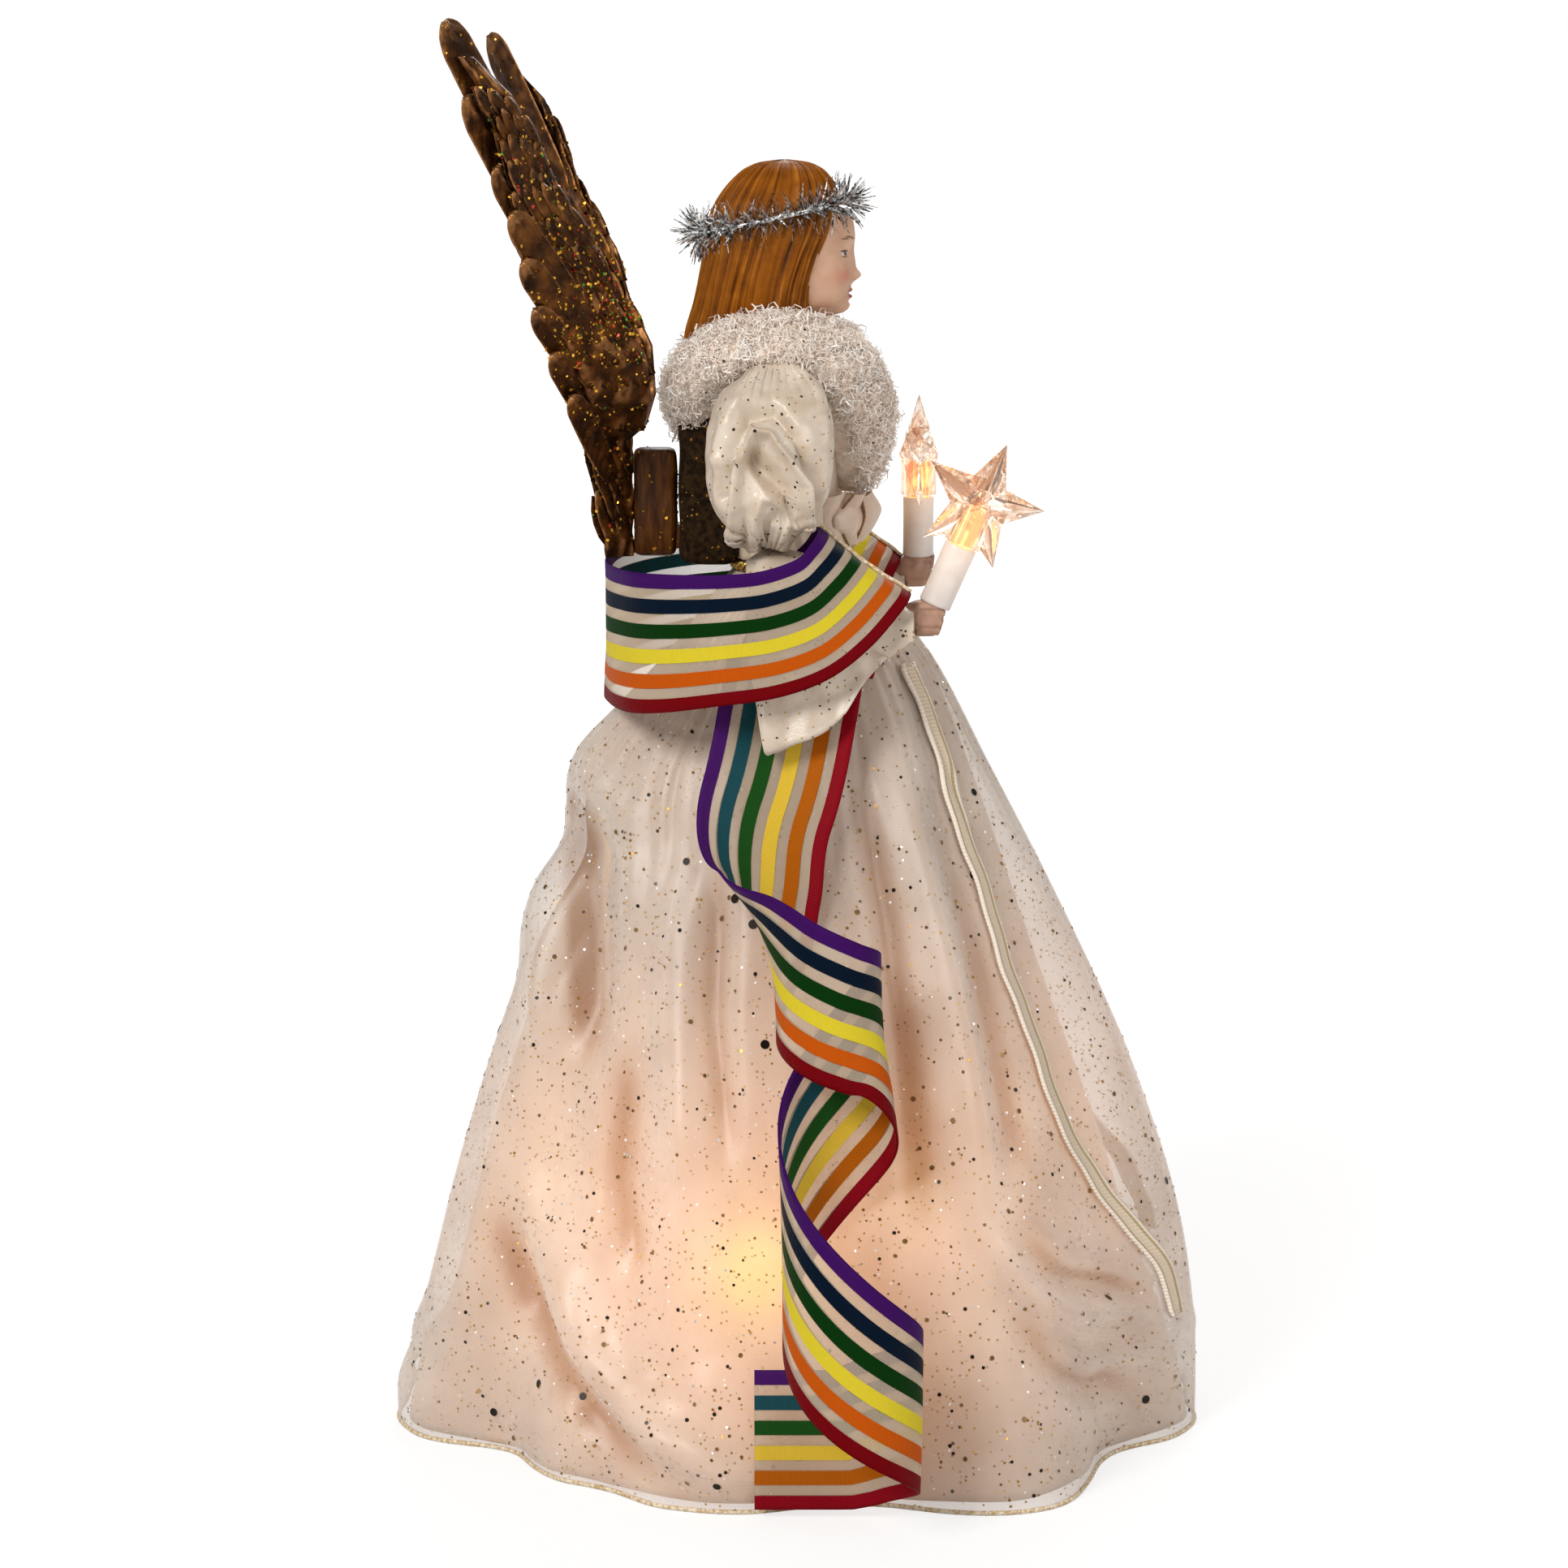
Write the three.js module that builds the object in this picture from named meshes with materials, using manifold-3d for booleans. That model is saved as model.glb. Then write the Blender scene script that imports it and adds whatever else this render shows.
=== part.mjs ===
// Angel tree topper: a lit figure on a hollow cone that sits on the tip of a Christmas tree.
// Millimetres, +Z up, +X the way the figure faces, +Y its left; the origin is on the floor under its middle.
import * as THREE from "three";
import { mergeVertices } from "three/addons/utils/BufferGeometryUtils.js";
import Module from "manifold-3d";

const wasm = await Module();
wasm.setup();

// Driving dimensions

// Clearances shared by all pieces
const fitGap = 0.3;
const cutOverrun = 2;
const mergeDistance = 1e-4;

// Support cone
const coneHeight = 150;
const coneTopRadius = 15;
const coneWall = 1.4;
const coneRimWidth = 4;
const coneRimHeight = 1.6;

// Lamp set
const lampRoom = 19.5;
const sideLampRoom = 10;
const lampHolderRadius = 3.4;
const lampHolderLength = 13;
const lampFlangeRadius = 4.6;
const lampFlangeThickness = 1.5;
const lampBoreRadius = 2.5;
const lampBoreDepth = 6;
const bulbRadius = 2.4;
const bulbLength = 15;
const bulbPinRadius = 1.9;
const bulbPinLength = 5;
const wireRadius = 1.1;
const grommetHeight = 12;
const grommetRadius = 4.2;
const grommetBoreRadius = 1.8;
const grommetThickness = 4.4;

// Torso form
const chestDepth = 11;
const chestWidth = 19;
const waistRadius = 12.5;
const waistRise = 38;
const waistHeight = coneHeight + waistRise;
const torsoHeight = 48;
const torsoTopHeight = waistHeight + torsoHeight;
const neckRadius = 5.2;

// Skirt
const skirtReach = 89.5;
const skirtSideReach = 80;
const clothThickness = 0.9;
const foldDepth = 6;
const liningInset = 12;
const liningHemHeight = 3.5;
const coneBaseRadius = Math.min(skirtReach - lampRoom, skirtSideReach - sideLampRoom) - liningInset;
const pipingWidth = 3;
const pipingThickness = 0.8;
const waistCordRadius = 1.1;

// Head and hair
const headHeight = 36;
const faceReach = 13.4;
const headWidth = 21.5;
const hairLift = 2;
const hairHeight = headHeight + hairLift;
const hairReach = 24;
const hairWidth = 28.4;
const hairLowRise = 2.8;
const hairLowHeight = torsoTopHeight + hairLowRise;

// Tinsel halo
const haloDepth = 16.2;
const haloSpan = 14.9;
const haloShare = 0.6737;
const haloHeight = hairLowHeight + hairHeight * haloShare;
const haloCentreX = -5.5;
const haloTilt = 12;
const haloCoreRadius = 0.8;
const tinselLength = 5.6;
const tinselStations = 120;

// Collar, sleeves, hands
const bodyCentreX = -5;
const collarCrestRise = 9.5;
const collarCrestHeight = torsoTopHeight + collarCrestRise;
const collarDrop = 40.5;
const collarReach = 27;
const collarSpan = 31;
const collarNeckRadius = 8.5;
const sleeveTopDrop = 3;
const sleeveTopHeight = torsoTopHeight - sleeveTopDrop;
const sleeveLength = 36.7;
const sleeveRadius = 13;
const armSpread = 32;
const cuffStartX = -11;
const cuffLength = 34.5;
const cuffTopHeight = sleeveTopHeight - sleeveLength - fitGap;
const cuffDrop = 42;
const cuffThickness = 6.6;
const ruffleWidth = 22;
const ruffleHeight = 12;
const ruffleDepth = 9.5;
const ruffleShare = 0.2354;
const ruffleCentreHeight = waistHeight + torsoHeight * ruffleShare;
const handRadius = 3.6;
const wristRadius = 2.2;
const wristLength = 9;
const handX = 27.6;
const wristDrop = 13.4;
const wristHeight = cuffTopHeight - wristDrop;
const rightHandDrop = 1.2;
const rightHandHeight = wristHeight - rightHandDrop;
const leftHandLift = 1.6;
const leftHandHeight = wristHeight + leftHandLift;

// Candles and stars
const candleRadius = 3.5;
const candleLength = 13.6;
const candleBoreRadius = 2.3;
const candleBoreDepth = 6;
const candleLean = 24;
const starRadius = 13.8;
const starNotchRadius = 6.3;
const starThickness = 9;
const starCollarRadius = 4;
const starBoreRadius = 2.9;
const starSeatDrop = 9.6;

// Wings
const wingRootRise = 3.2;
const wingRootHeight = waistHeight + wingRootRise;
const wingLength = 114.3;
const wingBackReach = 72.5;
const wingSpread = 60;
const wingThickness = 3;
const featherThickness = 1.7;
const hubBackX = -35.9;
const hubDepth = 9.6;
const hubWidth = 8;
const collarBackShare = 0.75;
const hubTopGap = 0.525;
const hubHeight = collarCrestHeight - collarDrop * collarBackShare - hubTopGap - wingRootHeight;
const pegHeight = 5.6;
const pegWidth = 6;
const pegLength = 17;
const pegLowRise = 1.5;
const pegLowHeight = wingRootHeight + pegLowRise;
const socketWall = 1.5;
const socketLength = 11;

// Stole ribbon
const ribbonWidth = 30;
const ribbonThickness = 0.5;
const bandReach = 42;
const bandSpan = 47;
const bandDrop = 5.5;
const bandDrape = 30;
const bandHeight = cuffTopHeight - bandDrop;
const curlRadius = 14;
const tailTopShare = 0.85564;
const tailTopHeight = bandHeight * tailTopShare;
const tailOffset = 98;

// Materials, in the colours of the photographed object
const material = (color, roughness, metalness = 0, extra = {}) =>
  new THREE.MeshStandardMaterial({ color, roughness, metalness, ...extra });
const cardboardWhite = material(0xf1ede4, 0.85);
const mouldedWhite = material(0xf4f0e8, 0.5);
const holderGreen = material(0x1f4a2a, 0.55);
const clearGlass = material(0xfff0d0, 0.08, 0, { emissive: 0xffb050, emissiveIntensity: 0.6 });
const clearPlastic = material(0xfaf6ee, 0.06, 0, { transparent: true, opacity: 0.45 });
const wireWhite = material(0xe9e6dd, 0.6);
const satinIvory = material(0xead9c8, 0.38);
const organzaIvory = material(0xe8d8c6, 0.55);
const pipingIvory = material(0xd9c8a8, 0.5);
const fleshPaint = material(0xd9ad90, 0.55);
const hairPaint = material(0x955414, 0.5);
const tinselSilver = material(0xb8bcc0, 0.25, 0.9);
const furOffWhite = material(0xdccfc3, 0.95);
const goldCord = material(0xb08a3a, 0.4, 0.6);
const wingBronze = material(0x4c2e14, 0.42, 0.35);
const ribbonStripes = material(0x5b2a6a, 0.6);

const angel = new THREE.Group();
const wings = new THREE.Group();
angel.add(wings);

// Solids

const vec = (x, y, z) => new THREE.Vector3(x, y, z);
const lerp = THREE.MathUtils.lerp;
const rad = THREE.MathUtils.degToRad;
const smooth = (t, from = 0, to = 1) => THREE.MathUtils.smoothstep(t, from, to);

function toSolid(geometry) {
  const merged = indexed(geometry);
  const index = merged.index.array;
  const faces = [];
  for (let i = 0; i < index.length; i += 3) {
    const [a, b, c] = [index[i], index[i + 1], index[i + 2]];
    if (a !== b && b !== c && c !== a) faces.push(a, b, c);
  }
  const made = new wasm.Manifold(
    new wasm.Mesh({
      numProp: 3,
      vertProperties: new Float32Array(merged.attributes.position.array),
      triVerts: new Uint32Array(faces),
    }),
  );
  return made;
}

function toGeometry(solid) {
  const mesh = solid.getMesh();
  const geometry = new THREE.BufferGeometry();
  geometry.setAttribute("position", new THREE.BufferAttribute(new Float32Array(mesh.vertProperties), 3));
  geometry.setIndex(new THREE.BufferAttribute(new Uint32Array(mesh.triVerts), 1));
  geometry.computeVertexNormals();
  return geometry;
}

const union = (solids) => solids.reduce((all, one) => all.add(one));

function add(name, solid, finish, parent = angel) {
  const geometry = solid.isBufferGeometry ? solid : toGeometry(solid);
  const mesh = new THREE.Mesh(geometry, finish);
  mesh.name = name;
  parent.add(mesh);
  return mesh;
}

// A closed solid through rings of points; every ring has as many points, in the same turning sense.
function loft(rings, closeOnItself = false) {
  const points = rings.flat();
  const size = rings[0].length;
  const faces = [];
  const spans = closeOnItself ? rings.length : rings.length - 1;
  for (let r = 0; r < spans; r++) {
    const here = r * size;
    const next = ((r + 1) % rings.length) * size;
    for (let i = 0; i < size; i++) {
      const j = (i + 1) % size;
      faces.push(here + i, here + j, next + j, here + i, next + j, next + i);
    }
  }
  if (!closeOnItself) {
    for (const [ring, flip] of [[0, true], [rings.length - 1, false]]) {
      const middle = points.length;
      const sum = rings[ring].reduce((total, p) => total.add(p), vec(0, 0, 0));
      points.push(sum.divideScalar(size));
      for (let i = 0; i < size; i++) {
        const a = ring * size + i;
        const b = ring * size + ((i + 1) % size);
        faces.push(...(flip ? [b, a, middle] : [a, b, middle]));
      }
    }
  }
  const geometry = new THREE.BufferGeometry().setFromPoints(points);
  geometry.setIndex(faces);
  return facingOut(geometry);
}

// Turns a closed geometry right side out where its rings ran the other way.
function facingOut(geometry) {
  const p = geometry.attributes.position;
  const index = geometry.index.array;
  const [a, b, c] = [vec(0, 0, 0), vec(0, 0, 0), vec(0, 0, 0)];
  let volume = 0;
  for (let i = 0; i < index.length; i += 3) {
    a.fromBufferAttribute(p, index[i]);
    b.fromBufferAttribute(p, index[i + 1]);
    c.fromBufferAttribute(p, index[i + 2]);
    volume += a.dot(b.cross(c));
  }
  if (volume < 0) {
    for (let i = 0; i < index.length; i += 3) [index[i + 1], index[i + 2]] = [index[i + 2], index[i + 1]];
  }
  geometry.computeVertexNormals();
  return geometry;
}

// A ring of points round the vertical axis, from a function of the turning angle.
function ringOf(count, place) {
  return Array.from({ length: count }, (_, i) => place((i / count) * Math.PI * 2, i));
}

// A sheet of cloth between a front and a back grid of points: a strip, or a tube where it runs round.
// Both faces are split along the same diagonals, so that it keeps its thickness where it twists.
function clothBetween(front, back, runsRound) {
  const rows = front.length;
  const size = front[0].length;
  const spans = runsRound ? size : size - 1;
  const at = (face, r, i) => (face * rows + r) * size + (i % size);
  const faces = [];
  const quad = (a, b, c, d) => faces.push(a, b, c, a, c, d);
  for (let r = 0; r < rows - 1; r++) {
    for (let i = 0; i < spans; i++) {
      quad(at(0, r, i), at(0, r, i + 1), at(0, r + 1, i + 1), at(0, r + 1, i));
      quad(at(1, r + 1, i + 1), at(1, r, i + 1), at(1, r, i), at(1, r + 1, i));
    }
    if (runsRound) continue;
    quad(at(0, r, 0), at(0, r + 1, 0), at(1, r + 1, 0), at(1, r, 0));
    quad(at(0, r + 1, spans), at(0, r, spans), at(1, r, spans), at(1, r + 1, spans));
  }
  for (let i = 0; i < spans; i++) {
    quad(at(0, 0, i + 1), at(0, 0, i), at(1, 0, i), at(1, 0, i + 1));
    quad(at(0, rows - 1, i), at(0, rows - 1, i + 1), at(1, rows - 1, i + 1), at(1, rows - 1, i));
  }
  const geometry = new THREE.BufferGeometry().setFromPoints([...front.flat(), ...back.flat()]);
  geometry.setIndex(faces);
  return facingOut(geometry);
}

// A solid of revolution about the local Z axis from [radius, height] pairs.
function turned(profile, segments) {
  const points = profile.map(([r, z]) => new THREE.Vector2(r, z));
  const geometry = new THREE.LatheGeometry(points, segments);
  geometry.rotateX(Math.PI / 2);
  const solid = toSolid(geometry);
  return solid.volume() < 0 ? toSolid(facingOut(indexed(geometry))) : solid;
}

// The same surface with its shared corners joined, so that only places are left.
function indexed(geometry) {
  const bare = geometry.clone();
  bare.deleteAttribute("normal");
  bare.deleteAttribute("uv");
  return mergeVertices(bare, mergeDistance);
}

// Moves a solid so that its local Z axis points along a direction from a place.
function placed(solid, place, direction) {
  const turn = new THREE.Quaternion().setFromUnitVectors(vec(0, 0, 1), direction.clone().normalize());
  const matrix = new THREE.Matrix4().compose(place, turn, vec(1, 1, 1));
  return solid.transform(matrix.toArray());
}

const mirrored = (solid) => solid.scale([1, -1, 1]);

// A value read off a list of [share, value] pairs, eased between them.
function along(pairs, share) {
  if (share <= pairs[0][0]) return pairs[0][1];
  for (let i = 1; i < pairs.length; i++) {
    const [from, low] = pairs[i - 1];
    const [to, high] = pairs[i];
    if (share <= to) return lerp(low, high, (share - from) / (to - from));
  }
  return pairs[pairs.length - 1][1];
}

// Support cone

// How far the cone's outer face is from its axis at a height.
const coneRadiusAt = (z) => lerp(coneBaseRadius, coneTopRadius, z / coneHeight);
const coneSlope = Math.atan2(coneBaseRadius - coneTopRadius, coneHeight);

// Each lamp: its name, the angle from the front on both sides of the figure, and the height of its
// hole as a share of the cone's.
const lampShares = [
  ["front", 22, 13 / 30],
  ["mid_front", 60, 0.36],
  ["mid_back", 100, 0.28],
  ["back", 146, 26 / 75],
];

function lampSeats() {
  const seats = [];
  for (const [side, turn, heightShare] of lampShares) {
    const height = heightShare * coneHeight;
    const radius = coneRadiusAt(height);
    for (const [hand, sign] of [["right", -1], ["left", 1]]) {
      const angle = rad(turn) * sign;
      seats.push({
        name: hand + "_" + side,
        place: vec(radius * Math.cos(angle), radius * Math.sin(angle), height),
        direction: vec(
          Math.cos(coneSlope) * Math.cos(angle),
          Math.cos(coneSlope) * Math.sin(angle),
          Math.sin(coneSlope),
        ),
      });
    }
  }
  return seats;
}

function cylinder(radius, from, to, segments) {
  return turned([[0, from], [radius, from], [radius, to], [0, to]], segments);
}

function makeSupportCone() {
  const wallAcross = coneWall / Math.cos(coneSlope);
  const innerTop = coneHeight - coneWall;
  let cone = turned(
    [
      [coneBaseRadius + coneRimWidth, 0],
      [coneBaseRadius + coneRimWidth, coneRimHeight],
      [coneRadiusAt(coneRimHeight), coneRimHeight],
      [coneTopRadius, coneHeight],
      [0, coneHeight],
      [0, innerTop],
      [coneRadiusAt(innerTop) - wallAcross, innerTop],
      [coneBaseRadius - wallAcross, 0],
      [coneBaseRadius + coneRimWidth, 0],
    ],
    40,
  );
  for (const seat of lampSeats()) {
    const reach = lampHolderRadius * 2;
    const hole = cylinder(lampHolderRadius + fitGap, -reach, reach, 12);
    cone = cone.subtract(placed(hole, seat.place, seat.direction));
  }
  const cordHole = cylinder(grommetRadius + fitGap, -cutOverrun - grommetRadius, grommetRadius, 16);
  return cone.subtract(placed(cordHole, grommetPlace(), grommetDirection));
}

const grommetPlace = () => vec(-coneRadiusAt(grommetHeight), 0, grommetHeight);
const grommetDirection = vec(-Math.cos(coneSlope), 0, Math.sin(coneSlope));

// The grommet: a rubber ring with a flange outside the wall.
function makeGrommet() {
  const half = grommetThickness / 2;
  const flange = grommetRadius + coneWall;
  const flangeFrom = coneWall + fitGap;
  const ring = turned(
    [
      [grommetBoreRadius, -half],
      [grommetRadius, -half],
      [grommetRadius, flangeFrom],
      [flange, flangeFrom],
      [flange, half + coneWall],
      [grommetBoreRadius, half + coneWall],
      [grommetBoreRadius, -half],
    ],
    16,
  );
  return placed(ring, grommetPlace(), grommetDirection);
}

// A lamp holder: its body goes through the wall, its flange stops outside, its bore takes the bulb.
function makeLampHolder(seat) {
  const tail = lampFlangeThickness + fitGap - lampHolderLength;
  const front = lampFlangeThickness + fitGap;
  const holder = turned(
    [
      [0, tail],
      [lampHolderRadius - coneWall, tail],
      [lampHolderRadius, tail + coneWall],
      [lampHolderRadius, fitGap],
      [lampFlangeRadius, fitGap],
      [lampFlangeRadius, front],
      [lampBoreRadius, front],
      [lampBoreRadius, front - lampBoreDepth],
      [0, front - lampBoreDepth],
    ],
    10,
  );
  return placed(holder, seat.place, seat.direction);
}

// A miniature bulb: a thin base in the holder, a straight glass body and a drawn tip.
function bulbBody(length) {
  return turned(
    [
      [0, -bulbPinLength],
      [bulbPinRadius, -bulbPinLength],
      [bulbPinRadius, 0],
      [bulbRadius, bulbPinRadius / 2],
      [bulbRadius, length * 0.6],
      [bulbRadius * 0.72, length * 0.8],
      [bulbRadius * 0.25, length * 0.93],
      [0, length],
    ],
    8,
  );
}

function makeLampBulb(seat) {
  const front = lampFlangeThickness + fitGap;
  const start = seat.place.clone().addScaledVector(seat.direction, front + fitGap);
  return placed(bulbBody(bulbLength - bulbPinLength), start, seat.direction);
}

function roundSection(radius, sides) {
  const corner = (i) => (i / sides) * Math.PI * 2;
  const points = Array.from({ length: sides }, (_, i) =>
    new THREE.Vector2(radius * Math.cos(corner(i)), radius * Math.sin(corner(i))),
  );
  return new THREE.Shape(points);
}

// The set's wire lies in an open ring inside the cone, behind the holders' tails.
function makeLightWire() {
  const ordered = lampSeats().sort(
    (a, b) => Math.atan2(a.place.y, a.place.x) - Math.atan2(b.place.y, b.place.x),
  );
  const back = lampHolderLength - lampFlangeThickness - fitGap;
  const route = ordered.map((seat) =>
    seat.place.clone().addScaledVector(seat.direction, -(back + fitGap + wireRadius)),
  );
  const curve = new THREE.CatmullRomCurve3(route, false, "centripetal");
  const geometry = new THREE.ExtrudeGeometry(roundSection(wireRadius, 6), {
    steps: 36,
    extrudePath: curve,
    bevelEnabled: false,
  });
  return toSolid(indexed(geometry));
}

add("support_cone", makeSupportCone(), cardboardWhite);
add("cord_grommet", makeGrommet(), wireWhite);
for (const seat of lampSeats()) {
  add("lamp_holder_" + seat.name, makeLampHolder(seat), holderGreen);
  add("lamp_bulb_" + seat.name, makeLampBulb(seat), clearGlass);
}
add("light_set_wire", makeLightWire(), wireWhite);

// Torso form

// Rings of the torso from the cone's top to the neck: height, half depth, half width and centre.
function torsoRings(extra) {
  const base = coneHeight + fitGap;
  const chest = lerp(waistHeight, torsoTopHeight, 0.62);
  const list = [
    [base, coneTopRadius, coneTopRadius, 0],
    [lerp(base, waistHeight, 0.5), waistRadius, waistRadius, 0],
    [waistHeight, waistRadius, waistRadius, 0],
    [lerp(waistHeight, chest, 0.3), chestDepth * 0.95, chestWidth * 0.66, bodyCentreX * 0.4],
    [chest, chestDepth, chestWidth * 0.93, bodyCentreX * 0.8],
    [lerp(chest, torsoTopHeight, 0.45), chestDepth * 0.92, chestWidth, bodyCentreX],
    [lerp(chest, torsoTopHeight, 0.75), chestDepth * 0.72, chestWidth * 0.62, bodyCentreX],
    [torsoTopHeight, neckRadius, neckRadius, bodyCentreX],
  ];
  return list.map(([z, depth, width, centre], i) =>
    ringOf(20, (a) =>
      vec(
        centre + (depth + extra) * Math.cos(a),
        (width + extra) * Math.sin(a),
        z + (i === list.length - 1 ? extra : 0) - (i === 0 ? extra : 0),
      ),
    ),
  );
}

const torsoSolid = (extra) => toSolid(loft(torsoRings(extra)));

// The peg on the wing hub and the socket in the back that takes it.
function box(from, to) {
  const size = to.clone().sub(from);
  const geometry = new THREE.BoxGeometry(size.x, size.y, size.z);
  geometry.translate(...from.clone().add(to).multiplyScalar(0.5).toArray());
  return toSolid(indexed(geometry));
}

function pegBox(extra, from, to) {
  return box(
    vec(from, -pegWidth / 2 - extra, pegLowHeight - extra),
    vec(to, pegWidth / 2 + extra, pegLowHeight + pegHeight + extra),
  );
}

const hubFrontX = hubBackX + hubDepth;
const pegEndX = hubFrontX + pegLength;
const socketBackX = pegEndX - socketLength;

function makeBackSocket() {
  const shell = pegBox(fitGap + socketWall, socketBackX, pegEndX + fitGap + socketWall);
  return shell.subtract(pegBox(fitGap, socketBackX - cutOverrun, pegEndX + fitGap));
}

const socketRoom = () =>
  pegBox(fitGap * 2 + socketWall, socketBackX - cutOverrun, pegEndX + fitGap * 2 + socketWall);

const makeTorso = () => torsoSolid(0).subtract(socketRoom());

// The satin bodice is glued round the torso, from above the waist cord to the neck.
const bodiceExtra = fitGap + clothThickness;
const bodiceRoom = () => torsoSolid(bodiceExtra + fitGap);

function makeBodice() {
  const low = waistHeight + (fitGap + waistCordRadius) * 2;
  const high = torsoTopHeight - neckRadius / 2;
  const reach = chestWidth * 2;
  const shell = torsoSolid(bodiceExtra).subtract(torsoSolid(fitGap)).subtract(socketRoom());
  const kept = box(vec(-reach, -reach, low), vec(reach, reach, high));
  return shell.intersect(kept);
}

add("torso_form", makeTorso(), mouldedWhite);
add("back_socket", makeBackSocket(), mouldedWhite);
add("satin_bodice", makeBodice(), satinIvory);

// Skirt

// Both layers of the skirt are gathered round the waist, each with its clearance.
const waistReach = waistRadius + (fitGap + clothThickness) * 2;
const waistFrontShare = waistReach / skirtReach;
const waistSideShare = waistReach / skirtSideReach;

// How far the skirt stands out at each share of its height: forwards, backwards and sideways.
const frontShares = [
  [0, 1], [0.11, 1], [0.23, 0.97], [0.43, 0.83], [0.65, 0.612], [0.77, 0.48], [0.9, 0.335],
  [1, waistFrontShare],
];
const backShares = [
  [0, 1], [0.05, 1], [0.1, 0.96], [0.22, 0.895], [0.28, 0.865], [0.415, 0.78], [0.55, 0.68],
  [0.7, 0.59], [0.75, 0.585], [0.79, 0.55], [0.84, 0.45], [0.9, 0.33], [1, waistFrontShare],
];
const sideShares = [
  [0, 1], [0.11, 0.985], [0.23, 0.93], [0.43, 0.79], [0.65, 0.59], [0.77, 0.47], [0.88, 0.32],
  [1, waistSideShare],
];

// The main folds, alike on both sides: angle from the front, half width, and depth as a share, out or in.
const folds = [
  { angle: 19, halfWidth: 13, depthShare: 0.6 },
  { angle: 36, halfWidth: 12, depthShare: -0.7 },
  { angle: 60, halfWidth: 20, depthShare: 1.9 },
  { angle: 84, halfWidth: 14, depthShare: -0.6 },
  { angle: 104, halfWidth: 13, depthShare: 0.35 },
  { angle: 122, halfWidth: 15, depthShare: -0.7 },
  { angle: 141, halfWidth: 17, depthShare: -1.6 },
  { angle: 161, halfWidth: 15, depthShare: 0.6 },
];

function foldAt(angle, share) {
  const degrees = Math.abs(THREE.MathUtils.radToDeg(Math.atan2(Math.sin(angle), Math.cos(angle))));
  const fade = (1 - share) * smooth(1 - share, 0, 0.35);
  let out = 0;
  for (const fold of folds) {
    const off = Math.abs(degrees - fold.angle) / fold.halfWidth;
    if (off < 1) out += fold.depthShare * Math.cos((off * Math.PI) / 2) ** 2;
  }
  return out * foldDepth * fade;
}

// A point of the skirt: the angle from the front, the share of its height, and the offset outwards.
function skirtPoint(angle, share, offset, foldShare = 1) {
  const ahead = along(Math.cos(angle) > 0 ? frontShares : backShares, share) * skirtReach;
  const aside = along(sideShares, share) * skirtSideReach;
  const out = offset + foldAt(angle, share) * foldShare;
  return vec((ahead + out) * Math.cos(angle), (aside + out) * Math.sin(angle), waistHeight * share);
}

function skirtShell(options) {
  const { sides, shares, lift, foldShare, insetAt, thickness } = options;
  const ring = (share, offset) =>
    ringOf(sides, (a) => {
      const p = skirtPoint(a, share, offset - insetAt(share), foldShare);
      p.z = Math.max(p.z, lift);
      return p;
    });
  const outer = shares.map((share) => ring(share, 0));
  const inner = shares.map((share) => ring(share, -thickness));
  return toSolid(clothBetween(outer, inner, true));
}

const overskirtShares = [0, 0.06, 0.14, 0.25, 0.37, 0.49, 0.61, 0.7, 0.78, 0.85, 0.92, 1];
const liningShares = [0, 0.14, 0.32, 0.52, 0.72, 0.85, 0.92, 1];

const overskirt = (extra) =>
  skirtShell({
    sides: 48,
    shares: overskirtShares,
    lift: 0,
    foldShare: 1,
    insetAt: () => -extra,
    thickness: clothThickness + extra * 2,
  });

// All that the overskirt holds, with its cloth, as one block.
const overskirtSpace = (extra) =>
  toSolid(loft(overskirtShares.map((share) => ringOf(48, (a) => skirtPoint(a, share, extra)))));

const makeLining = () =>
  skirtShell({
    sides: 34,
    shares: liningShares,
    lift: liningHemHeight,
    foldShare: 0.5,
    insetAt: (share) => clothThickness + fitGap + liningInset * smooth(1 - share, 0.04, 0.6),
    thickness: clothThickness,
  });

// A strip of cloth through rows of points across it, given its thickness about them.
function strip(rows, thickness) {
  const last = rows[0].length - 1;
  const normals = rows.map((row, r) =>
    row.map((point, i) => {
      const lengthwise = rows[Math.min(r + 1, rows.length - 1)][i]
        .clone()
        .sub(rows[Math.max(r - 1, 0)][i]);
      const crosswise = row[Math.min(i + 1, last)].clone().sub(row[Math.max(i - 1, 0)]);
      return lengthwise.cross(crosswise).normalize();
    }),
  );
  const face = (sign) =>
    rows.map((row, r) =>
      row.map((p, i) => p.clone().addScaledVector(normals[r][i], (sign * thickness) / 2)),
    );
  return toSolid(clothBetween(face(1), face(-1), false));
}

// The piping band runs down the overskirt from the cuff to the puckered front.
const pipingAngles = [
  [0.15, 24.4], [0.163, 24.4], [0.237, 28], [0.3, 34], [0.353, 39], [0.52, 44], [0.65, 43], [0.9, 37],
];

function makePiping() {
  const rows = [];
  const steps = 20;
  const low = pipingAngles[0][0];
  const high = pipingAngles[pipingAngles.length - 1][0];
  for (let i = 0; i <= steps; i++) {
    const share = lerp(high, low, i / steps);
    const angle = -rad(along(pipingAngles, share));
    const radius = Math.hypot(skirtPoint(angle, share, 0).x, skirtPoint(angle, share, 0).y);
    const half = pipingWidth / 2 / radius;
    const off = fitGap + pipingThickness / 2;
    rows.push([-half, 0, half].map((turn) => skirtPoint(angle + turn, share, off)));
  }
  return strip(rows, pipingThickness * 1.6).subtract(overskirt(fitGap));
}

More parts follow.
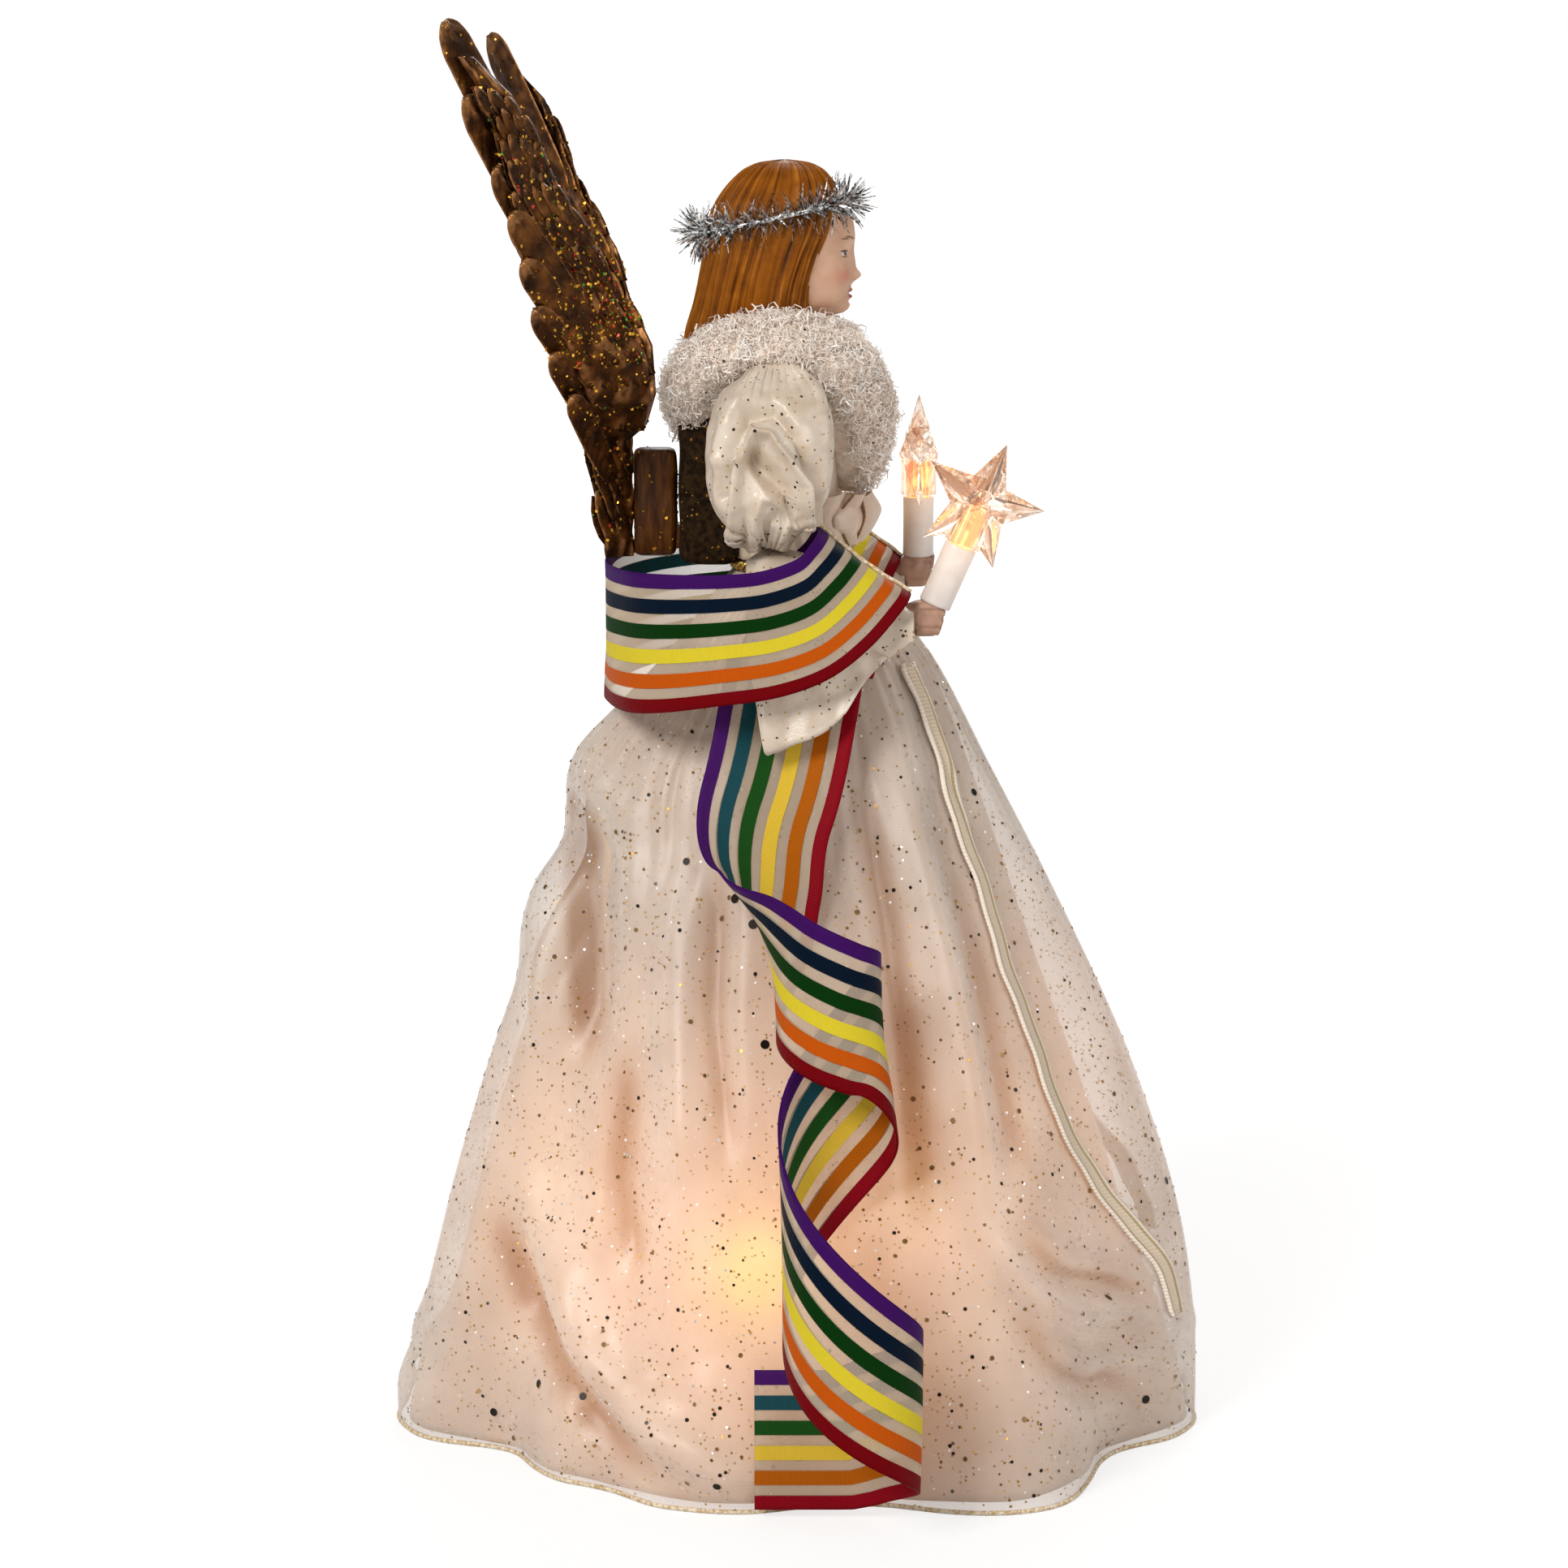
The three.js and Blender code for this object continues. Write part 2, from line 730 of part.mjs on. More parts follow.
// The gold cord tied round the waist, on the skirt's gathered top.
function makeWaistCord() {
  const ring = new THREE.TorusGeometry(waistRadius + fitGap + waistCordRadius, waistCordRadius, 5, 26);
  ring.translate(0, 0, waistHeight + fitGap + waistCordRadius);
  return toSolid(indexed(ring));
}

add("satin_underskirt", makeLining(), satinIvory);
add("organza_overskirt", overskirt(0), organzaIvory);
const piping = makePiping();
add("right_piping", piping, pipingIvory);
add("left_piping", mirrored(piping), pipingIvory);
add("waist_cord", makeWaistCord(), goldCord);

// Head and hair

// A stack of ovals: each row is the share of the height, then the back, front and half width as shares.
function ovalStack(rows, sides, base, height, reach, width, extra) {
  return rows.map(([share, back, front, half]) =>
    ringOf(sides, (a) => {
      const middle = ((back + front) / 2) * reach;
      const deep = ((front - back) / 2) * reach;
      return vec(
        middle + (deep + extra) * Math.cos(a),
        (half * width + extra) * Math.sin(a),
        base + share * height + (share === 0 ? -extra : 0) + (share === 1 ? extra : 0),
      );
    }),
  );
}

// Neck, jaw, cheeks, brow and crown, as shares of the head's height, the face's reach and the head's width.
const headShares = [
  [0, -0.73, 0.02, 0.23], [0.17, -0.73, 0.1, 0.24], [0.21, -0.78, 0.6, 0.3], [0.26, -0.85, 0.8, 0.38],
  [0.34, -0.95, 0.84, 0.43], [0.45, -1.1, 0.87, 0.47], [0.58, -1.18, 0.87, 0.49], [0.68, -1.2, 0.91, 0.49],
  [0.8, -1.1, 0.85, 0.45], [0.92, -0.85, 0.6, 0.33], [1, -0.45, 0.15, 0.12],
];

const hairShares = [
  [0, -1.0, 0.16, 0.46], [0.14, -0.97, 0.16, 0.49], [0.3, -0.92, 0.19, 0.5], [0.45, -0.87, 0.26, 0.5],
  [0.6, -0.84, 0.36, 0.48], [0.76, -0.75, 0.39, 0.42], [0.9, -0.56, 0.3, 0.3], [1, -0.3, 0.1, 0.11],
];

const headBase = torsoTopHeight + fitGap;

const headForm = (extra) =>
  toSolid(loft(ovalStack(headShares, 20, headBase, headHeight, faceReach, headWidth, extra)));

// The nose is a small ridge that stands out of the face.
function makeNose() {
  const height = headHeight * 0.13;
  const nose = new THREE.ConeGeometry(height * 0.36, height, 8);
  nose.rotateX(Math.PI / 2);
  nose.translate(faceReach * 0.88, 0, headBase + headHeight * 0.46);
  return toSolid(nose);
}

const makeHead = () => headForm(0).add(makeNose());

function makeHair() {
  const form = ovalStack(hairShares, 22, hairLowHeight, hairHeight, hairReach, hairWidth, 0);
  return toSolid(loft(form)).subtract(headForm(fitGap));
}

add("head", makeHead(), fleshPaint);
add("hair", makeHair(), hairPaint);

// Tinsel halo: foil strands stand out all round a wire ring that rests on the hair, higher in front.
function makeHalo() {
  const tilt = rad(haloTilt);
  const points = [];
  const faces = [];
  const corners = [[1, 0], [0, 1], [-1, 0], [0, -1]];
  const at = (station) => {
    const a = (station / tinselStations) * Math.PI * 2;
    const outward = vec(Math.cos(a), Math.sin(a), 0);
    const centre = vec(haloDepth * Math.cos(a), haloSpan * Math.sin(a), 0);
    return { outward, centre };
  };
  const settle = (p) => {
    p.applyAxisAngle(vec(0, 1, 0), -tilt);
    return p.add(vec(haloCentreX, 0, haloHeight));
  };
  for (let station = 0; station < tinselStations; station++) {
    const { outward, centre } = at(station);
    for (const [out, up] of corners) {
      const p = centre.clone().addScaledVector(outward, out * haloCoreRadius);
      p.z += up * haloCoreRadius;
      points.push(settle(p));
    }
  }
  // The strands' lengths and leans follow two slow waves, so that no two neighbours look alike.
  const vary = (n) => Math.sin(n * 12.9898) * 0.5 + Math.sin(n * 4.1414) * 0.5;
  const sideways = [[1, 1], [-1, 1], [-1, -1], [1, -1]];
  for (let station = 0; station < tinselStations; station++) {
    const next = (station + 1) % tinselStations;
    for (let side = 0; side < 4; side++) {
      const other = (side + 1) % 4;
      const quad = [station * 4 + side, station * 4 + other, next * 4 + other, next * 4 + side];
      const facesHair = side === 2 || (side === 1 && station % 2 === 0);
      if (facesHair) {
        faces.push(quad[0], quad[2], quad[1], quad[0], quad[3], quad[2]);
        continue;
      }
      const { outward, centre } = at(station + 0.5);
      const [out, up] = sideways[side];
      const n = station * 3 + side;
      const length = tinselLength * (0.82 + 0.18 * vary(n));
      const turn = Math.PI / 4 + 0.3 * vary(n + 7);
      const steep = side === 1;
      const reach = steep ? length * 0.1 : out * Math.cos(turn) * length;
      const tip = centre.clone().addScaledVector(outward, reach);
      tip.z += up * (steep ? 1 : Math.sin(turn)) * length;
      points.push(settle(tip));
      const apex = points.length - 1;
      for (let i = 0; i < 4; i++) faces.push(quad[(i + 1) % 4], quad[i], apex);
    }
  }
  const geometry = new THREE.BufferGeometry().setFromPoints(points);
  geometry.setIndex(faces);
  return toSolid(facingOut(geometry));
}

add("tinsel_halo", makeHalo(), tinselSilver);

// Sleeves

// The puffed upper sleeve, top to elbow: shares of its length, half depth, half width and middle.
const sleeveShares = [
  [0, 0.36, 0.3, 0.72], [0.1, 0.8, 0.66, 0.88], [0.28, 1, 0.9, 0.97], [0.5, 1.03, 0.95, 1.02],
  [0.72, 0.95, 0.9, 1.05], [0.86, 0.72, 0.68, 1.05], [0.94, 0.5, 0.5, 1.03], [1, 0.36, 0.36, 1.02],
];

function sleeveSolid(extra) {
  const rings = sleeveShares.map(([share, deep, wide, spread]) =>
    ringOf(24, (a) => {
      const pleat = 1 + 0.05 * Math.cos(6 * a) * Math.sin(share * Math.PI);
      const middleX = bodyCentreX - sleeveRadius * (0.03 + share * 0.1);
      return vec(
        middleX + (sleeveRadius * deep * pleat + extra) * Math.cos(a),
        -armSpread * spread + (sleeveRadius * wide * pleat + extra) * Math.sin(a),
        sleeveTopHeight - share * sleeveLength + (share === 0 ? extra : 0) - (share === 1 ? extra : 0),
      );
    }),
  );
  return toSolid(loft(rings));
}

const makeSleeve = () => sleeveSolid(0).subtract(bodiceRoom());

// The two arms are alike but for the hand's height, the candle's lean and the star's turn.
const arms = [
  { hand: "right", sign: -1, height: rightHandHeight, lean: candleLean, starTurn: 0 },
  { hand: "left", sign: 1, height: leftHandHeight, lean: 0, starTurn: 90 },
];

// The bell cuff, elbow to mouth: share of its length, then its top and its hanging edge as shares
// of its drop.
const cuffShares = [
  [0, 0.06, 0.5], [0.08, 0.01, 0.72], [0.14, 0, 1], [0.3, 0.01, 0.88], [0.5, 0.06, 0.72],
  [0.7, 0.14, 0.6], [0.86, 0.22, 0.52], [1, 0.29, 0.46],
];

// Half a section of the cuff, from its round top to its thin hanging edge: share down, share of
// the thickness.
const cuffSectionShares = [[0, 0], [0.05, 0.6], [0.16, 1], [0.32, 1], [0.5, 0.72], [0.75, 0.42], [1, 0.3]];

function makeCuff(arm) {
  const rings = cuffShares.map(([share, top, low]) => {
    const x = cuffStartX + share * cuffLength;
    const high = cuffTopHeight - top * cuffDrop;
    const depth = (low - top) * cuffDrop;
    const wide = cuffThickness * (share === 0 ? 0.7 : 1);
    const tubeShare = Math.min(1, (cuffThickness * 2) / depth);
    const side = (sign) =>
      cuffSectionShares.map(([down, thick], i) => {
        const round = i < 4;
        const drop = round ? down * tubeShare * 3 : lerp(tubeShare * 0.96, 1, (down - 0.32) / 0.68);
        const hang = Math.max(0, drop - tubeShare) * cuffThickness * 2.1;
        const middleY = arm.sign * (armSpread + hang);
        return vec(x, middleY + sign * thick * wide, high - Math.min(drop, 1) * depth);
      });
    const near = side(-1);
    const far = side(1).reverse().slice(0, -1);
    return [...near, ...far];
  });
  const cuff = toSolid(loft(rings));
  const others = [wristSolid(arm, fitGap, wristRadius), starBody(arm, fitGap), overskirtSpace(fitGap)];
  return others.reduce((left, other) => left.subtract(other), cuff);
}

// The wrist runs from inside the cuff's mouth to the middle of the fist.
function wristSolid(arm, extra, beyond) {
  const start = vec(handX - wristLength, arm.sign * armSpread, wristHeight);
  const end = vec(handX, arm.sign * armSpread, arm.height);
  const run = end.sub(start);
  const wrist = placed(cylinder(wristRadius + extra, -extra, run.length() + beyond, 12), start, run);
  return wrist.subtract(overskirtSpace(fitGap - extra));
}

const sleeve = makeSleeve();
add("right_puff_sleeve", sleeve, satinIvory);
add("left_puff_sleeve", mirrored(sleeve), satinIvory);

// Hands, candles and stars

function candleAxis(arm) {
  const lean = rad(arm.lean);
  return {
    place: vec(handX, arm.sign * armSpread, arm.height),
    direction: vec(Math.sin(lean), 0, Math.cos(lean)),
  };
}

function makeHand(arm) {
  const fist = new THREE.SphereGeometry(handRadius, 12, 8);
  fist.scale(0.95, 0.92, 1.15);
  fist.translate(handX, arm.sign * armSpread, arm.height);
  const fistSolid = toSolid(fist).add(wristSolid(arm, 0, 0));
  const { place, direction } = candleAxis(arm);
  const room = cylinder(candleRadius + fitGap, candleSeat, candleLength, 16);
  return fistSolid.subtract(placed(room, place, direction));
}

// The candle stands on the fist: its foot is let in a little.
const candleSeat = handRadius * 0.75;

function makeCandle(arm) {
  const foot = candleSeat + fitGap;
  const top = foot + candleLength;
  const tube = turned(
    [
      [0, foot],
      [candleRadius, foot],
      [candleRadius, top],
      [candleBoreRadius, top],
      [candleBoreRadius, top - candleBoreDepth],
      [0, top - candleBoreDepth],
    ],
    16,
  );
  const { place, direction } = candleAxis(arm);
  return placed(tube, place, direction);
}

function candleTop(arm) {
  const { place, direction } = candleAxis(arm);
  return place.clone().addScaledVector(direction, candleSeat + fitGap + candleLength);
}

function makeCandleBulb(arm) {
  const { direction } = candleAxis(arm);
  const seat = candleTop(arm).addScaledVector(direction, fitGap);
  return placed(bulbBody(starSeatDrop), seat, direction);
}

// A star cover: five facetted points, thickest in the middle, on a short collar over the bulb.
function starPoints(extra) {
  const points = [];
  for (let i = 0; i < 10; i++) {
    const angle = Math.PI / 2 + (i / 10) * Math.PI * 2;
    const radius = (i % 2 === 0 ? starRadius : starNotchRadius) + extra;
    points.push(vec(radius * Math.cos(angle), 0, radius * Math.sin(angle)));
  }
  const half = starThickness / 2 + extra;
  points.push(vec(0, -half, 0), vec(0, half, 0));
  const faces = [];
  for (let i = 0; i < 10; i++) {
    const next = (i + 1) % 10;
    faces.push(i, next, 10, next, i, 11);
  }
  const geometry = new THREE.BufferGeometry().setFromPoints(points);
  geometry.setIndex(faces);
  return toSolid(facingOut(geometry));
}

// Turns a star about its stem and sets it on its candle.
function starPlaced(arm, star) {
  const { direction } = candleAxis(arm);
  const seat = candleTop(arm).addScaledVector(direction, starSeatDrop);
  return placed(star.rotate([0, 0, arm.starTurn]), seat, direction);
}

// The space that the star's points take, with room round them.
const starBody = (arm, extra) => starPlaced(arm, starPoints(extra));

function makeStar(arm) {
  const low = -starSeatDrop + fitGap;
  const mouth = low - cutOverrun;
  const bore = [[0, mouth], [starBoreRadius, mouth], [starBoreRadius, 0], [0, starBoreRadius]];
  const star = starPoints(0).add(cylinder(starCollarRadius, low, 0, 16)).subtract(turned(bore, 16));
  return starPlaced(arm, star);
}

for (const arm of arms) {
  add(arm.hand + "_bell_cuff", makeCuff(arm), satinIvory);
  add(arm.hand + "_hand", makeHand(arm), fleshPaint);
  add(arm.hand + "_candle", makeCandle(arm), mouldedWhite);
  add(arm.hand + "_candle_bulb", makeCandleBulb(arm), clearGlass);
  add(arm.hand + "_star_cover", makeStar(arm), clearPlastic);
}

// Collar and bodice ruffle

// The collar's section, from the neck over the crest to the hem and back: shares of its reach and drop.
const collarSectionShares = [
  [0.33, 0.16], [0.45, 0], [0.72, 0.05], [0.93, 0.3], [1, 0.52], [0.95, 0.82], [0.78, 1], [0.5, 0.9],
];

function collarForm(extra) {
  const rings = ringOf(28, (a) => {
    const side = Math.abs(Math.sin(a)) ** 1.5;
    const front = Math.cos(a) > 0;
    const reach = lerp(collarReach * (front ? 1 : 0.94), collarSpan, side);
    const crest = collarCrestHeight - collarDrop * (front ? 0.12 : 0.15) * (1 - side);
    const low = collarCrestHeight - collarDrop * lerp(front ? 1 : collarBackShare, 0.34, side);
    return collarSectionShares.map(([out, down]) =>
      vec(
        bodyCentreX + Math.max(collarNeckRadius, out * reach + extra) * Math.cos(a),
        Math.max(collarNeckRadius, out * reach + extra) * Math.sin(a),
        lerp(crest, low - extra, down),
      ),
    );
  });
  return toSolid(loft(rings, true));
}

const collarRoom = () => collarForm(fitGap);

function makeCollar() {
  let collar = collarForm(0);
  for (const other of [bodiceRoom(), sleeveSolid(fitGap), mirrored(sleeveSolid(fitGap))]) {
    collar = collar.subtract(other);
  }
  const hairFilled = ovalStack(hairShares, 22, hairLowHeight, hairHeight, hairReach, hairWidth, fitGap);
  return collar.subtract(toSolid(loft(hairFilled))).subtract(headForm(fitGap));
}

// The ruffle: a pleated puff of satin across the chest, under the collar.
function makeRuffle() {
  const stations = 25;
  const rings = Array.from({ length: stations }, (_, i) => {
    const share = i / (stations - 1);
    const side = share * 2 - 1;
    const pleat = 1 + 0.09 * Math.cos(share * Math.PI * 12);
    const round = Math.sqrt(Math.max(0.12, 1 - side * side));
    return ringOf(8, (a) =>
      vec(
        chestDepth * 0.6 + ruffleDepth * 0.5 * round + (ruffleDepth / 2) * round * pleat * Math.cos(a),
        (side * ruffleWidth) / 2,
        ruffleCentreHeight + (ruffleHeight / 2) * round * pleat * Math.sin(a),
      ),
    );
  });
  return toSolid(loft(rings)).subtract(bodiceRoom()).subtract(collarRoom());
}

const collar = makeCollar();
add("fur_collar", collar, furOffWhite);
add("bodice_ruffle", makeRuffle(), satinIvory);

// Wings

// The hub: an upright block that both wings are fixed to, with a peg that pushes into the figure's back.
function makeWingHub() {
  const block = box(
    vec(hubBackX, -hubWidth / 2, wingRootHeight),
    vec(hubFrontX, hubWidth / 2, wingRootHeight + hubHeight),
  );
  return block.add(pegBox(0, hubFrontX - socketWall, pegEndX));
}

// The wing's front edge and its trailing edge, from root to tip, as shares of its length, reach and spread.
const leadShares = [
  [0, 0.502, 0.02], [0.12, 0.502, 0.03], [0.225, 0.502, 0.075], [0.25, 0.455, 0.13], [0.3, 0.432, 0.23],
  [0.39, 0.445, 0.33], [0.48, 0.517, 0.43], [0.575, 0.558, 0.5], [0.625, 0.611, 0.57], [0.69, 0.684, 0.63],
  [0.75, 0.707, 0.73], [0.865, 0.797, 0.87], [0.94, 0.913, 0.955], [1, 0.99, 0.99],
];
const trailShares = [
  [0, 0.575, 0.12], [0.12, 0.582, 0.16], [0.225, 0.588, 0.22], [0.25, 0.594, 0.3], [0.3, 0.607, 0.42],
  [0.39, 0.65, 0.58], [0.48, 0.71, 0.71], [0.575, 0.745, 0.79], [0.625, 0.76, 0.83], [0.69, 0.785, 0.88],
  [0.75, 0.8, 0.92], [0.865, 0.875, 0.965], [0.94, 0.95, 0.99], [1, 1, 1],
];

// Feathers that stand out of the trailing edge: where each starts and ends, and its half width.
const featherShares = [
  { from: 0.62, to: 0.853, back: 0.918, spread: 1.02, half: 0.03 },
  { from: 0.5, to: 0.735, back: 0.842, spread: 0.965, half: 0.028 },
  { from: 0.42, to: 0.655, back: 0.8, spread: 0.93, half: 0.026 },
  { from: 0.34, to: 0.57, back: 0.772, spread: 0.86, half: 0.024 },
  { from: 0.27, to: 0.485, back: 0.745, spread: 0.78, half: 0.022 },
  { from: 0.2, to: 0.4, back: 0.703, spread: 0.68, half: 0.02 },
  { from: 0.15, to: 0.32, back: 0.655, spread: 0.56, half: 0.018 },
];

// The blade's section from front to back: shares of its chord and of its thickness. A feather's
// outline from quill to tip: shares of its length and of its half width.
const bladeShares = [[0, 0], [0.12, 0.42], [0.4, 0.5], [0.8, 0.34], [1, 0.1]];
const vaneShares = [[0, 0.7], [0.35, 1], [0.8, 0.9], [1, 0.3]];

function wingPlace(pairs, share) {
  const back = along(pairs.map(([s, x]) => [s, x]), share);
  const out = along(pairs.map(([s, , y]) => [s, y]), share);
  return vec(-back * wingBackReach, -out * wingSpread, wingRootHeight + share * wingLength);
}

function makeWing() {
  const blade = leadShares.map(([share], i) => {
    const lead = wingPlace(leadShares, share);
    const trail = wingPlace(trailShares, share);
    const chord = trail.clone().sub(lead);
    const face = vec(-chord.y, chord.x, 0).normalize();
    const thick = wingThickness * lerp(1, 0.45, share) * (i === leadShares.length - 1 ? 0.5 : 1);
    const onFace = (sign) =>
      bladeShares.map(([c, t]) =>
        lead.clone().addScaledVector(chord, c).addScaledVector(face, sign * t * thick),
      );
    return [...onFace(1), ...onFace(-1).slice(1).reverse()];
  });
  const feathers = featherShares.map(({ from, to, back, spread, half }) => {
    const start = wingPlace(leadShares, from).lerp(wingPlace(trailShares, from), 0.55);
    const tip = vec(-back * wingBackReach, -spread * wingSpread, wingRootHeight + to * wingLength);
    const run = tip.clone().sub(start);
    const chord = wingPlace(trailShares, from).sub(wingPlace(leadShares, from)).normalize();
    const onward = run.clone().normalize();
    const side = chord.clone().addScaledVector(onward, -chord.dot(onward)).normalize();
    const face = side.clone().cross(run).normalize();
    const rings = vaneShares.map(([s, w]) => {
      const middle = start.clone().addScaledVector(run, s);
      const wide = half * wingLength * w;
      const thin = (featherThickness / 2) * lerp(1, 0.5, s);
      return ringOf(4, (a) => {
        const p = middle.clone().addScaledVector(side, Math.cos(a) * wide);
        return p.addScaledVector(face, Math.sin(a) * thin);
      });
    });
    return toSolid(loft(rings));
  });
  return union([toSolid(loft(blade)), ...feathers]);
}

const wing = makeWing();
add("wing_hub", makeWingHub(), wingBronze, wings);
add("right_wing", wing, wingBronze, wings);
add("left_wing", mirrored(wing), wingBronze, wings);

// Stole: one striped ribbon behind the waist, over both forearms, hanging in a loose curl at each side.

// The band's run on the right side, from the middle of the back to the inner side of the forearm:
// the upper edge and the lower edge, as shares of its reach behind, its span and its drape.
const bandShares = [
  [[-1, 0, 0], [-1, 0, -1.0033]],
  [[-0.985, -0.25, 0.0063], [-0.985, -0.25, -0.997]],
  [[-0.93, -0.52, 0.019], [-0.93, -0.52, -0.9843]],
  [[-0.8, -0.77, 0.0317], [-0.82, -0.77, -0.9652]],
  [[-0.58, -0.93, 0.0444], [-0.64, -0.93, -0.9208]],
  [[-0.33, -0.99, 0.0571], [-0.4, -0.99, -0.8636]],
  [[-0.16, -1, 0.0889], [-0.1, -1, -0.8001]],
  [[0, -0.975, 0.1651], [0.15, -0.99, -0.6731]],
  [[0.06, -0.92, 0.254], [0.36, -0.95, -0.4572]],
  [[0.09, -0.84, 0.3016], [0.52, -0.87, -0.2159]],
  [[0.1, -0.73, 0.3175], [0.56, -0.78, -0.1397]],
  [[0.08, -0.6, 0.3048], [0.55, -0.62, -0.1588]],
  [[0.03, -0.5, 0.1905], [0.5, -0.5, -0.2858]],
  [[-0.14, -0.455, -0.0635], [0.47, -0.455, -0.4445]],
  [[-0.24, -0.49, -0.381], [0.42, -0.49, -0.635]],
  [[-0.34, -0.58, -0.6731], [0.38, -0.58, -0.762]],
];

const bandPoint = ([x, y, z]) => vec(x * bandReach, y * bandSpan, bandHeight + z * bandDrape);

function makeBand() {
  const half = bandShares.map(([upper, lower]) => {
    const [a, b] = [bandPoint(upper), bandPoint(lower)];
    return [a, a.clone().lerp(b, 0.5), b];
  });
  const otherHalf = half.slice(1).map((row) => row.map((p) => vec(p.x, -p.y, p.z)));
  return strip([...otherHalf.reverse(), ...half], ribbonThickness);
}

// The hanging curl: the turn of the ribbon in degrees, its height, the curl's radius and its axis, as shares
// of the tail's height, of the curl's radius and of the tail's distance from the middle.
const curlShares = [
  { turn: 270, height: 1, radius: 2.6, ahead: -0.14, aside: 0.712 },
  { turn: 272, height: 0.88, radius: 2, ahead: -0.4, aside: 0.71 },
  { turn: 300, height: 0.78, radius: 1.1, ahead: -0.1, aside: 0.652 },
  { turn: 360, height: 0.705, radius: 0.75, ahead: 0.35, aside: 0.652 },
  { turn: 450, height: 0.655, radius: 0.75, ahead: 0.42, aside: 0.676 },
  { turn: 540, height: 0.61, radius: 0.78, ahead: 0.46, aside: 0.725 },
  { turn: 630, height: 0.5, radius: 0.95, ahead: 0.6, aside: 0.815 },
  { turn: 720, height: 0.37, radius: 1, ahead: 0.77, aside: 0.888 },
  { turn: 810, height: 0.25, radius: 1, ahead: 0.77, aside: 0.938 },
  { turn: 900, height: 0.165, radius: 1, ahead: 0.77, aside: 0.965 },
  { turn: 990, height: 0.105, radius: 0.95, ahead: 0.7, aside: 0.975 },
];

function makeTail() {
  const keys = ["turn", "height", "radius", "ahead", "aside"];
  const steps = 42;
  const curveOf = (key) => new THREE.SplineCurve(curlShares.map((row, i) => new THREE.Vector2(i, row[key])));
  const curves = Object.fromEntries(keys.map((key) => [key, curveOf(key)]));
  const stations = Array.from({ length: steps + 1 }, (_, i) => {
    const values = Object.fromEntries(keys.map((key) => [key, curves[key].getPoint(i / steps).y]));
    const turn = rad(values.turn);
    const radius = values.radius * curlRadius;
    const axis = vec(values.ahead * curlRadius, -values.aside * tailOffset, 0);
    const outward = vec(-Math.cos(turn), -Math.sin(turn), 0);
    const centre = axis.clone().addScaledVector(outward, radius);
    centre.z = values.height * tailTopHeight;
    return { radius, outward, centre, onward: vec(Math.sin(turn), -Math.cos(turn), 0) };
  });
  const last = stations[steps];
  const flatEnd = curlRadius * 1.35;
  const flatSteps = 4;
  for (let i = 1; i <= flatSteps; i++) {
    const centre = last.centre.clone().addScaledVector(last.onward, (flatEnd * i) / flatSteps);
    stations.push({ ...last, radius: curlRadius * 40, centre });
  }
  const rows = stations.map(({ radius, outward, centre, onward }, i) => {
    const before = stations[Math.max(i - 1, 0)].centre;
    const after = stations[Math.min(i + 1, stations.length - 1)].centre;
    const run = after.clone().sub(before);
    const fall = Math.atan2(-run.z, Math.abs(run.dot(onward)));
    return [1, 0, -1].map((edge) => {
      const across = (edge * ribbonWidth) / 2;
      const swing = (across * Math.sin(fall)) / radius;
      const p = centre.clone().addScaledVector(onward, radius * Math.sin(swing));
      p.addScaledVector(outward, radius * (Math.cos(swing) - 1));
      p.z += across * Math.cos(fall);
      return p;
    });
  });
  return strip(rows, ribbonThickness);
}

const tail = makeTail();
add("stole_band", makeBand(), ribbonStripes);
add("right_stole_tail", tail, ribbonStripes);
add("left_stole_tail", mirrored(tail), ribbonStripes);

export default angel;
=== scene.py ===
import math
import random

import bmesh
import bpy
import numpy as np
from mathutils import Matrix, Vector


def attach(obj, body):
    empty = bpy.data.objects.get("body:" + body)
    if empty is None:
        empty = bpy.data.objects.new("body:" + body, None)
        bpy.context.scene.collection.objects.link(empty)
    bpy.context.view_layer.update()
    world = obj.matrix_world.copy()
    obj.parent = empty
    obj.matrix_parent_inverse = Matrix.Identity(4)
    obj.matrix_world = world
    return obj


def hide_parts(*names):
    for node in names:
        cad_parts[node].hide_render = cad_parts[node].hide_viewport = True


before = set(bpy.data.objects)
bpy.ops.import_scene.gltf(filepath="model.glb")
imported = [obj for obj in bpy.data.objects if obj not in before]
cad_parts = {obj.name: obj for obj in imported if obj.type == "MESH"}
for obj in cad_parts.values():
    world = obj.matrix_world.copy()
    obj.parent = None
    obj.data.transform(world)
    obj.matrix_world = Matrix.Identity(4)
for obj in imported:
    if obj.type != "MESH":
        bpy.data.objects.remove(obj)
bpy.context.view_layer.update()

# Camera, light and floor
# The camera stands at the side of the figure, a little above it, and sees the whole of it. The light is
# soft and even, the floor and the background are white, and the floor keeps a faint shadow.

MM = 0.001
EYE = (-3.0, -824.0, 284.0)
AIM = (-3.0, 0.0, 140.0)
SENSOR_WIDTH = 36.0
FOCAL_LENGTH = 86.52
FLOOR_REACH = 12.0


def fill(tree, node, values):
    """Sets a node's inputs by name, or links them where the value is a socket or another node."""
    for name, value in values.items():
        if isinstance(value, bpy.types.Node):
            value = next(output for output in value.outputs if output.enabled)
        if isinstance(value, bpy.types.NodeSocket):
            tree.links.new(value, node.inputs[name])
        else:
            node.inputs[name].default_value = value


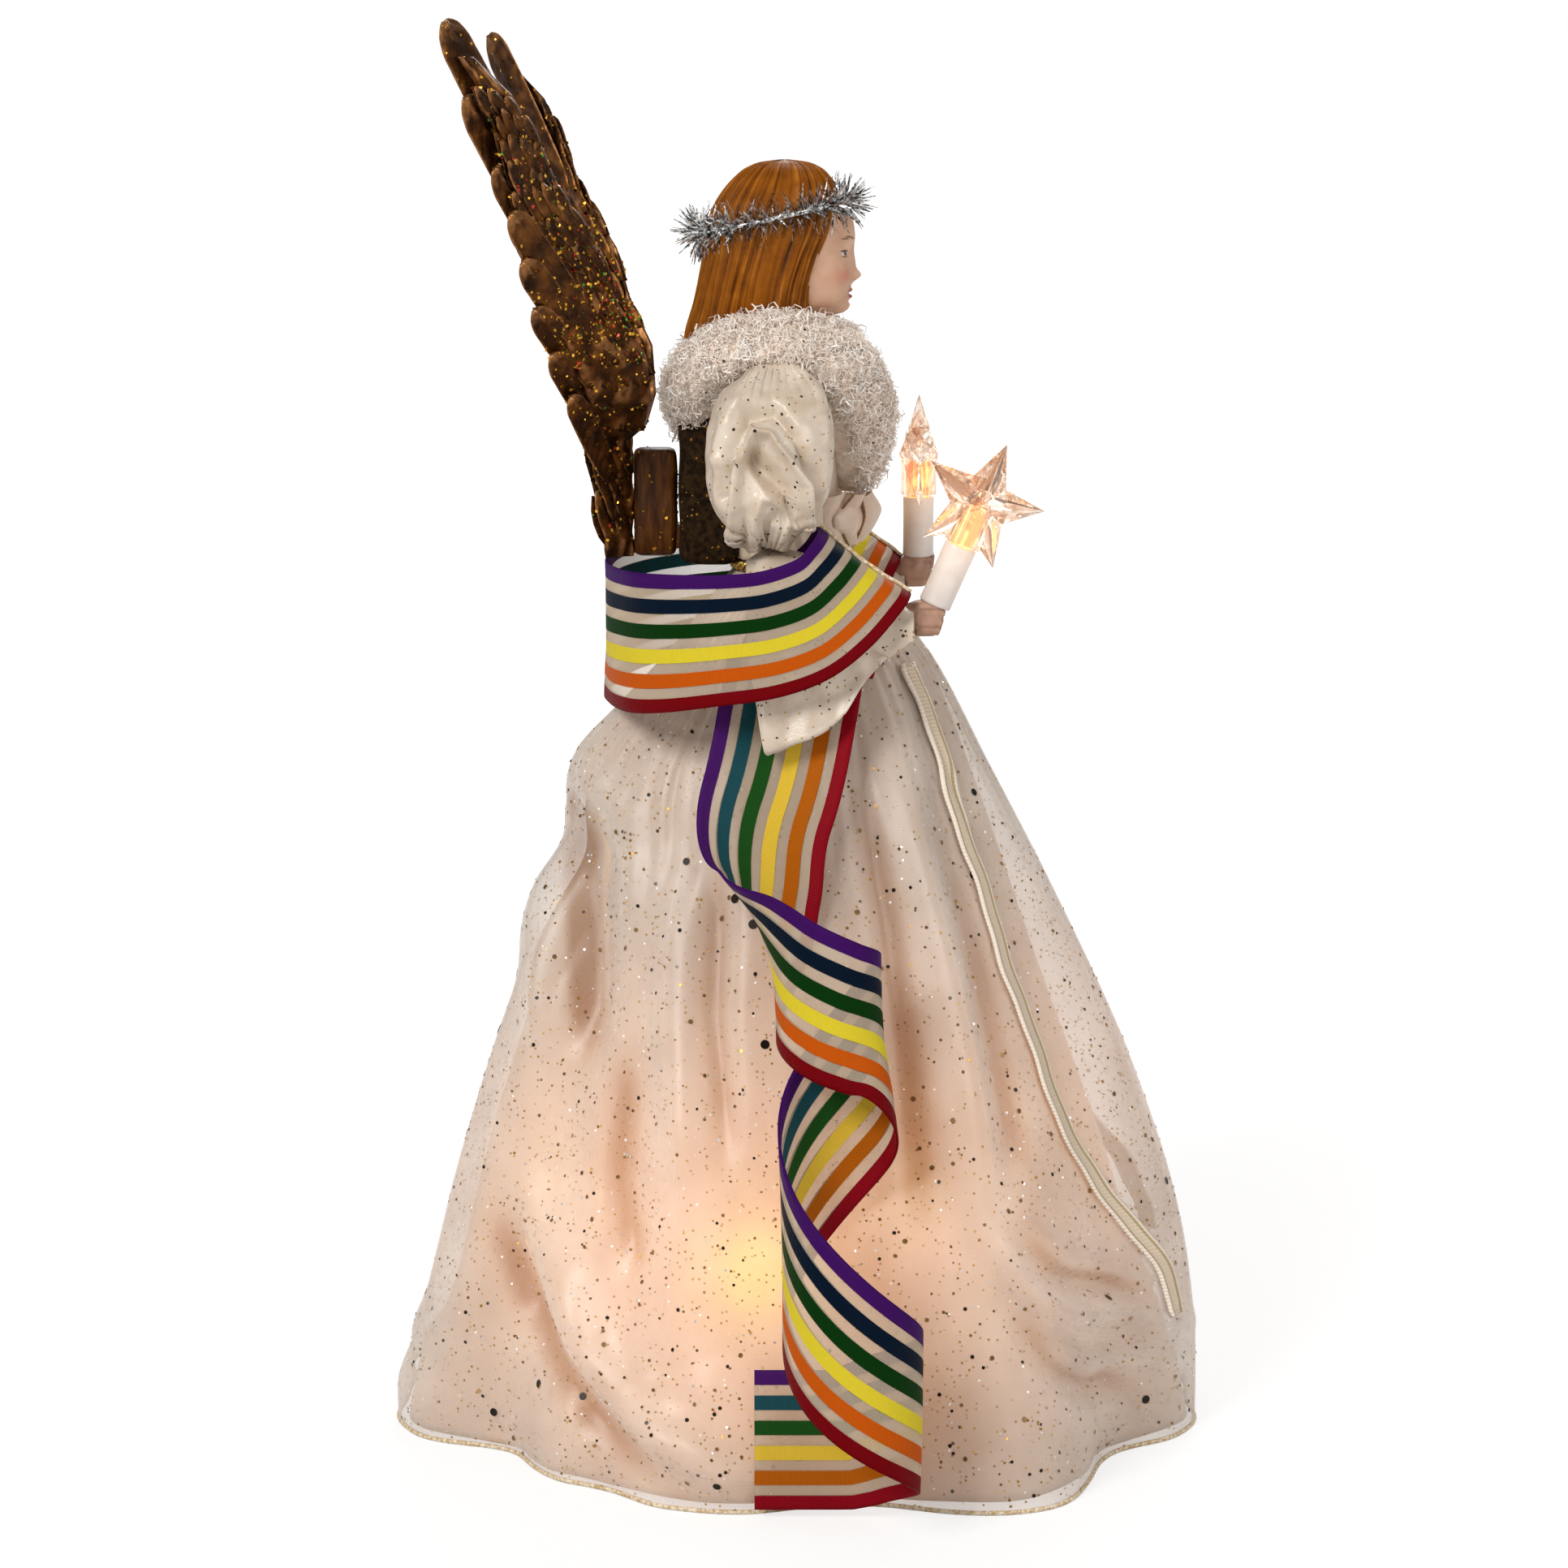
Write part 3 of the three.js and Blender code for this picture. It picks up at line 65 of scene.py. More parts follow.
def add_node(tree, kind, values=None, stops=(), **settings):
    """Adds a node with its settings, its colour stops, and the inputs that values sets or links."""
    made = tree.nodes.new(kind)
    for name, value in settings.items():
        setattr(made, name, value)
    for i, (position, shade) in enumerate(stops):
        if i >= len(made.color_ramp.elements):
            made.color_ramp.elements.new(position)
        made.color_ramp.elements[i].position = position
        made.color_ramp.elements[i].color = colour(shade)
    fill(tree, made, values or {})
    return made


def colour(text, alpha=1.0):
    """A linear colour from an sRGB hex value."""
    parts = [int(text[i:i + 2], 16) / 255 for i in (1, 3, 5)]
    linear = [c / 12.92 if c <= 0.04045 else ((c + 0.055) / 1.055) ** 2.4 for c in parts]
    return (*linear, alpha)


def shown(name, data):
    """A new object with this data, in the scene."""
    made = bpy.data.objects.new(name, data)
    bpy.context.scene.collection.objects.link(made)
    return made


def aim_at(made, place, aim):
    """Sets a camera or a lamp at a place and turns it to another."""
    made.location = place
    made.rotation_mode = "QUATERNION"
    made.rotation_quaternion = (Vector(aim) - Vector(place)).to_track_quat("-Z", "Y")


def place_camera():
    data = bpy.data.cameras.new("camera")
    data.lens = FOCAL_LENGTH
    data.sensor_width = SENSOR_WIDTH
    data.sensor_fit = "HORIZONTAL"
    data.clip_start = 0.05
    data.clip_end = 50.0
    camera = shown("camera", data)
    aim_at(camera, Vector(EYE) * MM, Vector(AIM) * MM)
    bpy.context.scene.camera = camera


def place_lamp(name, place, aim, size, power, tint):
    data = bpy.data.lights.new(name, "AREA")
    data.shape = "RECTANGLE"
    data.size, data.size_y = size
    data.energy = power
    data.color = tint
    aim_at(shown(name, data), place, aim)


def seen_directly(tree):
    """1 for camera and transmission rays, which see the background as white."""
    path = add_node(tree, "ShaderNodeLightPath")
    camera, through = (path.outputs[f"Is {kind} Ray"] for kind in ("Camera", "Transmission"))
    return add_node(tree, "ShaderNodeMath", {0: camera, 1: through}, operation="MAXIMUM")


def white_surroundings():
    world = bpy.data.worlds.new("surroundings")
    bpy.context.scene.world = world
    world.use_nodes = True
    tree = world.node_tree
    tree.nodes.clear()
    soft = add_node(tree, "ShaderNodeBackground", {"Color": colour("#f4f2ee"), "Strength": 0.42})
    white = add_node(tree, "ShaderNodeBackground", {"Color": (1, 1, 1, 1), "Strength": 1.0})
    mix = add_node(tree, "ShaderNodeMixShader", {0: seen_directly(tree), 1: soft, 2: white})
    add_node(tree, "ShaderNodeOutputWorld", {"Surface": mix})


def white_floor():
    mesh = bpy.data.meshes.new("floor")
    corners = [(x * FLOOR_REACH, y * FLOOR_REACH, 0) for x, y in ((-1, -1), (1, -1), (1, 1), (-1, 1))]
    mesh.from_pydata(corners, [], [(0, 1, 2, 3)])
    floor = shown("floor", mesh)
    material = bpy.data.materials.new("white floor")
    material.use_nodes = True
    tree = material.node_tree
    tree.nodes.clear()
    plain = add_node(tree, "ShaderNodeBsdfDiffuse", {"Color": (0.8, 0.8, 0.8, 1)})
    shaded = add_node(tree, "ShaderNodeBsdfDiffuse", {"Color": (0.34, 0.34, 0.34, 1)})
    away = add_node(tree, "ShaderNodeTexCoord").outputs["Object"]
    away = add_node(tree, "ShaderNodeVectorMath", {0: away}, operation="LENGTH").outputs["Value"]
    rise = {"Value": away, "From Min": 0.2, "From Max": 1.4, "To Min": 0.72, "To Max": 1.0}
    power = add_node(tree, "ShaderNodeMapRange", rise)
    glow = add_node(tree, "ShaderNodeEmission", {"Color": (1, 1, 1, 1), "Strength": power})
    both = add_node(tree, "ShaderNodeAddShader", {0: shaded, 1: glow})
    mix = add_node(tree, "ShaderNodeMixShader", {0: seen_directly(tree), 1: plain, 2: both})
    add_node(tree, "ShaderNodeOutputMaterial", {"Surface": mix})
    mesh.materials.append(material)


bpy.context.scene.view_settings.view_transform = "Standard"
place_camera()
white_surroundings()
white_floor()
place_lamp("key", (-0.9, -1.3, 1.2), (0, 0, 0.14), (0.6, 0.6), 21.0, (1.0, 0.985, 0.96))
place_lamp("fill", (1.2, -0.9, 0.7), (0, 0, 0.14), (0.9, 0.9), 5.5, (1.0, 0.99, 0.98))
place_lamp("rim", (0.2, 1.3, 1.1), (0, 0, 0.16), (0.9, 0.9), 12.0, (1.0, 0.99, 0.98))

# Support cone
# The figure stands on a hollow cone of white board that goes over the tip of the tree. It is rolled,
# glued and has a foot rim. A rubber grommet lines the hole where the mains lead leaves.


def per_mm(size):
    """The scale of a texture whose pattern is size millimetres across."""
    return 1 / (size * MM)


def per_wave(size):
    """The scale of a wave texture that has a wave every size millimetres."""
    return per_mm(size) / 20 * math.tau


def new_material(name):
    """A material, its node tree, its Principled shader, and the place of each point on the object."""
    material = bpy.data.materials.new(name)
    material.use_nodes = True
    tree = material.node_tree
    place = add_node(tree, "ShaderNodeTexCoord").outputs["Object"]
    return material, tree, tree.nodes["Principled BSDF"], place


def mottled(name, size, stops, finish, depth=0.0, strength=1.0, grain=None, **noise):
    """A material in soft patches of two tones, size millimetres across, with its finish. It is raised by
    depth millimetres, with the patches or with a finer noise of the size grain."""
    material, tree, shader, place = new_material(name)
    raised = add_node(tree, "ShaderNodeTexNoise", {"Vector": place, "Scale": per_mm(size), **noise})
    shade = add_node(tree, "ShaderNodeValToRGB", {"Fac": raised}, stops)
    fill(tree, shader, {"Base Color": shade, **finish})
    if grain:
        raised = add_node(tree, "ShaderNodeTexNoise", {"Vector": place, "Scale": per_mm(grain)})
    if depth:
        relief = {"Height": raised, "Distance": depth * MM, "Strength": strength}
        fill(tree, shader, {"Normal": add_node(tree, "ShaderNodeBump", relief)})
    return material


def dress(node_name, material):
    """Gives a CAD node that stays in view its material."""
    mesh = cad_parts[node_name].data
    mesh.materials.clear()
    mesh.materials.append(material)


# White-lined board: matt, with short paper fibres in its surface.
dress("support_cone", mottled(
    "white lined board", 1.2, [(0.3, "#ded8cc"), (0.7, "#f2eee6")], {"Roughness": 0.85}, 0.05,
    Detail=6.0, Roughness=0.7,
))
# Soft white vinyl: dull, with a fine dusty bloom.
vinyl = mottled("white vinyl", 2.0, [(0.35, "#cfcabd"), (0.7, "#e6e2d8")], {"Roughness": 0.55})
dress("cord_grommet", vinyl)

# Lamp set
# Eight miniature lamps stand in holes of the cone, each a clear glass bulb in a dark green moulded holder,
# and one white wire joins them. The lamps of the two candles are made with the candles.

LAMP_SIDES = ("front", "mid_front", "mid_back", "back")


def lit_glass():
    """A lit miniature bulb: smooth clear glass, with the uneven warm glow of the filament in it."""
    material, tree, shader, place = new_material("lit bulb glass")
    haze = add_node(tree, "ShaderNodeTexNoise", {"Vector": place, "Scale": per_mm(4.0)})
    warm = add_node(tree, "ShaderNodeValToRGB", {"Fac": haze}, [(0.2, "#ffb555"), (0.8, "#ffd184")])
    fill(tree, shader, {
        "Base Color": colour("#f3d7a6"), "Roughness": 0.06, "IOR": 1.5, "Transmission Weight": 0.35,
        "Emission Color": warm, "Emission Strength": 0.8,
    })
    return material


# Moulded polyethylene, dark green with a soft shine.
holder_plastic = mottled(
    "green moulded holder", 3.0, [(0.3, "#143a1f"), (0.75, "#1f5230")], {"Roughness": 0.45},
)
bulb_glass = lit_glass()
for side in LAMP_SIDES:
    for hand in ("right", "left"):
        dress(f"lamp_holder_{hand}_{side}", holder_plastic)
        dress(f"lamp_bulb_{hand}_{side}", bulb_glass)
dress("light_set_wire", vinyl)

# Torso form
# A moulded white plastic body joins the cone, the arms, the head and the wings. The socket for the
# wings' peg is set into its back.

# Injection-moulded polystyrene: slightly creamy, satin from the mould.
dress("torso_form", mottled(
    "white polystyrene", 6.0, [(0.3, "#ece8df"), (0.7, "#f6f3ec")], {"Roughness": 0.42}, 0.02, grain=0.8,
))

# Satin underskirt
# A bell of ivory satin hangs from the waist inside the organza and hides the cone. Its cloth is cut
# smaller than the organza, so its edge shows through at the front and back; the lamps glow through it.

WAIST_HEIGHT = 188.0
WAIST_REACH = 14.9
SKIRT_REACH = 89.5
SKIRT_SIDE_REACH = 80.0
CLOTH_THICKNESS = 0.9
FIT_GAP = 0.3
FOLD_DEPTH = 6.0
LINING_INSET = 12.0
LINING_HEM_HEIGHT = 1.6
# Shares of the skirt's height, and its reach there at the front, the back and the side, as shares of its full
# reach.
WAIST_FRONT_SHARE = WAIST_REACH / SKIRT_REACH
FRONT_SHARES = (
    (0, 1), (0.11, 1), (0.23, 0.97), (0.43, 0.83), (0.65, 0.612), (0.77, 0.48), (0.9, 0.335),
    (1, WAIST_FRONT_SHARE),
)
BACK_SHARES = (
    (0, 1), (0.05, 1), (0.1, 0.96), (0.22, 0.895), (0.28, 0.865), (0.415, 0.78), (0.55, 0.68),
    (0.7, 0.59), (0.75, 0.585), (0.79, 0.55), (0.84, 0.45), (0.9, 0.33), (1, WAIST_FRONT_SHARE),
)
SIDE_SHARES = (
    (0, 1), (0.11, 0.985), (0.23, 0.93), (0.43, 0.79), (0.65, 0.59), (0.77, 0.47), (0.88, 0.32),
    (1, WAIST_REACH / SKIRT_SIDE_REACH),
)
# The main folds on each side: angle from the front, half width in degrees, depth share, out or in.
FOLDS = (
    (19, 13, 0.6), (36, 12, -0.7), (60, 20, 1.9), (84, 14, -0.6), (104, 13, 0.35), (122, 15, -0.7),
    (141, 17, -1.6), (161, 15, 0.6),
)
# Creases and ridges seen from the side: points ahead and up, half width and height in millimetres.
STROKES = (
    (((-48.8, 133.6), (-47.0, 110.0), (-45.7, 84.4)), 4.4, -4.6),
    (((-58.0, 128.0), (-57.0, 108.0), (-54.0, 86.0)), 4.8, 3.5),
    (((-60.0, 62.0), (-53.7, 48.4), (-45.0, 30.0), (-34.1, 17.6), (-15.2, 9.8), (2.0, 8.0)), 5.3, 4.9),
    (((-66.0, 52.0), (-58.0, 34.0), (-44.0, 16.0), (-26.0, 5.0)), 4.4, -4.1),
    (((-44.0, 147.0), (-38.0, 140.0), (-36.0, 128.0), (-37.0, 112.0)), 3.5, 3.2),
    (((-52.0, 140.0), (-47.0, 136.0), (-44.0, 124.0)), 2.6, -2.6),
    (((18.6, 166.6), (29.9, 119.2), (35.8, 91.7), (40.1, 61.6)), 4.0, 4.1),
    (((24.0, 150.0), (37.0, 110.0), (44.0, 80.0), (47.0, 66.0)), 3.2, -3.2),
    (((12.0, 150.0), (19.0, 118.0), (23.0, 88.0), (26.0, 50.0)), 4.0, -3.2),
    (((40.0, 57.0), (46.0, 47.0), (55.0, 39.8), (66.0, 33.0), (76.2, 27.6), (86.9, 23.1)), 2.1, 4.1),
    (((46.0, 57.0), (54.0, 47.0), (64.0, 39.5), (76.0, 33.5)), 1.9, -3.5),
    (((52.0, 33.0), (62.0, 26.0), (72.0, 21.0), (84.0, 17.5)), 1.9, 3.0),
    (((44.0, 42.0), (52.0, 31.0), (62.0, 20.0), (74.0, 13.0)), 2.3, -3.0),
    (((3.0, 120.0), (6.0, 90.0), (9.0, 62.0)), 4.4, 2.6),
    (((-26.0, 128.0), (-27.0, 98.0), (-24.0, 62.0)), 4.4, 3.2),
    (((-36.0, 92.0), (-38.0, 64.0), (-34.0, 44.0)), 4.0, -3.2),
    (((-17.0, 132.0), (-18.0, 100.0), (-15.0, 70.0)), 3.5, -2.6),
)
# Angle from the front and height of each pair of lamps, and how strongly the cloth there shows it.
LAMPS = ((22, 65.0, 0.5), (60, 54.0, 0.65), (100, 42.0, 1.7), (146, 52.0, 0.7))
LAMP_STAND_OFF = 9.0
CONE_FOOT_RADIUS = 58.0
CONE_TOP_RADIUS = 15.0
CONE_HEIGHT = 150.0
CONE_SLOPE = math.atan2(CONE_FOOT_RADIUS - CONE_TOP_RADIUS, CONE_HEIGHT)


def smooth_step(low, high, value):
    t = np.clip((value - low) / (high - low), 0, 1)
    return t * t * (3 - 2 * t)


def eased(pairs, share):
    """Reads a list of (share, value) pairs along a smooth curve that passes through them."""
    xs, ys = np.array(pairs, float).T
    slopes = np.gradient(ys, xs)
    i = np.clip(np.searchsorted(xs, share, side="right") - 1, 0, len(xs) - 2)
    h = xs[i + 1] - xs[i]
    t = np.clip((share - xs[i]) / h, 0, 1)
    straight = ys[i] + (ys[i + 1] - ys[i]) * t
    curved = (
        (2 * t**3 - 3 * t**2 + 1) * ys[i] + (t**3 - 2 * t**2 + t) * h * slopes[i]
        + (-2 * t**3 + 3 * t**2) * ys[i + 1] + (t**3 - t**2) * h * slopes[i + 1]
    )
    return 0.3 * straight + 0.7 * curved


def main_folds(angle, share):
    degrees = np.abs(np.degrees(np.arctan2(np.sin(angle), np.cos(angle))))
    fade = (1 - share) * smooth_step(0, 0.35, 1 - share)
    out = np.zeros_like(degrees)
    for centre, half_width, depth in FOLDS:
        off = np.abs(degrees - centre) / half_width
        out += np.where(off < 1, depth * np.cos(np.minimum(off, 1) * math.pi / 2) ** 2, 0)
    return out * FOLD_DEPTH * fade


def skirt_places(angle, share, offset, fold_share=1.0):
    """Points of the skirt in millimetres, from the angle, the share of the height and an offset outwards."""
    share = np.clip(share, 0, 1)
    ahead = np.where(np.cos(angle) > 0, eased(FRONT_SHARES, share), eased(BACK_SHARES, share)) * SKIRT_REACH
    aside = eased(SIDE_SHARES, share) * SKIRT_SIDE_REACH
    out = offset + main_folds(angle, share) * fold_share
    x = (ahead + out) * np.cos(angle)
    y = (aside + out) * np.sin(angle)
    return np.stack([x, y, WAIST_HEIGHT * share + 0 * x], axis=-1)


def waves(seed, count, low, high):
    """A few sine waves round the skirt, each with its number of folds, phase, drift and weight."""
    draw = random.Random(seed)
    return [
        (draw.randint(low, high), draw.uniform(0, math.tau), draw.uniform(-1.6, 1.6), draw.uniform(0.5, 1.0))
        for _ in range(count)
    ]


def wave_sum(made, angle, share):
    total = sum(w * np.sin(n * angle + phase + drift * share * 2) for n, phase, drift, w in made)
    return total / math.sqrt(len(made))


def lamp_glow(points, reach):
    """How strongly the lamps behind the cloth light each point: falls off over reach, in millimetres."""
    total = np.zeros(points.shape[:-1])
    for angle, height, share in LAMPS:
        radius = CONE_FOOT_RADIUS - (CONE_FOOT_RADIUS - CONE_TOP_RADIUS) * height / CONE_HEIGHT
        radius += LAMP_STAND_OFF * math.cos(CONE_SLOPE)
        above = height + LAMP_STAND_OFF * math.sin(CONE_SLOPE)
        for turn in (-math.radians(angle), math.radians(angle)):
            lamp = np.array([radius * math.cos(turn), radius * math.sin(turn), above])
            total += share * np.exp(-((points - lamp) ** 2).sum(-1) / reach**2)
    return total


def mesh_piece(name, points, faces, materials, uvs=None, face_materials=None, smooth=True):
    """A mesh object from points in millimetres. uvs holds one place for each corner of each face."""
    mesh = bpy.data.meshes.new(name)
    mesh.from_pydata((np.asarray(points) * MM).tolist(), [], faces)
    for material in materials:
        mesh.materials.append(material)
    if face_materials is not None:
        mesh.polygons.foreach_set("material_index", face_materials)
    mesh.polygons.foreach_set("use_smooth", [smooth] * len(mesh.polygons))
    if uvs is not None:
        layer = mesh.uv_layers.new(name="UVMap")
        layer.data.foreach_set("uv", np.asarray(uvs, float).ravel())
    mesh.update()
    return shown(name, mesh)


def mark(made, name, values, domain="POINT"):
    """Keeps a number for each vertex or face, for the piece's material or its glitter to read."""
    layer = made.data.attributes.get(name) or made.data.attributes.new(name, "FLOAT", domain)
    layer.data.foreach_set("value", np.asarray(values, float).ravel())


def unit(vectors):
    return vectors / np.maximum(np.linalg.norm(vectors, axis=-1, keepdims=True), 1e-9)


def lengths(line):
    """How far along a line each of its points is."""
    return np.concatenate([[0], np.cumsum(np.linalg.norm(np.diff(line, axis=0), axis=1))])


def rings(columns, heights):
    """The angle and the height of every point of a body that is drawn ring by ring."""
    return np.meshgrid(np.arange(columns) / columns * math.tau, heights)


def grid_normals(grid, wraps):
    """Unit normals of a grid of points, rows by columns."""
    across = np.roll(grid, -1, 1) - np.roll(grid, 1, 1) if wraps else np.gradient(grid, axis=1)
    return unit(np.cross(across, np.gradient(grid, axis=0)))


def grid_faces(rows, columns, rows_wrap=False, columns_wrap=True):
    """Faces between the points of a grid, row by row. Where it wraps, its end is joined to its start."""
    steps = np.arange(rows if rows_wrap else rows - 1), np.arange(columns if columns_wrap else columns - 1)
    r, c = (part.ravel() for part in np.meshgrid(*steps, indexing="ij"))
    s, d = (r + 1) % rows, (c + 1) % columns
    return np.stack([r * columns + c, r * columns + d, s * columns + d, s * columns + c], 1)


def sheet_piece(name, grid, thickness, wraps, materials, across, along):
    """A sheet through a grid of points in millimetres, with a front, a back and closed edges. Its UV is
    across for each column and along for each row. The last of its materials is the back's."""
    rows, columns = grid.shape[:2]
    half = grid_normals(grid, wraps) * thickness / 2
    points = np.concatenate([(grid + half).reshape(-1, 3), (grid - half).reshape(-1, 3)])
    back = rows * columns
    front = grid_faces(rows, columns, columns_wrap=wraps)
    r, c = divmod(front[:, 0], columns)
    corners = np.stack([
        np.stack([across[c + right], along[r + up]], 1) for right, up in ((0, 0), (1, 0), (1, 1), (0, 1))
    ], 1)
    faces, uvs = [front, front[:, ::-1] + back], [corners, corners[:, ::-1]]
    at = np.arange(back).reshape(rows, columns)
    c = np.arange(columns if wraps else columns - 1)
    d = (c + 1) % columns
    rims = [(at[0, d], at[0, c]), (at[-1, c], at[-1, d])]
    if not wraps:
        rims += [(at[:-1, 0], at[1:, 0]), (at[1:, -1], at[:-1, -1])]
    for first, second in rims:
        faces.append(np.stack([first, second, second + back, first + back], 1))
        r, c = divmod(np.minimum(first, second), columns)
        uvs.append(np.repeat(np.stack([across[c], along[r]], 1)[:, None], 4, 1))
    faces = np.concatenate(faces)
    kinds = np.zeros(len(faces), int)
    kinds[len(front):2 * len(front)] = len(materials) - 1
    return mesh_piece(name, points, faces.tolist(), materials, np.concatenate(uvs).reshape(-1, 2), kinds)


def cloth_piece(name, grid, thickness, materials, values=None):
    """Cloth that goes round the figure, with its UV map to scale. Each of values has the grid's shape."""
    across = lengths(grid[len(grid) // 2])
    across = np.append(across, across[-1] + across[1]) * MM
    along = lengths(grid[:, grid.shape[1] // 2]) * MM
    made = sheet_piece(name, grid, thickness, True, materials, across, along)
    for key, value in (values or {}).items():
        mark(made, key, np.tile(np.ravel(value), 2))
    return made


def weave(tree, spacing_mm, depth_mm, strength):
    """Crossing threads on the piece's own UV map, as a bump."""
    threads = add_node(tree, "ShaderNodeUVMap", uv_map="UVMap")
    scale = per_wave(spacing_mm)
    warp = add_node(tree, "ShaderNodeTexWave", {"Vector": threads, "Scale": scale}, bands_direction="X")
    weft = add_node(tree, "ShaderNodeTexWave", {"Vector": threads, "Scale": scale}, bands_direction="Y")
    both = {0: warp.outputs["Fac"], 1: weft.outputs["Fac"]}
    crossed = add_node(tree, "ShaderNodeMath", both, operation="MULTIPLY")
    relief = {"Height": crossed, "Distance": depth_mm * MM, "Strength": strength}
    return add_node(tree, "ShaderNodeBump", relief)


def warm_from_behind(tree, shader, strength):
    """The lamps' light through the cloth: peach all round a lamp, yellow right in front of it."""
    spot = add_node(tree, "ShaderNodeAttribute", attribute_name="spot").outputs["Fac"]
    warm = add_node(tree, "ShaderNodeAttribute", attribute_name="warm").outputs["Fac"]
    peach, yellow = colour("#f0a56a"), colour("#ffd95a")
    shade = add_node(tree, "ShaderNodeMix", {0: spot, 6: peach, 7: yellow}, data_type="RGBA")
    both = add_node(tree, "ShaderNodeMath", {0: warm, 1: 0.55, 2: spot}, operation="MULTIPLY_ADD")
    power = add_node(tree, "ShaderNodeMath", {0: both, 1: strength}, operation="MULTIPLY")
    fill(tree, shader, {"Emission Color": shade, "Emission Strength": power})


def painted_fold_shade(tree, shade):
    """Painted shade in the folds: deep creases are darkened, and ridges are kept pale as a painted highlight.
    """
    crease = add_node(tree, "ShaderNodeAttribute", attribute_name="crease").outputs["Fac"]
    stops = [(0.12, "#d2baa8"), (0.4, "#fbf6f2"), (0.6, "#ffffff")]
    tone = add_node(tree, "ShaderNodeValToRGB", {"Fac": crease}, stops)
    ends = {0: 1.0, 6: shade, 7: tone}
    return add_node(tree, "ShaderNodeMix", ends, data_type="RGBA", blend_type="MULTIPLY")


def satin(name, light, dark, glows):
    """Polyester satin: long floats of thread give broad soft highlights along each fold."""
    material, tree, shader, place = new_material(name)
    slub = add_node(tree, "ShaderNodeTexNoise", {"Vector": place, "Scale": per_mm(14.0), "Detail": 4.0})
    shade = add_node(tree, "ShaderNodeValToRGB", {"Fac": slub}, [(0.3, dark), (0.72, light)])
    if glows:
        # Painted shade: away from the lamps the cloth is darkened to the hollow's dark, and its creases get
        # painted shade too.
        lit = add_node(tree, "ShaderNodeAttribute", attribute_name="warm").outputs["Fac"]
        fading = {"Value": lit, "From Max": 0.5, "To Min": 0.36, "To Max": 0.0}
        unlit = add_node(tree, "ShaderNodeMapRange", fading)
        ends = {0: unlit, 6: shade, 7: colour("#b18d70")}
        shade = painted_fold_shade(tree, add_node(tree, "ShaderNodeMix", ends, data_type="RGBA"))
    # Real floats are 0.15 mm apart, drawn at 0.7 mm so that they show.
    fill(tree, shader, {
        "Base Color": shade, "Roughness": 0.34, "Sheen Weight": 0.2, "Sheen Roughness": 0.35,
        "Specular IOR Level": 0.7, "Normal": weave(tree, 0.7, 0.03, 0.5),
    })
    if glows:
        warm_from_behind(tree, shader, 0.3)
    return material


def line_heights(grid, lines, fades):
    """How far ridges (up) and grooves (down) drawn as lines seen from the side move each point out, alike
    on both sides of the figure. fades lets them die away towards their ends."""
    at = grid[..., [0, 2]]
    total = np.zeros(at.shape[:-1])
    for line, half_width, height in lines:
        line = np.array(line)
        nearest = np.full(at.shape[:-1], 1e9)
        along = np.zeros(at.shape[:-1])
        for k, (start, end) in enumerate(zip(line[:-1], line[1:])):
            run = end - start
            t = np.clip(((at - start) @ run) / (run @ run), 0, 1)
            gap = np.linalg.norm(at - start - t[..., None] * run, axis=-1)
            along = np.where(gap < nearest, (k + t) / (len(line) - 1), along)
            nearest = np.minimum(nearest, gap)
        ends = smooth_step(-0.1, 0.25, along) * smooth_step(-0.1, 0.25, 1 - along) if fades else 1
        total += height * ends * np.exp(-((nearest / half_width) ** 2))
    return total


def crease_shares(grid):
    """0 at the bottom of the deepest crease, 0.5 on the even cloth and 1 on the highest ridge."""
    return np.clip(0.5 + line_heights(grid, STROKES, True) / 9.0, 0, 1)


def make_underskirt():
    angle, share = rings(360, np.linspace(LINING_HEM_HEIGHT / WAIST_HEIGHT, 1.0, 90))
    flare = np.maximum(0.93 * smooth_step(0, 0.2, 0.2 - share), 0.6 * smooth_step(0.1, 0.7, -np.cos(angle)))
    inset = CLOTH_THICKNESS + FIT_GAP + LINING_INSET * smooth_step(0.04, 0.6, 1 - share) * (1 - flare)
    hang = wave_sum(waves(11, 5, 9, 26), angle, share) * 1.1 * smooth_step(0, 0.5, 1 - share)
    gathers = wave_sum(waves(12, 3, 38, 60), angle, share) * 0.35 * smooth_step(0.5, 0.95, share)
    out = -inset + hang - 0.6 + gathers - 0.3 * share
    creases = 0.85 * line_heights(skirt_places(angle, share, out), STROKES, True)
    grid = skirt_places(angle, share, out + creases, 0.8)
    values = {"warm": lamp_glow(grid, 40.0), "spot": lamp_glow(grid, 11.0), "crease": crease_shares(grid)}
    lit_satin = satin("lit satin", "#f4dfcd", "#dfc5af", True)
    made = cloth_piece("satin_lining", grid, 0.35, [lit_satin], values)
    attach(made, "figure")
    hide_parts("satin_underskirt")


make_underskirt()

# Organza overskirt
# Sheer ivory organza with fine gold glitter, gathered into the waist and hemmed with a narrow roll that
# carries a gold edge. Towards the hem at the front it is drawn up in puckers where the piping ends.

OVERSKIRT_COLUMNS = 370
OVERSKIRT_ROWS = 130
OVERSKIRT_INSET = 1.0


def overskirt_places(angle, share, offset=0.0):
    """The organza's own surface, with its gathers, soft waves, creases and puckers."""
    out = line_heights(skirt_places(angle, share, 0.0), STROKES, True)
    out = out + wave_sum(waves(21, 4, 44, 74), angle, share) * 0.5 * smooth_step(0.52, 0.96, share)
    out = out + wave_sum(waves(22, 6, 13, 31), angle, share) * 0.5 * smooth_step(0.02, 0.5, 1 - share)
    return skirt_places(angle, share, out + offset - OVERSKIRT_INSET)


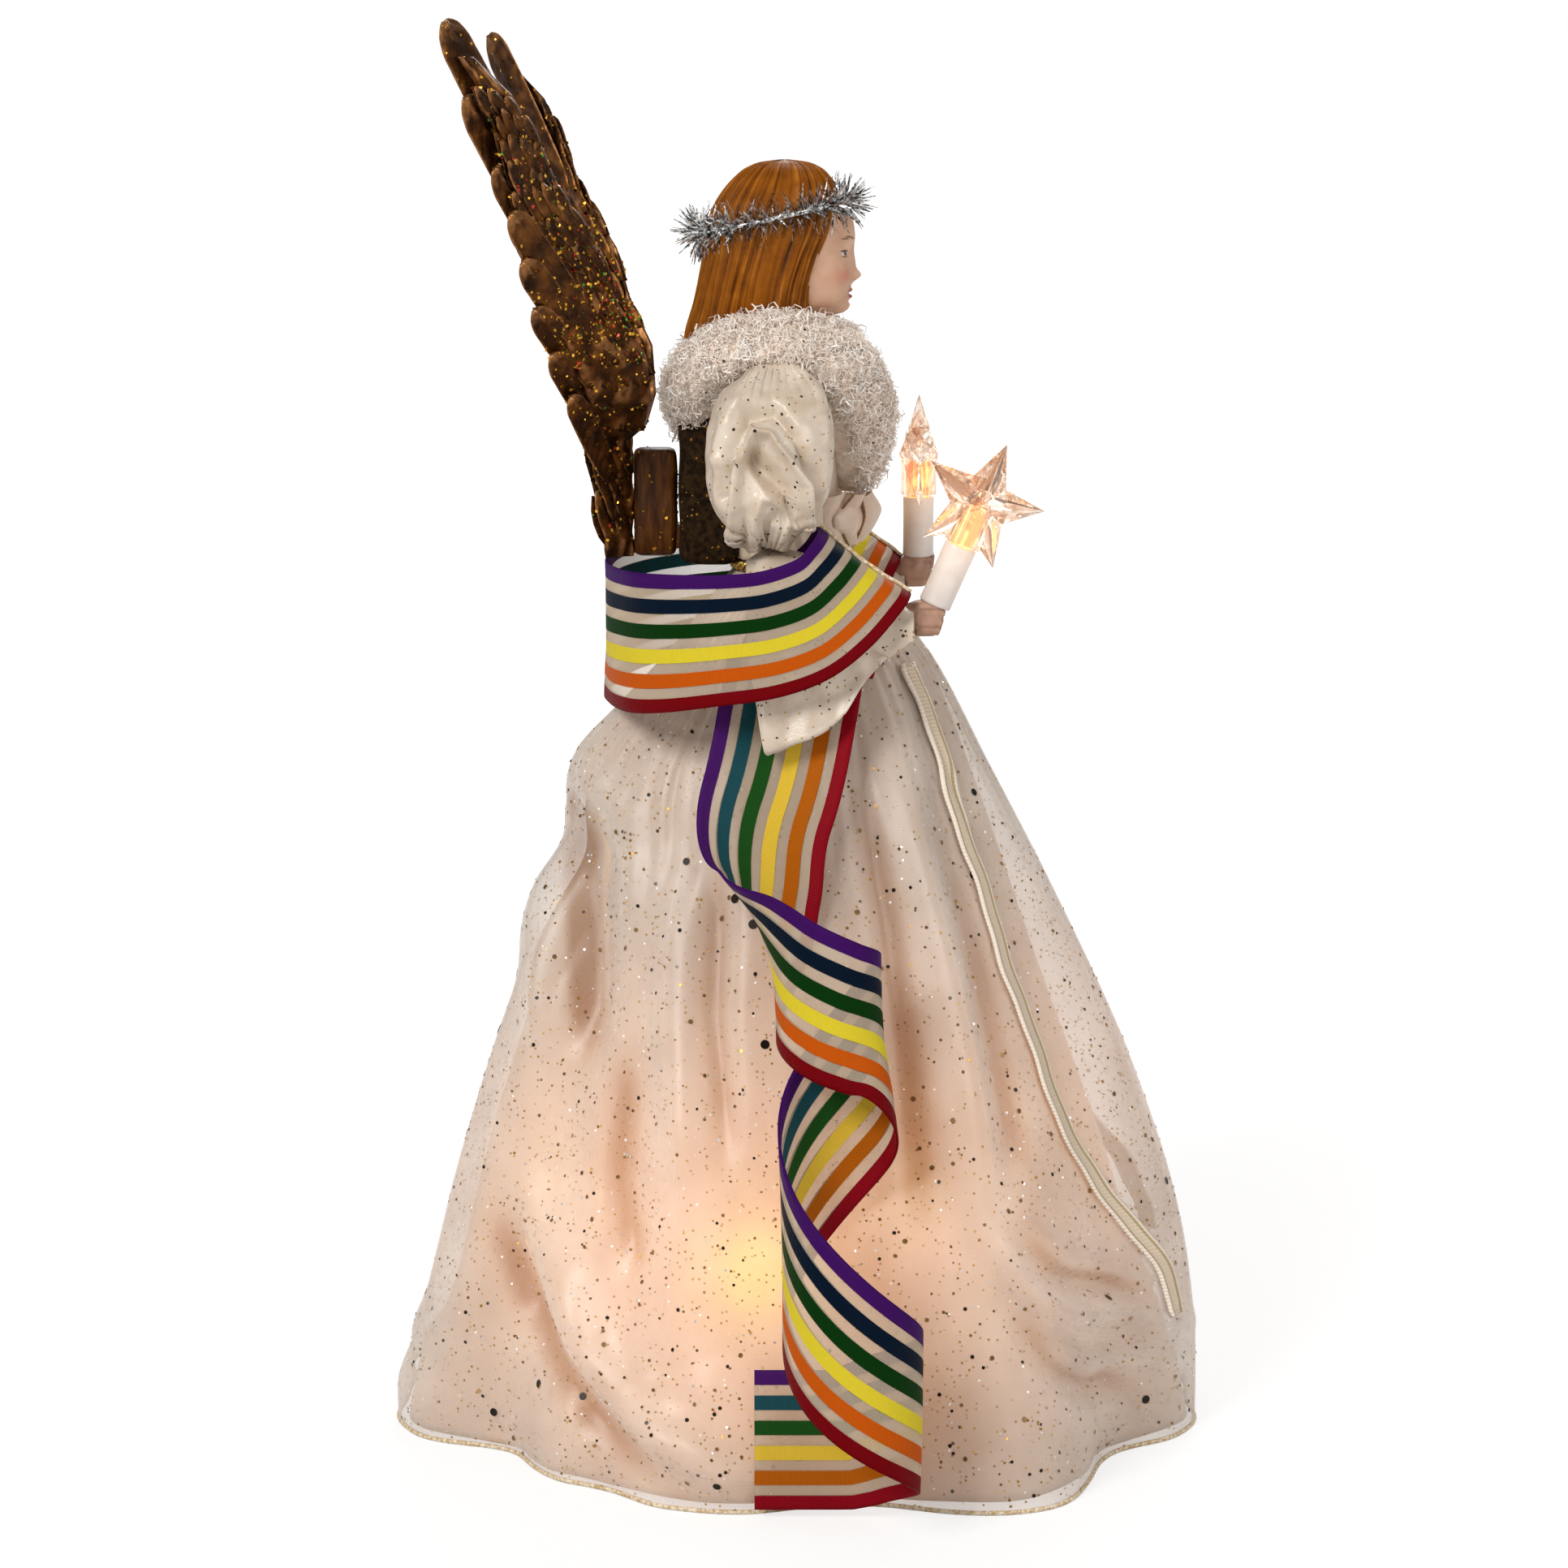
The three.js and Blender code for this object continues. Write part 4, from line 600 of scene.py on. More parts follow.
def glitter_dots(tree, place, cell_mm, radius_share, chance):
    """Specks of one size: 1 inside a speck, and a number by chance for each. Only some cells hold one."""
    cells = add_node(tree, "ShaderNodeTexVoronoi", {"Vector": place, "Scale": per_mm(cell_mm)})
    limit = {0: cells.outputs["Distance"], 1: radius_share}
    inside = add_node(tree, "ShaderNodeMath", limit, operation="LESS_THAN")
    pick = add_node(tree, "ShaderNodeSeparateColor", {"Color": cells.outputs["Color"]})
    chosen = add_node(tree, "ShaderNodeMath", {0: pick, 1: chance}, operation="LESS_THAN")
    return add_node(tree, "ShaderNodeMath", {0: inside, 1: chosen}, operation="MULTIPLY"), pick.outputs[1]


def speckled(tree, place, base):
    """Fine glitter printed on the cloth: brown and gold specks, with white specks as painted sparkles."""
    specks, tone = glitter_dots(tree, place, 1.5, 0.17, 0.62)
    ends = {0: tone, 6: colour("#8a6a34"), 7: colour("#c8a25c")}
    gold = add_node(tree, "ShaderNodeMix", ends, data_type="RGBA")
    shade = add_node(tree, "ShaderNodeMix", {0: specks, 6: base, 7: gold}, data_type="RGBA")
    # The white specks are painted highlights: the sparkle of the glitter, painted in.
    for cell, radius_share, chance, tint in ((5.2, 0.075, 0.55, "#3a2c18"), (3.1, 0.09, 0.45, "#fffdf6")):
        dots = glitter_dots(tree, place, cell, radius_share, chance)[0]
        shade = add_node(tree, "ShaderNodeMix", {0: dots, 6: shade, 7: colour(tint)}, data_type="RGBA")
        specks = add_node(tree, "ShaderNodeMath", {0: specks, 1: dots}, operation="MAXIMUM")
    return shade, specks


def see_through(tree, shader, blend, facing, grazing, solid):
    """Lets cloth be seen through, less so where it turns away and not at all where solid is 1."""
    away = add_node(tree, "ShaderNodeLayerWeight", {"Blend": blend}).outputs["Facing"]
    cover = add_node(tree, "ShaderNodeMapRange", {"Value": away, "To Min": facing, "To Max": grazing})
    cover = add_node(tree, "ShaderNodeMath", {0: cover, 1: solid}, operation="MAXIMUM")
    clear = add_node(tree, "ShaderNodeBsdfTransparent")
    mix = add_node(tree, "ShaderNodeMixShader", {0: cover, 1: clear, 2: shader})
    fill(tree, tree.nodes["Material Output"], {"Surface": mix})


def organza(name, light, dark):
    """Crisp sheer organza: a fine open weave that looks denser where it turns away."""
    material, tree, shader, place = new_material(name)
    cloud = add_node(tree, "ShaderNodeTexNoise", {"Vector": place, "Scale": per_mm(18.0), "Detail": 4.0})
    base = add_node(tree, "ShaderNodeValToRGB", {"Fac": cloud}, [(0.3, dark), (0.72, light)])
    shade, specks = speckled(tree, place, painted_fold_shade(tree, base))
    # Real threads are 0.2 mm apart, drawn at 0.6 mm so that they show.
    fill(tree, shader, {
        "Base Color": shade, "Roughness": 0.3, "Specular IOR Level": 0.55, "Sheen Weight": 0.2,
        "Normal": weave(tree, 0.6, 0.03, 0.45),
    })
    warm_from_behind(tree, shader, 0.2)
    see_through(tree, shader, 0.4, 0.25, 0.62, specks)
    return material


def new_tree(name, **inputs):
    """A tree of geometry nodes, and what it is given: a geometry, and the named inputs of each kind."""
    tree = bpy.data.node_groups.new(name, "GeometryNodeTree")
    for kind, labels in (("Geometry", ("Geometry",)), *inputs.items()):
        for label in labels:
            tree.interface.new_socket(label, in_out="INPUT", socket_type="NodeSocket" + kind)
    tree.interface.new_socket("Geometry", in_out="OUTPUT", socket_type="NodeSocketGeometry")
    return tree, add_node(tree, "NodeGroupInput").outputs


def ended(tree, geometry, finish, smooth=True):
    """The whole tree: what it has made is realized, shaded smooth where asked, and given its material."""
    made = add_node(tree, "GeometryNodeRealizeInstances", {"Geometry": geometry})
    if smooth:
        made = add_node(tree, "GeometryNodeSetShadeSmooth", {"Geometry": made})
    made = add_node(tree, "GeometryNodeSetMaterial", {"Geometry": made, "Material": finish})
    add_node(tree, "NodeGroupOutput", {"Geometry": made})
    return tree


def scatter_tree():
    """Geometry nodes that set small copies of one shape over a surface, each turned by chance."""
    tree, given = new_tree(
        "scatter on surface", Object=("Shape",), Float=("Density", "Smallest", "Largest", "Tilt", "Lift"),
        Int=("Seed",), Material=("Finish",),
    )
    spread = add_node(tree, "GeometryNodeInputNamedAttribute", {"Name": "cover"}, data_type="FLOAT")
    thick = add_node(tree, "ShaderNodeMath", {0: given["Density"], 1: spread}, operation="MULTIPLY")
    points = add_node(
        tree, "GeometryNodeDistributePointsOnFaces",
        {"Mesh": given["Geometry"], "Density": thick, "Seed": given["Seed"]}, distribute_method="RANDOM",
    )
    negative = add_node(tree, "ShaderNodeMath", {0: given["Tilt"], 1: -1.0}, operation="MULTIPLY")
    low = add_node(tree, "ShaderNodeCombineXYZ", {"X": negative, "Y": negative, "Z": -math.pi})
    high = add_node(tree, "ShaderNodeCombineXYZ", {"X": given["Tilt"], "Y": given["Tilt"], "Z": math.pi})
    turns = {0: low, 1: high, 8: given["Seed"]}
    lean = add_node(tree, "FunctionNodeRandomValue", turns, data_type="FLOAT_VECTOR")
    turn = add_node(tree, "FunctionNodeEulerToRotation", {"Euler": lean})
    facing = add_node(
        tree, "FunctionNodeRotateRotation",
        {"Rotation": points.outputs["Rotation"], "Rotate By": turn}, rotation_space="LOCAL",
    )
    sizes = {2: given["Smallest"], 3: given["Largest"], 8: given["Seed"]}
    size = add_node(tree, "FunctionNodeRandomValue", sizes, data_type="FLOAT")
    shape = add_node(tree, "GeometryNodeObjectInfo", {"Object": given["Shape"]})
    placed = add_node(
        tree, "GeometryNodeInstanceOnPoints",
        {"Points": points, "Instance": shape.outputs["Geometry"], "Rotation": facing, "Scale": size},
    )
    up = add_node(tree, "ShaderNodeCombineXYZ", {"Z": given["Lift"]})
    lifted = add_node(tree, "GeometryNodeTranslateInstances", {"Instances": placed, "Translation": up})
    return ended(tree, lifted, given["Finish"], smooth=False)


scatter = scatter_tree()


def baked(name, source, tree, values):
    """Runs a node tree on a copy of source and keeps what it makes as a plain mesh object."""
    worker = shown(name + "_source", source.data)
    modifier = worker.modifiers.new(name, "NODES")
    modifier.node_group = tree
    sockets = {item.name: item.identifier for item in tree.interface.items_tree if item.in_out == "INPUT"}
    for key, value in values.items():
        modifier[sockets[key]] = value
    graph = bpy.context.evaluated_depsgraph_get()
    graph.update()
    mesh = bpy.data.meshes.new_from_object(worker.evaluated_get(graph), depsgraph=graph)
    mesh.name = name
    worker.modifiers.remove(modifier)
    bpy.data.objects.remove(worker)
    return shown(name, mesh)


def template(name, points, faces):
    """A small shape that is copied many times and isn't shown itself. Its points are in millimetres."""
    mesh = bpy.data.meshes.new(name)
    mesh.from_pydata((np.asarray(points, float) * MM).tolist(), [], faces)
    return bpy.data.objects.new(name, mesh)


def flake(sides):
    """A flat glitter flake, 1 mm across."""
    turns = [i / sides * math.tau for i in range(sides)]
    ring = [(0.5 * math.cos(turn), 0.5 * math.sin(turn), 0) for turn in turns]
    return template("flake", ring, [tuple(range(sides))])


def flakes(name, surface, body, density, smallest, largest, tilt, seed, finish, sides=6, lift=0.08):
    """Loose glitter flakes on a surface. Density is in flakes for each square centimetre."""
    made = baked(name, surface, scatter, {
        "Shape": flake(sides), "Density": density * 1e4, "Smallest": smallest, "Largest": largest,
        "Tilt": tilt, "Lift": lift * MM, "Seed": seed, "Finish": finish,
    })
    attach(made, body)
    return made


def sequin(name, light, dark, rough, metallic):
    """Metallised polyester flakes: flat, bright and a little tarnished."""
    return mottled(name, 2.5, [(0.3, dark), (0.7, light)], {"Metallic": metallic, "Roughness": rough})


def outer_cover(made, high):
    """Marks the front layer for scattering, up to a share of the piece's own height."""
    z = np.array([v.co.z for v in made.data.vertices])
    share = (z - z.min()) / (z.max() - z.min())
    mark(made, "cover", (np.arange(len(z)) < len(z) // 2) & (share <= high))


def tube(name, path, radius, sides, materials, closed=False, flatness=1.0):
    """A round or flattened tube along points in millimetres."""
    ahead = unit(np.roll(path, -1, 0) - np.roll(path, 1, 0) if closed else np.gradient(path, axis=0))
    side = unit(np.cross(ahead, [0, 0, 1.0]))
    turn = np.arange(sides)[:, None] / sides * math.tau
    ring = side[:, None] * np.cos(turn) + np.cross(side, ahead)[:, None] * np.sin(turn) * flatness
    faces = grid_faces(len(path), sides, rows_wrap=closed).tolist()
    if not closed:
        faces += [list(range(sides)), [(len(path) - 1) * sides + i for i in reversed(range(sides))]]
    made = mesh_piece(name, (path[:, None] + ring * radius).reshape(-1, 3), faces, materials)
    face_outwards(made)
    return made


def face_outwards(made):
    work = bmesh.new()
    work.from_mesh(made.data)
    bmesh.ops.recalc_face_normals(work, faces=work.faces)
    work.to_mesh(made.data)
    work.free()


def make_overskirt():
    angle, share = rings(OVERSKIRT_COLUMNS, np.linspace(0.0, 1.0, OVERSKIRT_ROWS) ** 1.08)
    grid = overskirt_places(angle, share)
    values = {
        "warm": lamp_glow(grid, 42.0), "spot": lamp_glow(grid, 12.5) * 1.5, "crease": crease_shares(grid),
    }
    cloth = organza("glittered organza", "#f4eae0", "#dfd2c6")
    made = cloth_piece("organza_skirt", grid, 0.25, [cloth], values)
    outer_cover(made, 0.93)
    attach(made, "figure")
    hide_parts("organza_overskirt")
    hem = math.pi * (SKIRT_REACH + SKIRT_SIDE_REACH) * MM
    roll = tube("organza_hem", grid[0][::2] + [0, 0, 0.55], 0.5, 8, [hem_thread], closed=True)
    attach(roll, "figure")
    return made, roll, hem


# Narrow rolled hem overlocked with cream and gold thread.
hem_thread = mottled("overlocked hem", 0.8, [(0.4, "#c7a878"), (0.6, "#efe2cc")], {"Roughness": 0.5}, 0.15)
overskirt, hem_roll, hem_length = make_overskirt()
gold_flake = sequin("gold glitter", "#b98a45", "#6e5229", 0.3, 0.9)
dark_flake = sequin("dark glitter", "#2a2118", "#15110c", 0.35, 0.6)
white_flake = sequin("white glitter", "#ffffff", "#d8dade", 0.15, 0.6)
tan_flake = sequin("tan glitter", "#a8814e", "#6d4f2c", 0.35, 0.5)
for name, density, smallest, largest, tilt, seed, finish, sides in (
    ("gold_glitter", 2.6, 0.45, 0.8, 0.5, 31, gold_flake, 6),
    ("dark_glitter", 0.55, 0.6, 1.0, 0.25, 32, dark_flake, 6),
    ("white_glitter", 1.6, 0.3, 0.7, 0.6, 33, white_flake, 6),
    ("black_dots", 0.05, 1.6, 2.1, 0.05, 34, dark_flake, 12),
    ("tan_glitter", 0.5, 0.7, 1.3, 0.3, 35, tan_flake, 8),
):
    flakes(
        f"skirt_{name}", overskirt, "figure", density, smallest, largest, tilt, seed, finish,
        sides=sides,
    )

# Piping
# A narrow ivory ribbon with gold-thread edges is glued down each side of the skirt's front, from under
# the cuffs to the puckers near the hem.

PIPING_PLACES = (
    (0.15, 24.4), (0.163, 24.4), (0.237, 28), (0.3, 34), (0.353, 39), (0.52, 44), (0.65, 43), (0.9, 37),
)
PIPING_WIDTH = 5.4


def piping_cloth():
    """Flat rayon ribbon: rolled cream edges, a brown-gold thread woven in beside each, a thinner middle."""
    material, tree, shader, place = new_material("gold-edged ribbon")
    across = add_node(tree, "ShaderNodeUVMap", uv_map="UVMap")
    across = add_node(tree, "ShaderNodeSeparateXYZ", {"Vector": across})
    stripe = add_node(tree, "ShaderNodeValToRGB", {"Fac": across}, [
        (0.0, "#f8ecdd"), (0.15, "#f3e2cf"), (0.19, "#93784c"), (0.24, "#a88e62"), (0.28, "#d9c4ab"),
        (0.72, "#decbb3"), (0.76, "#a98f62"), (0.82, "#bda57a"), (0.86, "#f4e6d4"), (1.0, "#f3e4d2"),
    ])
    threads = add_node(tree, "ShaderNodeTexWave", {
        "Vector": place, "Scale": per_wave(0.8), "Distortion": 1.5,
    }, bands_direction="Z")
    relief = add_node(tree, "ShaderNodeBump", {"Height": threads.outputs["Fac"], "Distance": 0.12 * MM})
    fill(tree, shader, {"Base Color": stripe, "Roughness": 0.42, "Sheen Weight": 0.15, "Normal": relief})
    return material


def strip_piece(name, rows, thickness, materials):
    """A closed ribbon from rows of points in millimetres. UV runs 0 to 1 across and along in widths."""
    rows = np.asarray(rows, float)
    wide = rows.shape[1]
    width = np.linalg.norm(rows[:, -1] - rows[:, 0], axis=1).mean()
    along = lengths(rows[:, wide // 2]) / width
    made = sheet_piece(name, rows, thickness, False, materials, np.linspace(0, 1, wide), along)
    face_outwards(made)
    return made


def make_piping(name, node, side):
    rows = []
    for share in np.linspace(0.9, 0.15, 120):
        angle = -math.radians(float(eased(PIPING_PLACES, share))) * side
        here = overskirt_places(np.array(angle), np.array(share))
        reach = math.hypot(here[0], here[1])
        half = PIPING_WIDTH / 2 / reach
        wobble = (0.5 * math.sin(share * 41) + 0.25 * math.sin(share * 97)) / reach
        turns = angle + wobble + np.linspace(-half, half, 9) * side
        edges = np.abs(np.linspace(-1, 1, 9))
        crown = 0.1 + 0.5 * smooth_step(0.6, 0.85, edges) - 0.5 * smooth_step(0.9, 1, edges)
        rows.append(overskirt_places(turns, np.full(9, share), 0.95 + crown))
    made = strip_piece(name, rows, 0.5, [piping_ribbon])
    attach(made, "figure")
    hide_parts(node)
    return made


piping_ribbon = piping_cloth()
trims = [
    hem_roll, make_piping("right_skirt_piping", "right_piping", 1),
    make_piping("left_skirt_piping", "left_piping", -1),
]

# Waist cord
# The waist is tied with a cord of two strands of gold lurex yarn, twisted together. It goes once round
# the top of the gathered skirt and holds it under the bodice.

CORD_RADIUS = 1.1
TORSO_WAIST_RADIUS = 12.5
CORD_CENTRE = TORSO_WAIST_RADIUS + FIT_GAP + CORD_RADIUS


def twisted_cord_tree():
    """Geometry nodes that wind strands round a closed path: a tube swept along each wound curve."""
    tree, given = new_tree(
        "twisted cord", Float=("Cord radius", "Turns", "Phase"), Int=("Points",), Material=("Finish",),
    )
    line = add_node(tree, "GeometryNodeMeshToCurve", {"Mesh": given["Geometry"]})
    counted = {"Curve": line, "Count": given["Points"]}
    even = add_node(tree, "GeometryNodeResampleCurve", counted, mode="COUNT")
    along = add_node(tree, "GeometryNodeSplineParameter").outputs["Factor"]
    whole = add_node(tree, "ShaderNodeMath", {0: given["Turns"], 1: math.tau}, operation="MULTIPLY")
    winding = {0: along, 1: whole, 2: given["Phase"]}
    angle = add_node(tree, "ShaderNodeMath", winding, operation="MULTIPLY_ADD")
    strand = add_node(tree, "ShaderNodeMath", {0: given["Cord radius"], 1: 0.5}, operation="MULTIPLY")
    up = add_node(tree, "ShaderNodeMath", {0: angle}, operation="SINE")
    up = add_node(tree, "ShaderNodeMath", {0: up, 1: strand}, operation="MULTIPLY")
    out = add_node(tree, "ShaderNodeMath", {0: angle}, operation="COSINE")
    out = add_node(tree, "ShaderNodeMath", {0: out, 1: strand}, operation="MULTIPLY")
    away = add_node(tree, "GeometryNodeInputPosition")
    flat = add_node(tree, "ShaderNodeVectorMath", {0: away, 1: (1, 1, 0)}, operation="MULTIPLY")
    away = add_node(tree, "ShaderNodeVectorMath", {0: flat}, operation="NORMALIZE")
    away = add_node(tree, "ShaderNodeVectorMath", {0: away, "Scale": out}, operation="SCALE")
    rise = add_node(tree, "ShaderNodeCombineXYZ", {"Z": up})
    move = add_node(tree, "ShaderNodeVectorMath", {0: away, 1: rise})
    wound = add_node(tree, "GeometryNodeSetPosition", {"Geometry": even, "Offset": move})
    ring = add_node(tree, "GeometryNodeCurvePrimitiveCircle", {"Resolution": 8, "Radius": strand})
    sweep = {"Curve": wound, "Profile Curve": ring, "Fill Caps": True}
    return ended(tree, add_node(tree, "GeometryNodeCurveToMesh", sweep), given["Finish"])


def loop_of_edges(name, points):
    """A closed line of points in millimetres, as the path of a cord. It isn't shown itself."""
    mesh = bpy.data.meshes.new(name)
    count = len(points)
    mesh.from_pydata((points * MM).tolist(), [(i, (i + 1) % count) for i in range(count)], [])
    return bpy.data.objects.new(name, mesh)


def merged(name, pieces):
    """One piece from several that move together."""
    work = bmesh.new()
    materials = []
    for piece in pieces:
        start = len(work.faces)
        work.from_mesh(piece.data)
        work.faces.ensure_lookup_table()
        own = list(piece.data.materials)
        for face in work.faces[start:]:
            finish = own[face.material_index] if own else None
            if finish not in materials:
                materials.append(finish)
            face.material_index = materials.index(finish)
        bpy.data.objects.remove(piece)
    mesh = bpy.data.meshes.new(name)
    work.to_mesh(mesh)
    work.free()
    for finish in materials:
        mesh.materials.append(finish)
    return shown(name, mesh)


def make_waist_cord():
    height = WAIST_HEIGHT + FIT_GAP + CORD_RADIUS
    turn = np.arange(72) / 72 * math.tau
    ring = np.stack([CORD_CENTRE * np.cos(turn), CORD_CENTRE * np.sin(turn), height + 0 * turn], 1)
    path = loop_of_edges("waist_path", ring)
    cord = twisted_cord_tree()
    strands = [
        baked(f"strand_{k}", path, cord, {
            "Cord radius": CORD_RADIUS * MM, "Turns": 22.0, "Phase": k * math.pi, "Points": 440,
            "Finish": yarn,
        }) for k in range(2)
    ]
    made = merged("waist_cord_twist", strands)
    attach(made, "figure")
    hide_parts("waist_cord")


# Gold lurex yarn: metallised film wound round a core, bright where the turns catch the light.
yarn = mottled(
    "gold lurex", 0.5, [(0.35, "#8f6a24"), (0.65, "#d9b565")], {"Metallic": 0.8, "Roughness": 0.32}, 0.1,
    Detail=1.0,
)
make_waist_cord()

# Satin bodice and puff sleeves
# The bodice is satin glued round the torso. Each sleeve is a puff of organza over satin, folded back on
# itself below the shoulder so that a hollow roll shows at the side, and gathered in at the elbow.

TORSO_TOP_HEIGHT = 236.0
BODY_CENTRE_X = -5.0
CHEST_DEPTH = 11.0
CHEST_WIDTH = 19.0
NECK_RADIUS = 5.2
ARM_SPREAD = 32.0
BODICE_HEIGHTS = (190.9, 233.2)
SLEEVE_TOP_HEIGHT = 233.0
SLEEVE_LENGTH = 36.7
SLEEVE_RADIUS = 13.0
CHEST_HEIGHT = WAIST_HEIGHT + (TORSO_TOP_HEIGHT - WAIST_HEIGHT) * 0.62
TORSO_RINGS = (
    (188.0, TORSO_WAIST_RADIUS, TORSO_WAIST_RADIUS, 0.0),
    (196.9, CHEST_DEPTH * 0.95, CHEST_WIDTH * 0.66, BODY_CENTRE_X * 0.4),
    (CHEST_HEIGHT, CHEST_DEPTH, CHEST_WIDTH * 0.93, BODY_CENTRE_X * 0.8),
    (226.0, CHEST_DEPTH * 0.92, CHEST_WIDTH, BODY_CENTRE_X),
    (231.4, CHEST_DEPTH * 0.72, CHEST_WIDTH * 0.62, BODY_CENTRE_X),
    (236.0, NECK_RADIUS, NECK_RADIUS, BODY_CENTRE_X),
)
# Shares of the sleeve's length, half depth, half width and middle, from the shoulder to the elbow.
SLEEVE_SHARES = (
    (0, 0.36, 0.3, 0.72), (0.1, 0.8, 0.66, 0.88), (0.28, 1, 0.9, 0.97), (0.5, 1.03, 0.95, 1.02),
    (0.72, 0.95, 0.9, 1.05), (0.86, 0.72, 0.68, 1.05), (0.94, 0.5, 0.5, 1.03), (1, 0.36, 0.36, 1.02),
)
# Folds on the sleeve's outer side, seen from that side: points ahead and up, half width and height.
SLEEVE_FOLDS = (
    (((-12.4, 196.6), (-12.9, 206.0), (-12.2, 215.4), (-9.3, 221.1), (-5.7, 220.8), (-1.9, 215.8),
      (1.1, 210.3), (1.9, 200.9)), 0.95, 3.4),
    (((-10.0, 216.7), (-7.0, 213.3), (-3.6, 209.4), (-1.3, 204.3)), 2.4, -5.0),
    (((-11.0, 214.5), (-7.4, 209.4), (-3.2, 205.2), (-0.4, 201.3)), 0.8, 1.4),
    (((-15.1, 207.7), (-14.2, 217.9), (-10.4, 224.7), (-5.3, 225.7), (-0.2, 220.5), (3.5, 212.0),
      (4.3, 203.5)), 1.3, -3.0),
    (((-15.7, 216.2), (-13.3, 225.5), (-8.4, 231.3), (-2.3, 233.0), (2.8, 230.6), (6.0, 224.7),
      (6.7, 217.9), (6.2, 209.4)), 2.4, 2.4),
    (((-17.2, 199.2), (-16.9, 207.7), (-15.9, 214.5)), 1.8, 1.0),
    (((-9.6, 196.6), (-9.1, 203.5), (-7.8, 207.7), (-5.7, 207.7)), 1.1, 1.3),
    (((-7.0, 196.6), (-6.6, 201.8), (-4.9, 203.5)), 1.0, -1.2),
    (((-3.2, 196.6), (-3.0, 200.1), (-1.9, 201.8)), 0.9, 0.9),
)


def read_table(table, at):
    """Reads each further column of a table along a smooth curve, at places in its first column."""
    table = np.array(table, float)
    return [eased(table[:, [0, k]], at) for k in range(1, table.shape[1])]


def make_bodice():
    angle, height = rings(120, np.linspace(*BODICE_HEIGHTS, 44))
    depth, width, centre = read_table(TORSO_RINGS, height)
    tucks = 0.25 * np.sin(angle * 26 + 0.8 * np.sin(height / 4)) * smooth_step(0, 14, 205 - height)
    out = FIT_GAP + CLOTH_THICKNESS + tucks
    grid = np.stack([centre + (depth + out) * np.cos(angle), (width + out) * np.sin(angle), height], axis=-1)
    made = cloth_piece("bodice", grid, 0.5, [ivory_satin])
    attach(made, "figure")
    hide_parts("satin_bodice")


def make_sleeve(name, node, side):
    """side is -1 for the right arm and 1 for the left."""
    angle, share = rings(260, np.linspace(0, 1, 170))
    deep, wide, spread = read_table(SLEEVE_SHARES, share)
    pleat = 1 + 0.04 * np.cos(6 * angle) * np.sin(share * math.pi)
    gather = 0.35 * np.sin(34 * angle + 2 * np.sin(3 * angle)) * (
        smooth_step(0.75, 0.98, share) + 0.5 * smooth_step(0, 0.25, 0.25 - share)
    )
    middle = BODY_CENTRE_X - SLEEVE_RADIUS * (0.03 + share * 0.1)
    x = middle + (SLEEVE_RADIUS * deep * pleat + gather - 0.4) * np.cos(angle)
    y = ARM_SPREAD * spread * side + (SLEEVE_RADIUS * wide * pleat + gather - 0.4) * np.sin(angle)
    z = SLEEVE_TOP_HEIGHT - share * SLEEVE_LENGTH + 0 * x
    grid = np.stack([x, y, z], axis=-1)
    outer = smooth_step(0.15, 0.55, np.sin(angle) * side)
    lift = line_heights(grid, SLEEVE_FOLDS, False) * outer
    crumple = 0.12 * np.sin(x * 0.9 + z * 0.5) * np.sin(z * 0.7 - x * 0.3 + 1)
    normals = grid_normals(grid, True)
    outward = np.stack([np.cos(angle), np.sin(angle), 0 * angle], axis=-1)
    normals *= np.sign((normals * outward).sum(-1, keepdims=True))
    grid = grid + normals * (lift + crumple)[..., None]
    made = closed_form(name, grid, [sleeve_organza])
    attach(made, "figure")
    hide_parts(node)
    whole_cover(made)
    return made


def closed_form(name, grid, materials, values=None):
    """A closed body from rings of points in millimetres, capped at both ends."""
    rows, columns = grid.shape[:2]
    low, high = rows * columns, rows * columns + 1
    points = np.concatenate([grid.reshape(-1, 3), grid[0].mean(0)[None], grid[-1].mean(0)[None]])
    faces = grid_faces(rows, columns).tolist()
    for c in range(columns):
        d = (c + 1) % columns
        faces += [(low, d, c), (high, low - columns + c, low - columns + d)]
    made = mesh_piece(name, points, faces, materials)
    face_outwards(made)
    for key, value in (values or {}).items():
        mark(made, key, [*value.ravel(), value[0].mean(), value[-1].mean()])
    return made


def whole_cover(made):
    """Marks every vertex for scattering."""
    mark(made, "cover", np.ones(len(made.data.vertices)))


def glittered_satin(name, light, dark):
    """Organza bonded to satin: a soft pearly face with the glitter printed on it, and white specks as painted
    sparkles.
    """
    material, tree, shader, place = new_material(name)
    cloud = add_node(tree, "ShaderNodeTexNoise", {"Vector": place, "Scale": per_mm(7.0), "Detail": 4.0})
    base = add_node(tree, "ShaderNodeValToRGB", {"Fac": cloud}, [(0.3, dark), (0.72, light)])
    shade, _ = speckled(tree, place, base)
    # Real threads are 0.2 mm apart, drawn at 0.5 mm so that they show.
    grain = add_node(tree, "ShaderNodeTexNoise", {"Vector": place, "Scale": per_mm(0.5)})
    relief = add_node(tree, "ShaderNodeBump", {"Height": grain, "Distance": 0.12 * MM, "Strength": 0.6})
    fill(tree, shader, {
        "Base Color": shade, "Roughness": 0.34, "Sheen Weight": 0.3, "Sheen Roughness": 0.3,
        "Specular IOR Level": 0.6, "Normal": relief,
    })
    return material


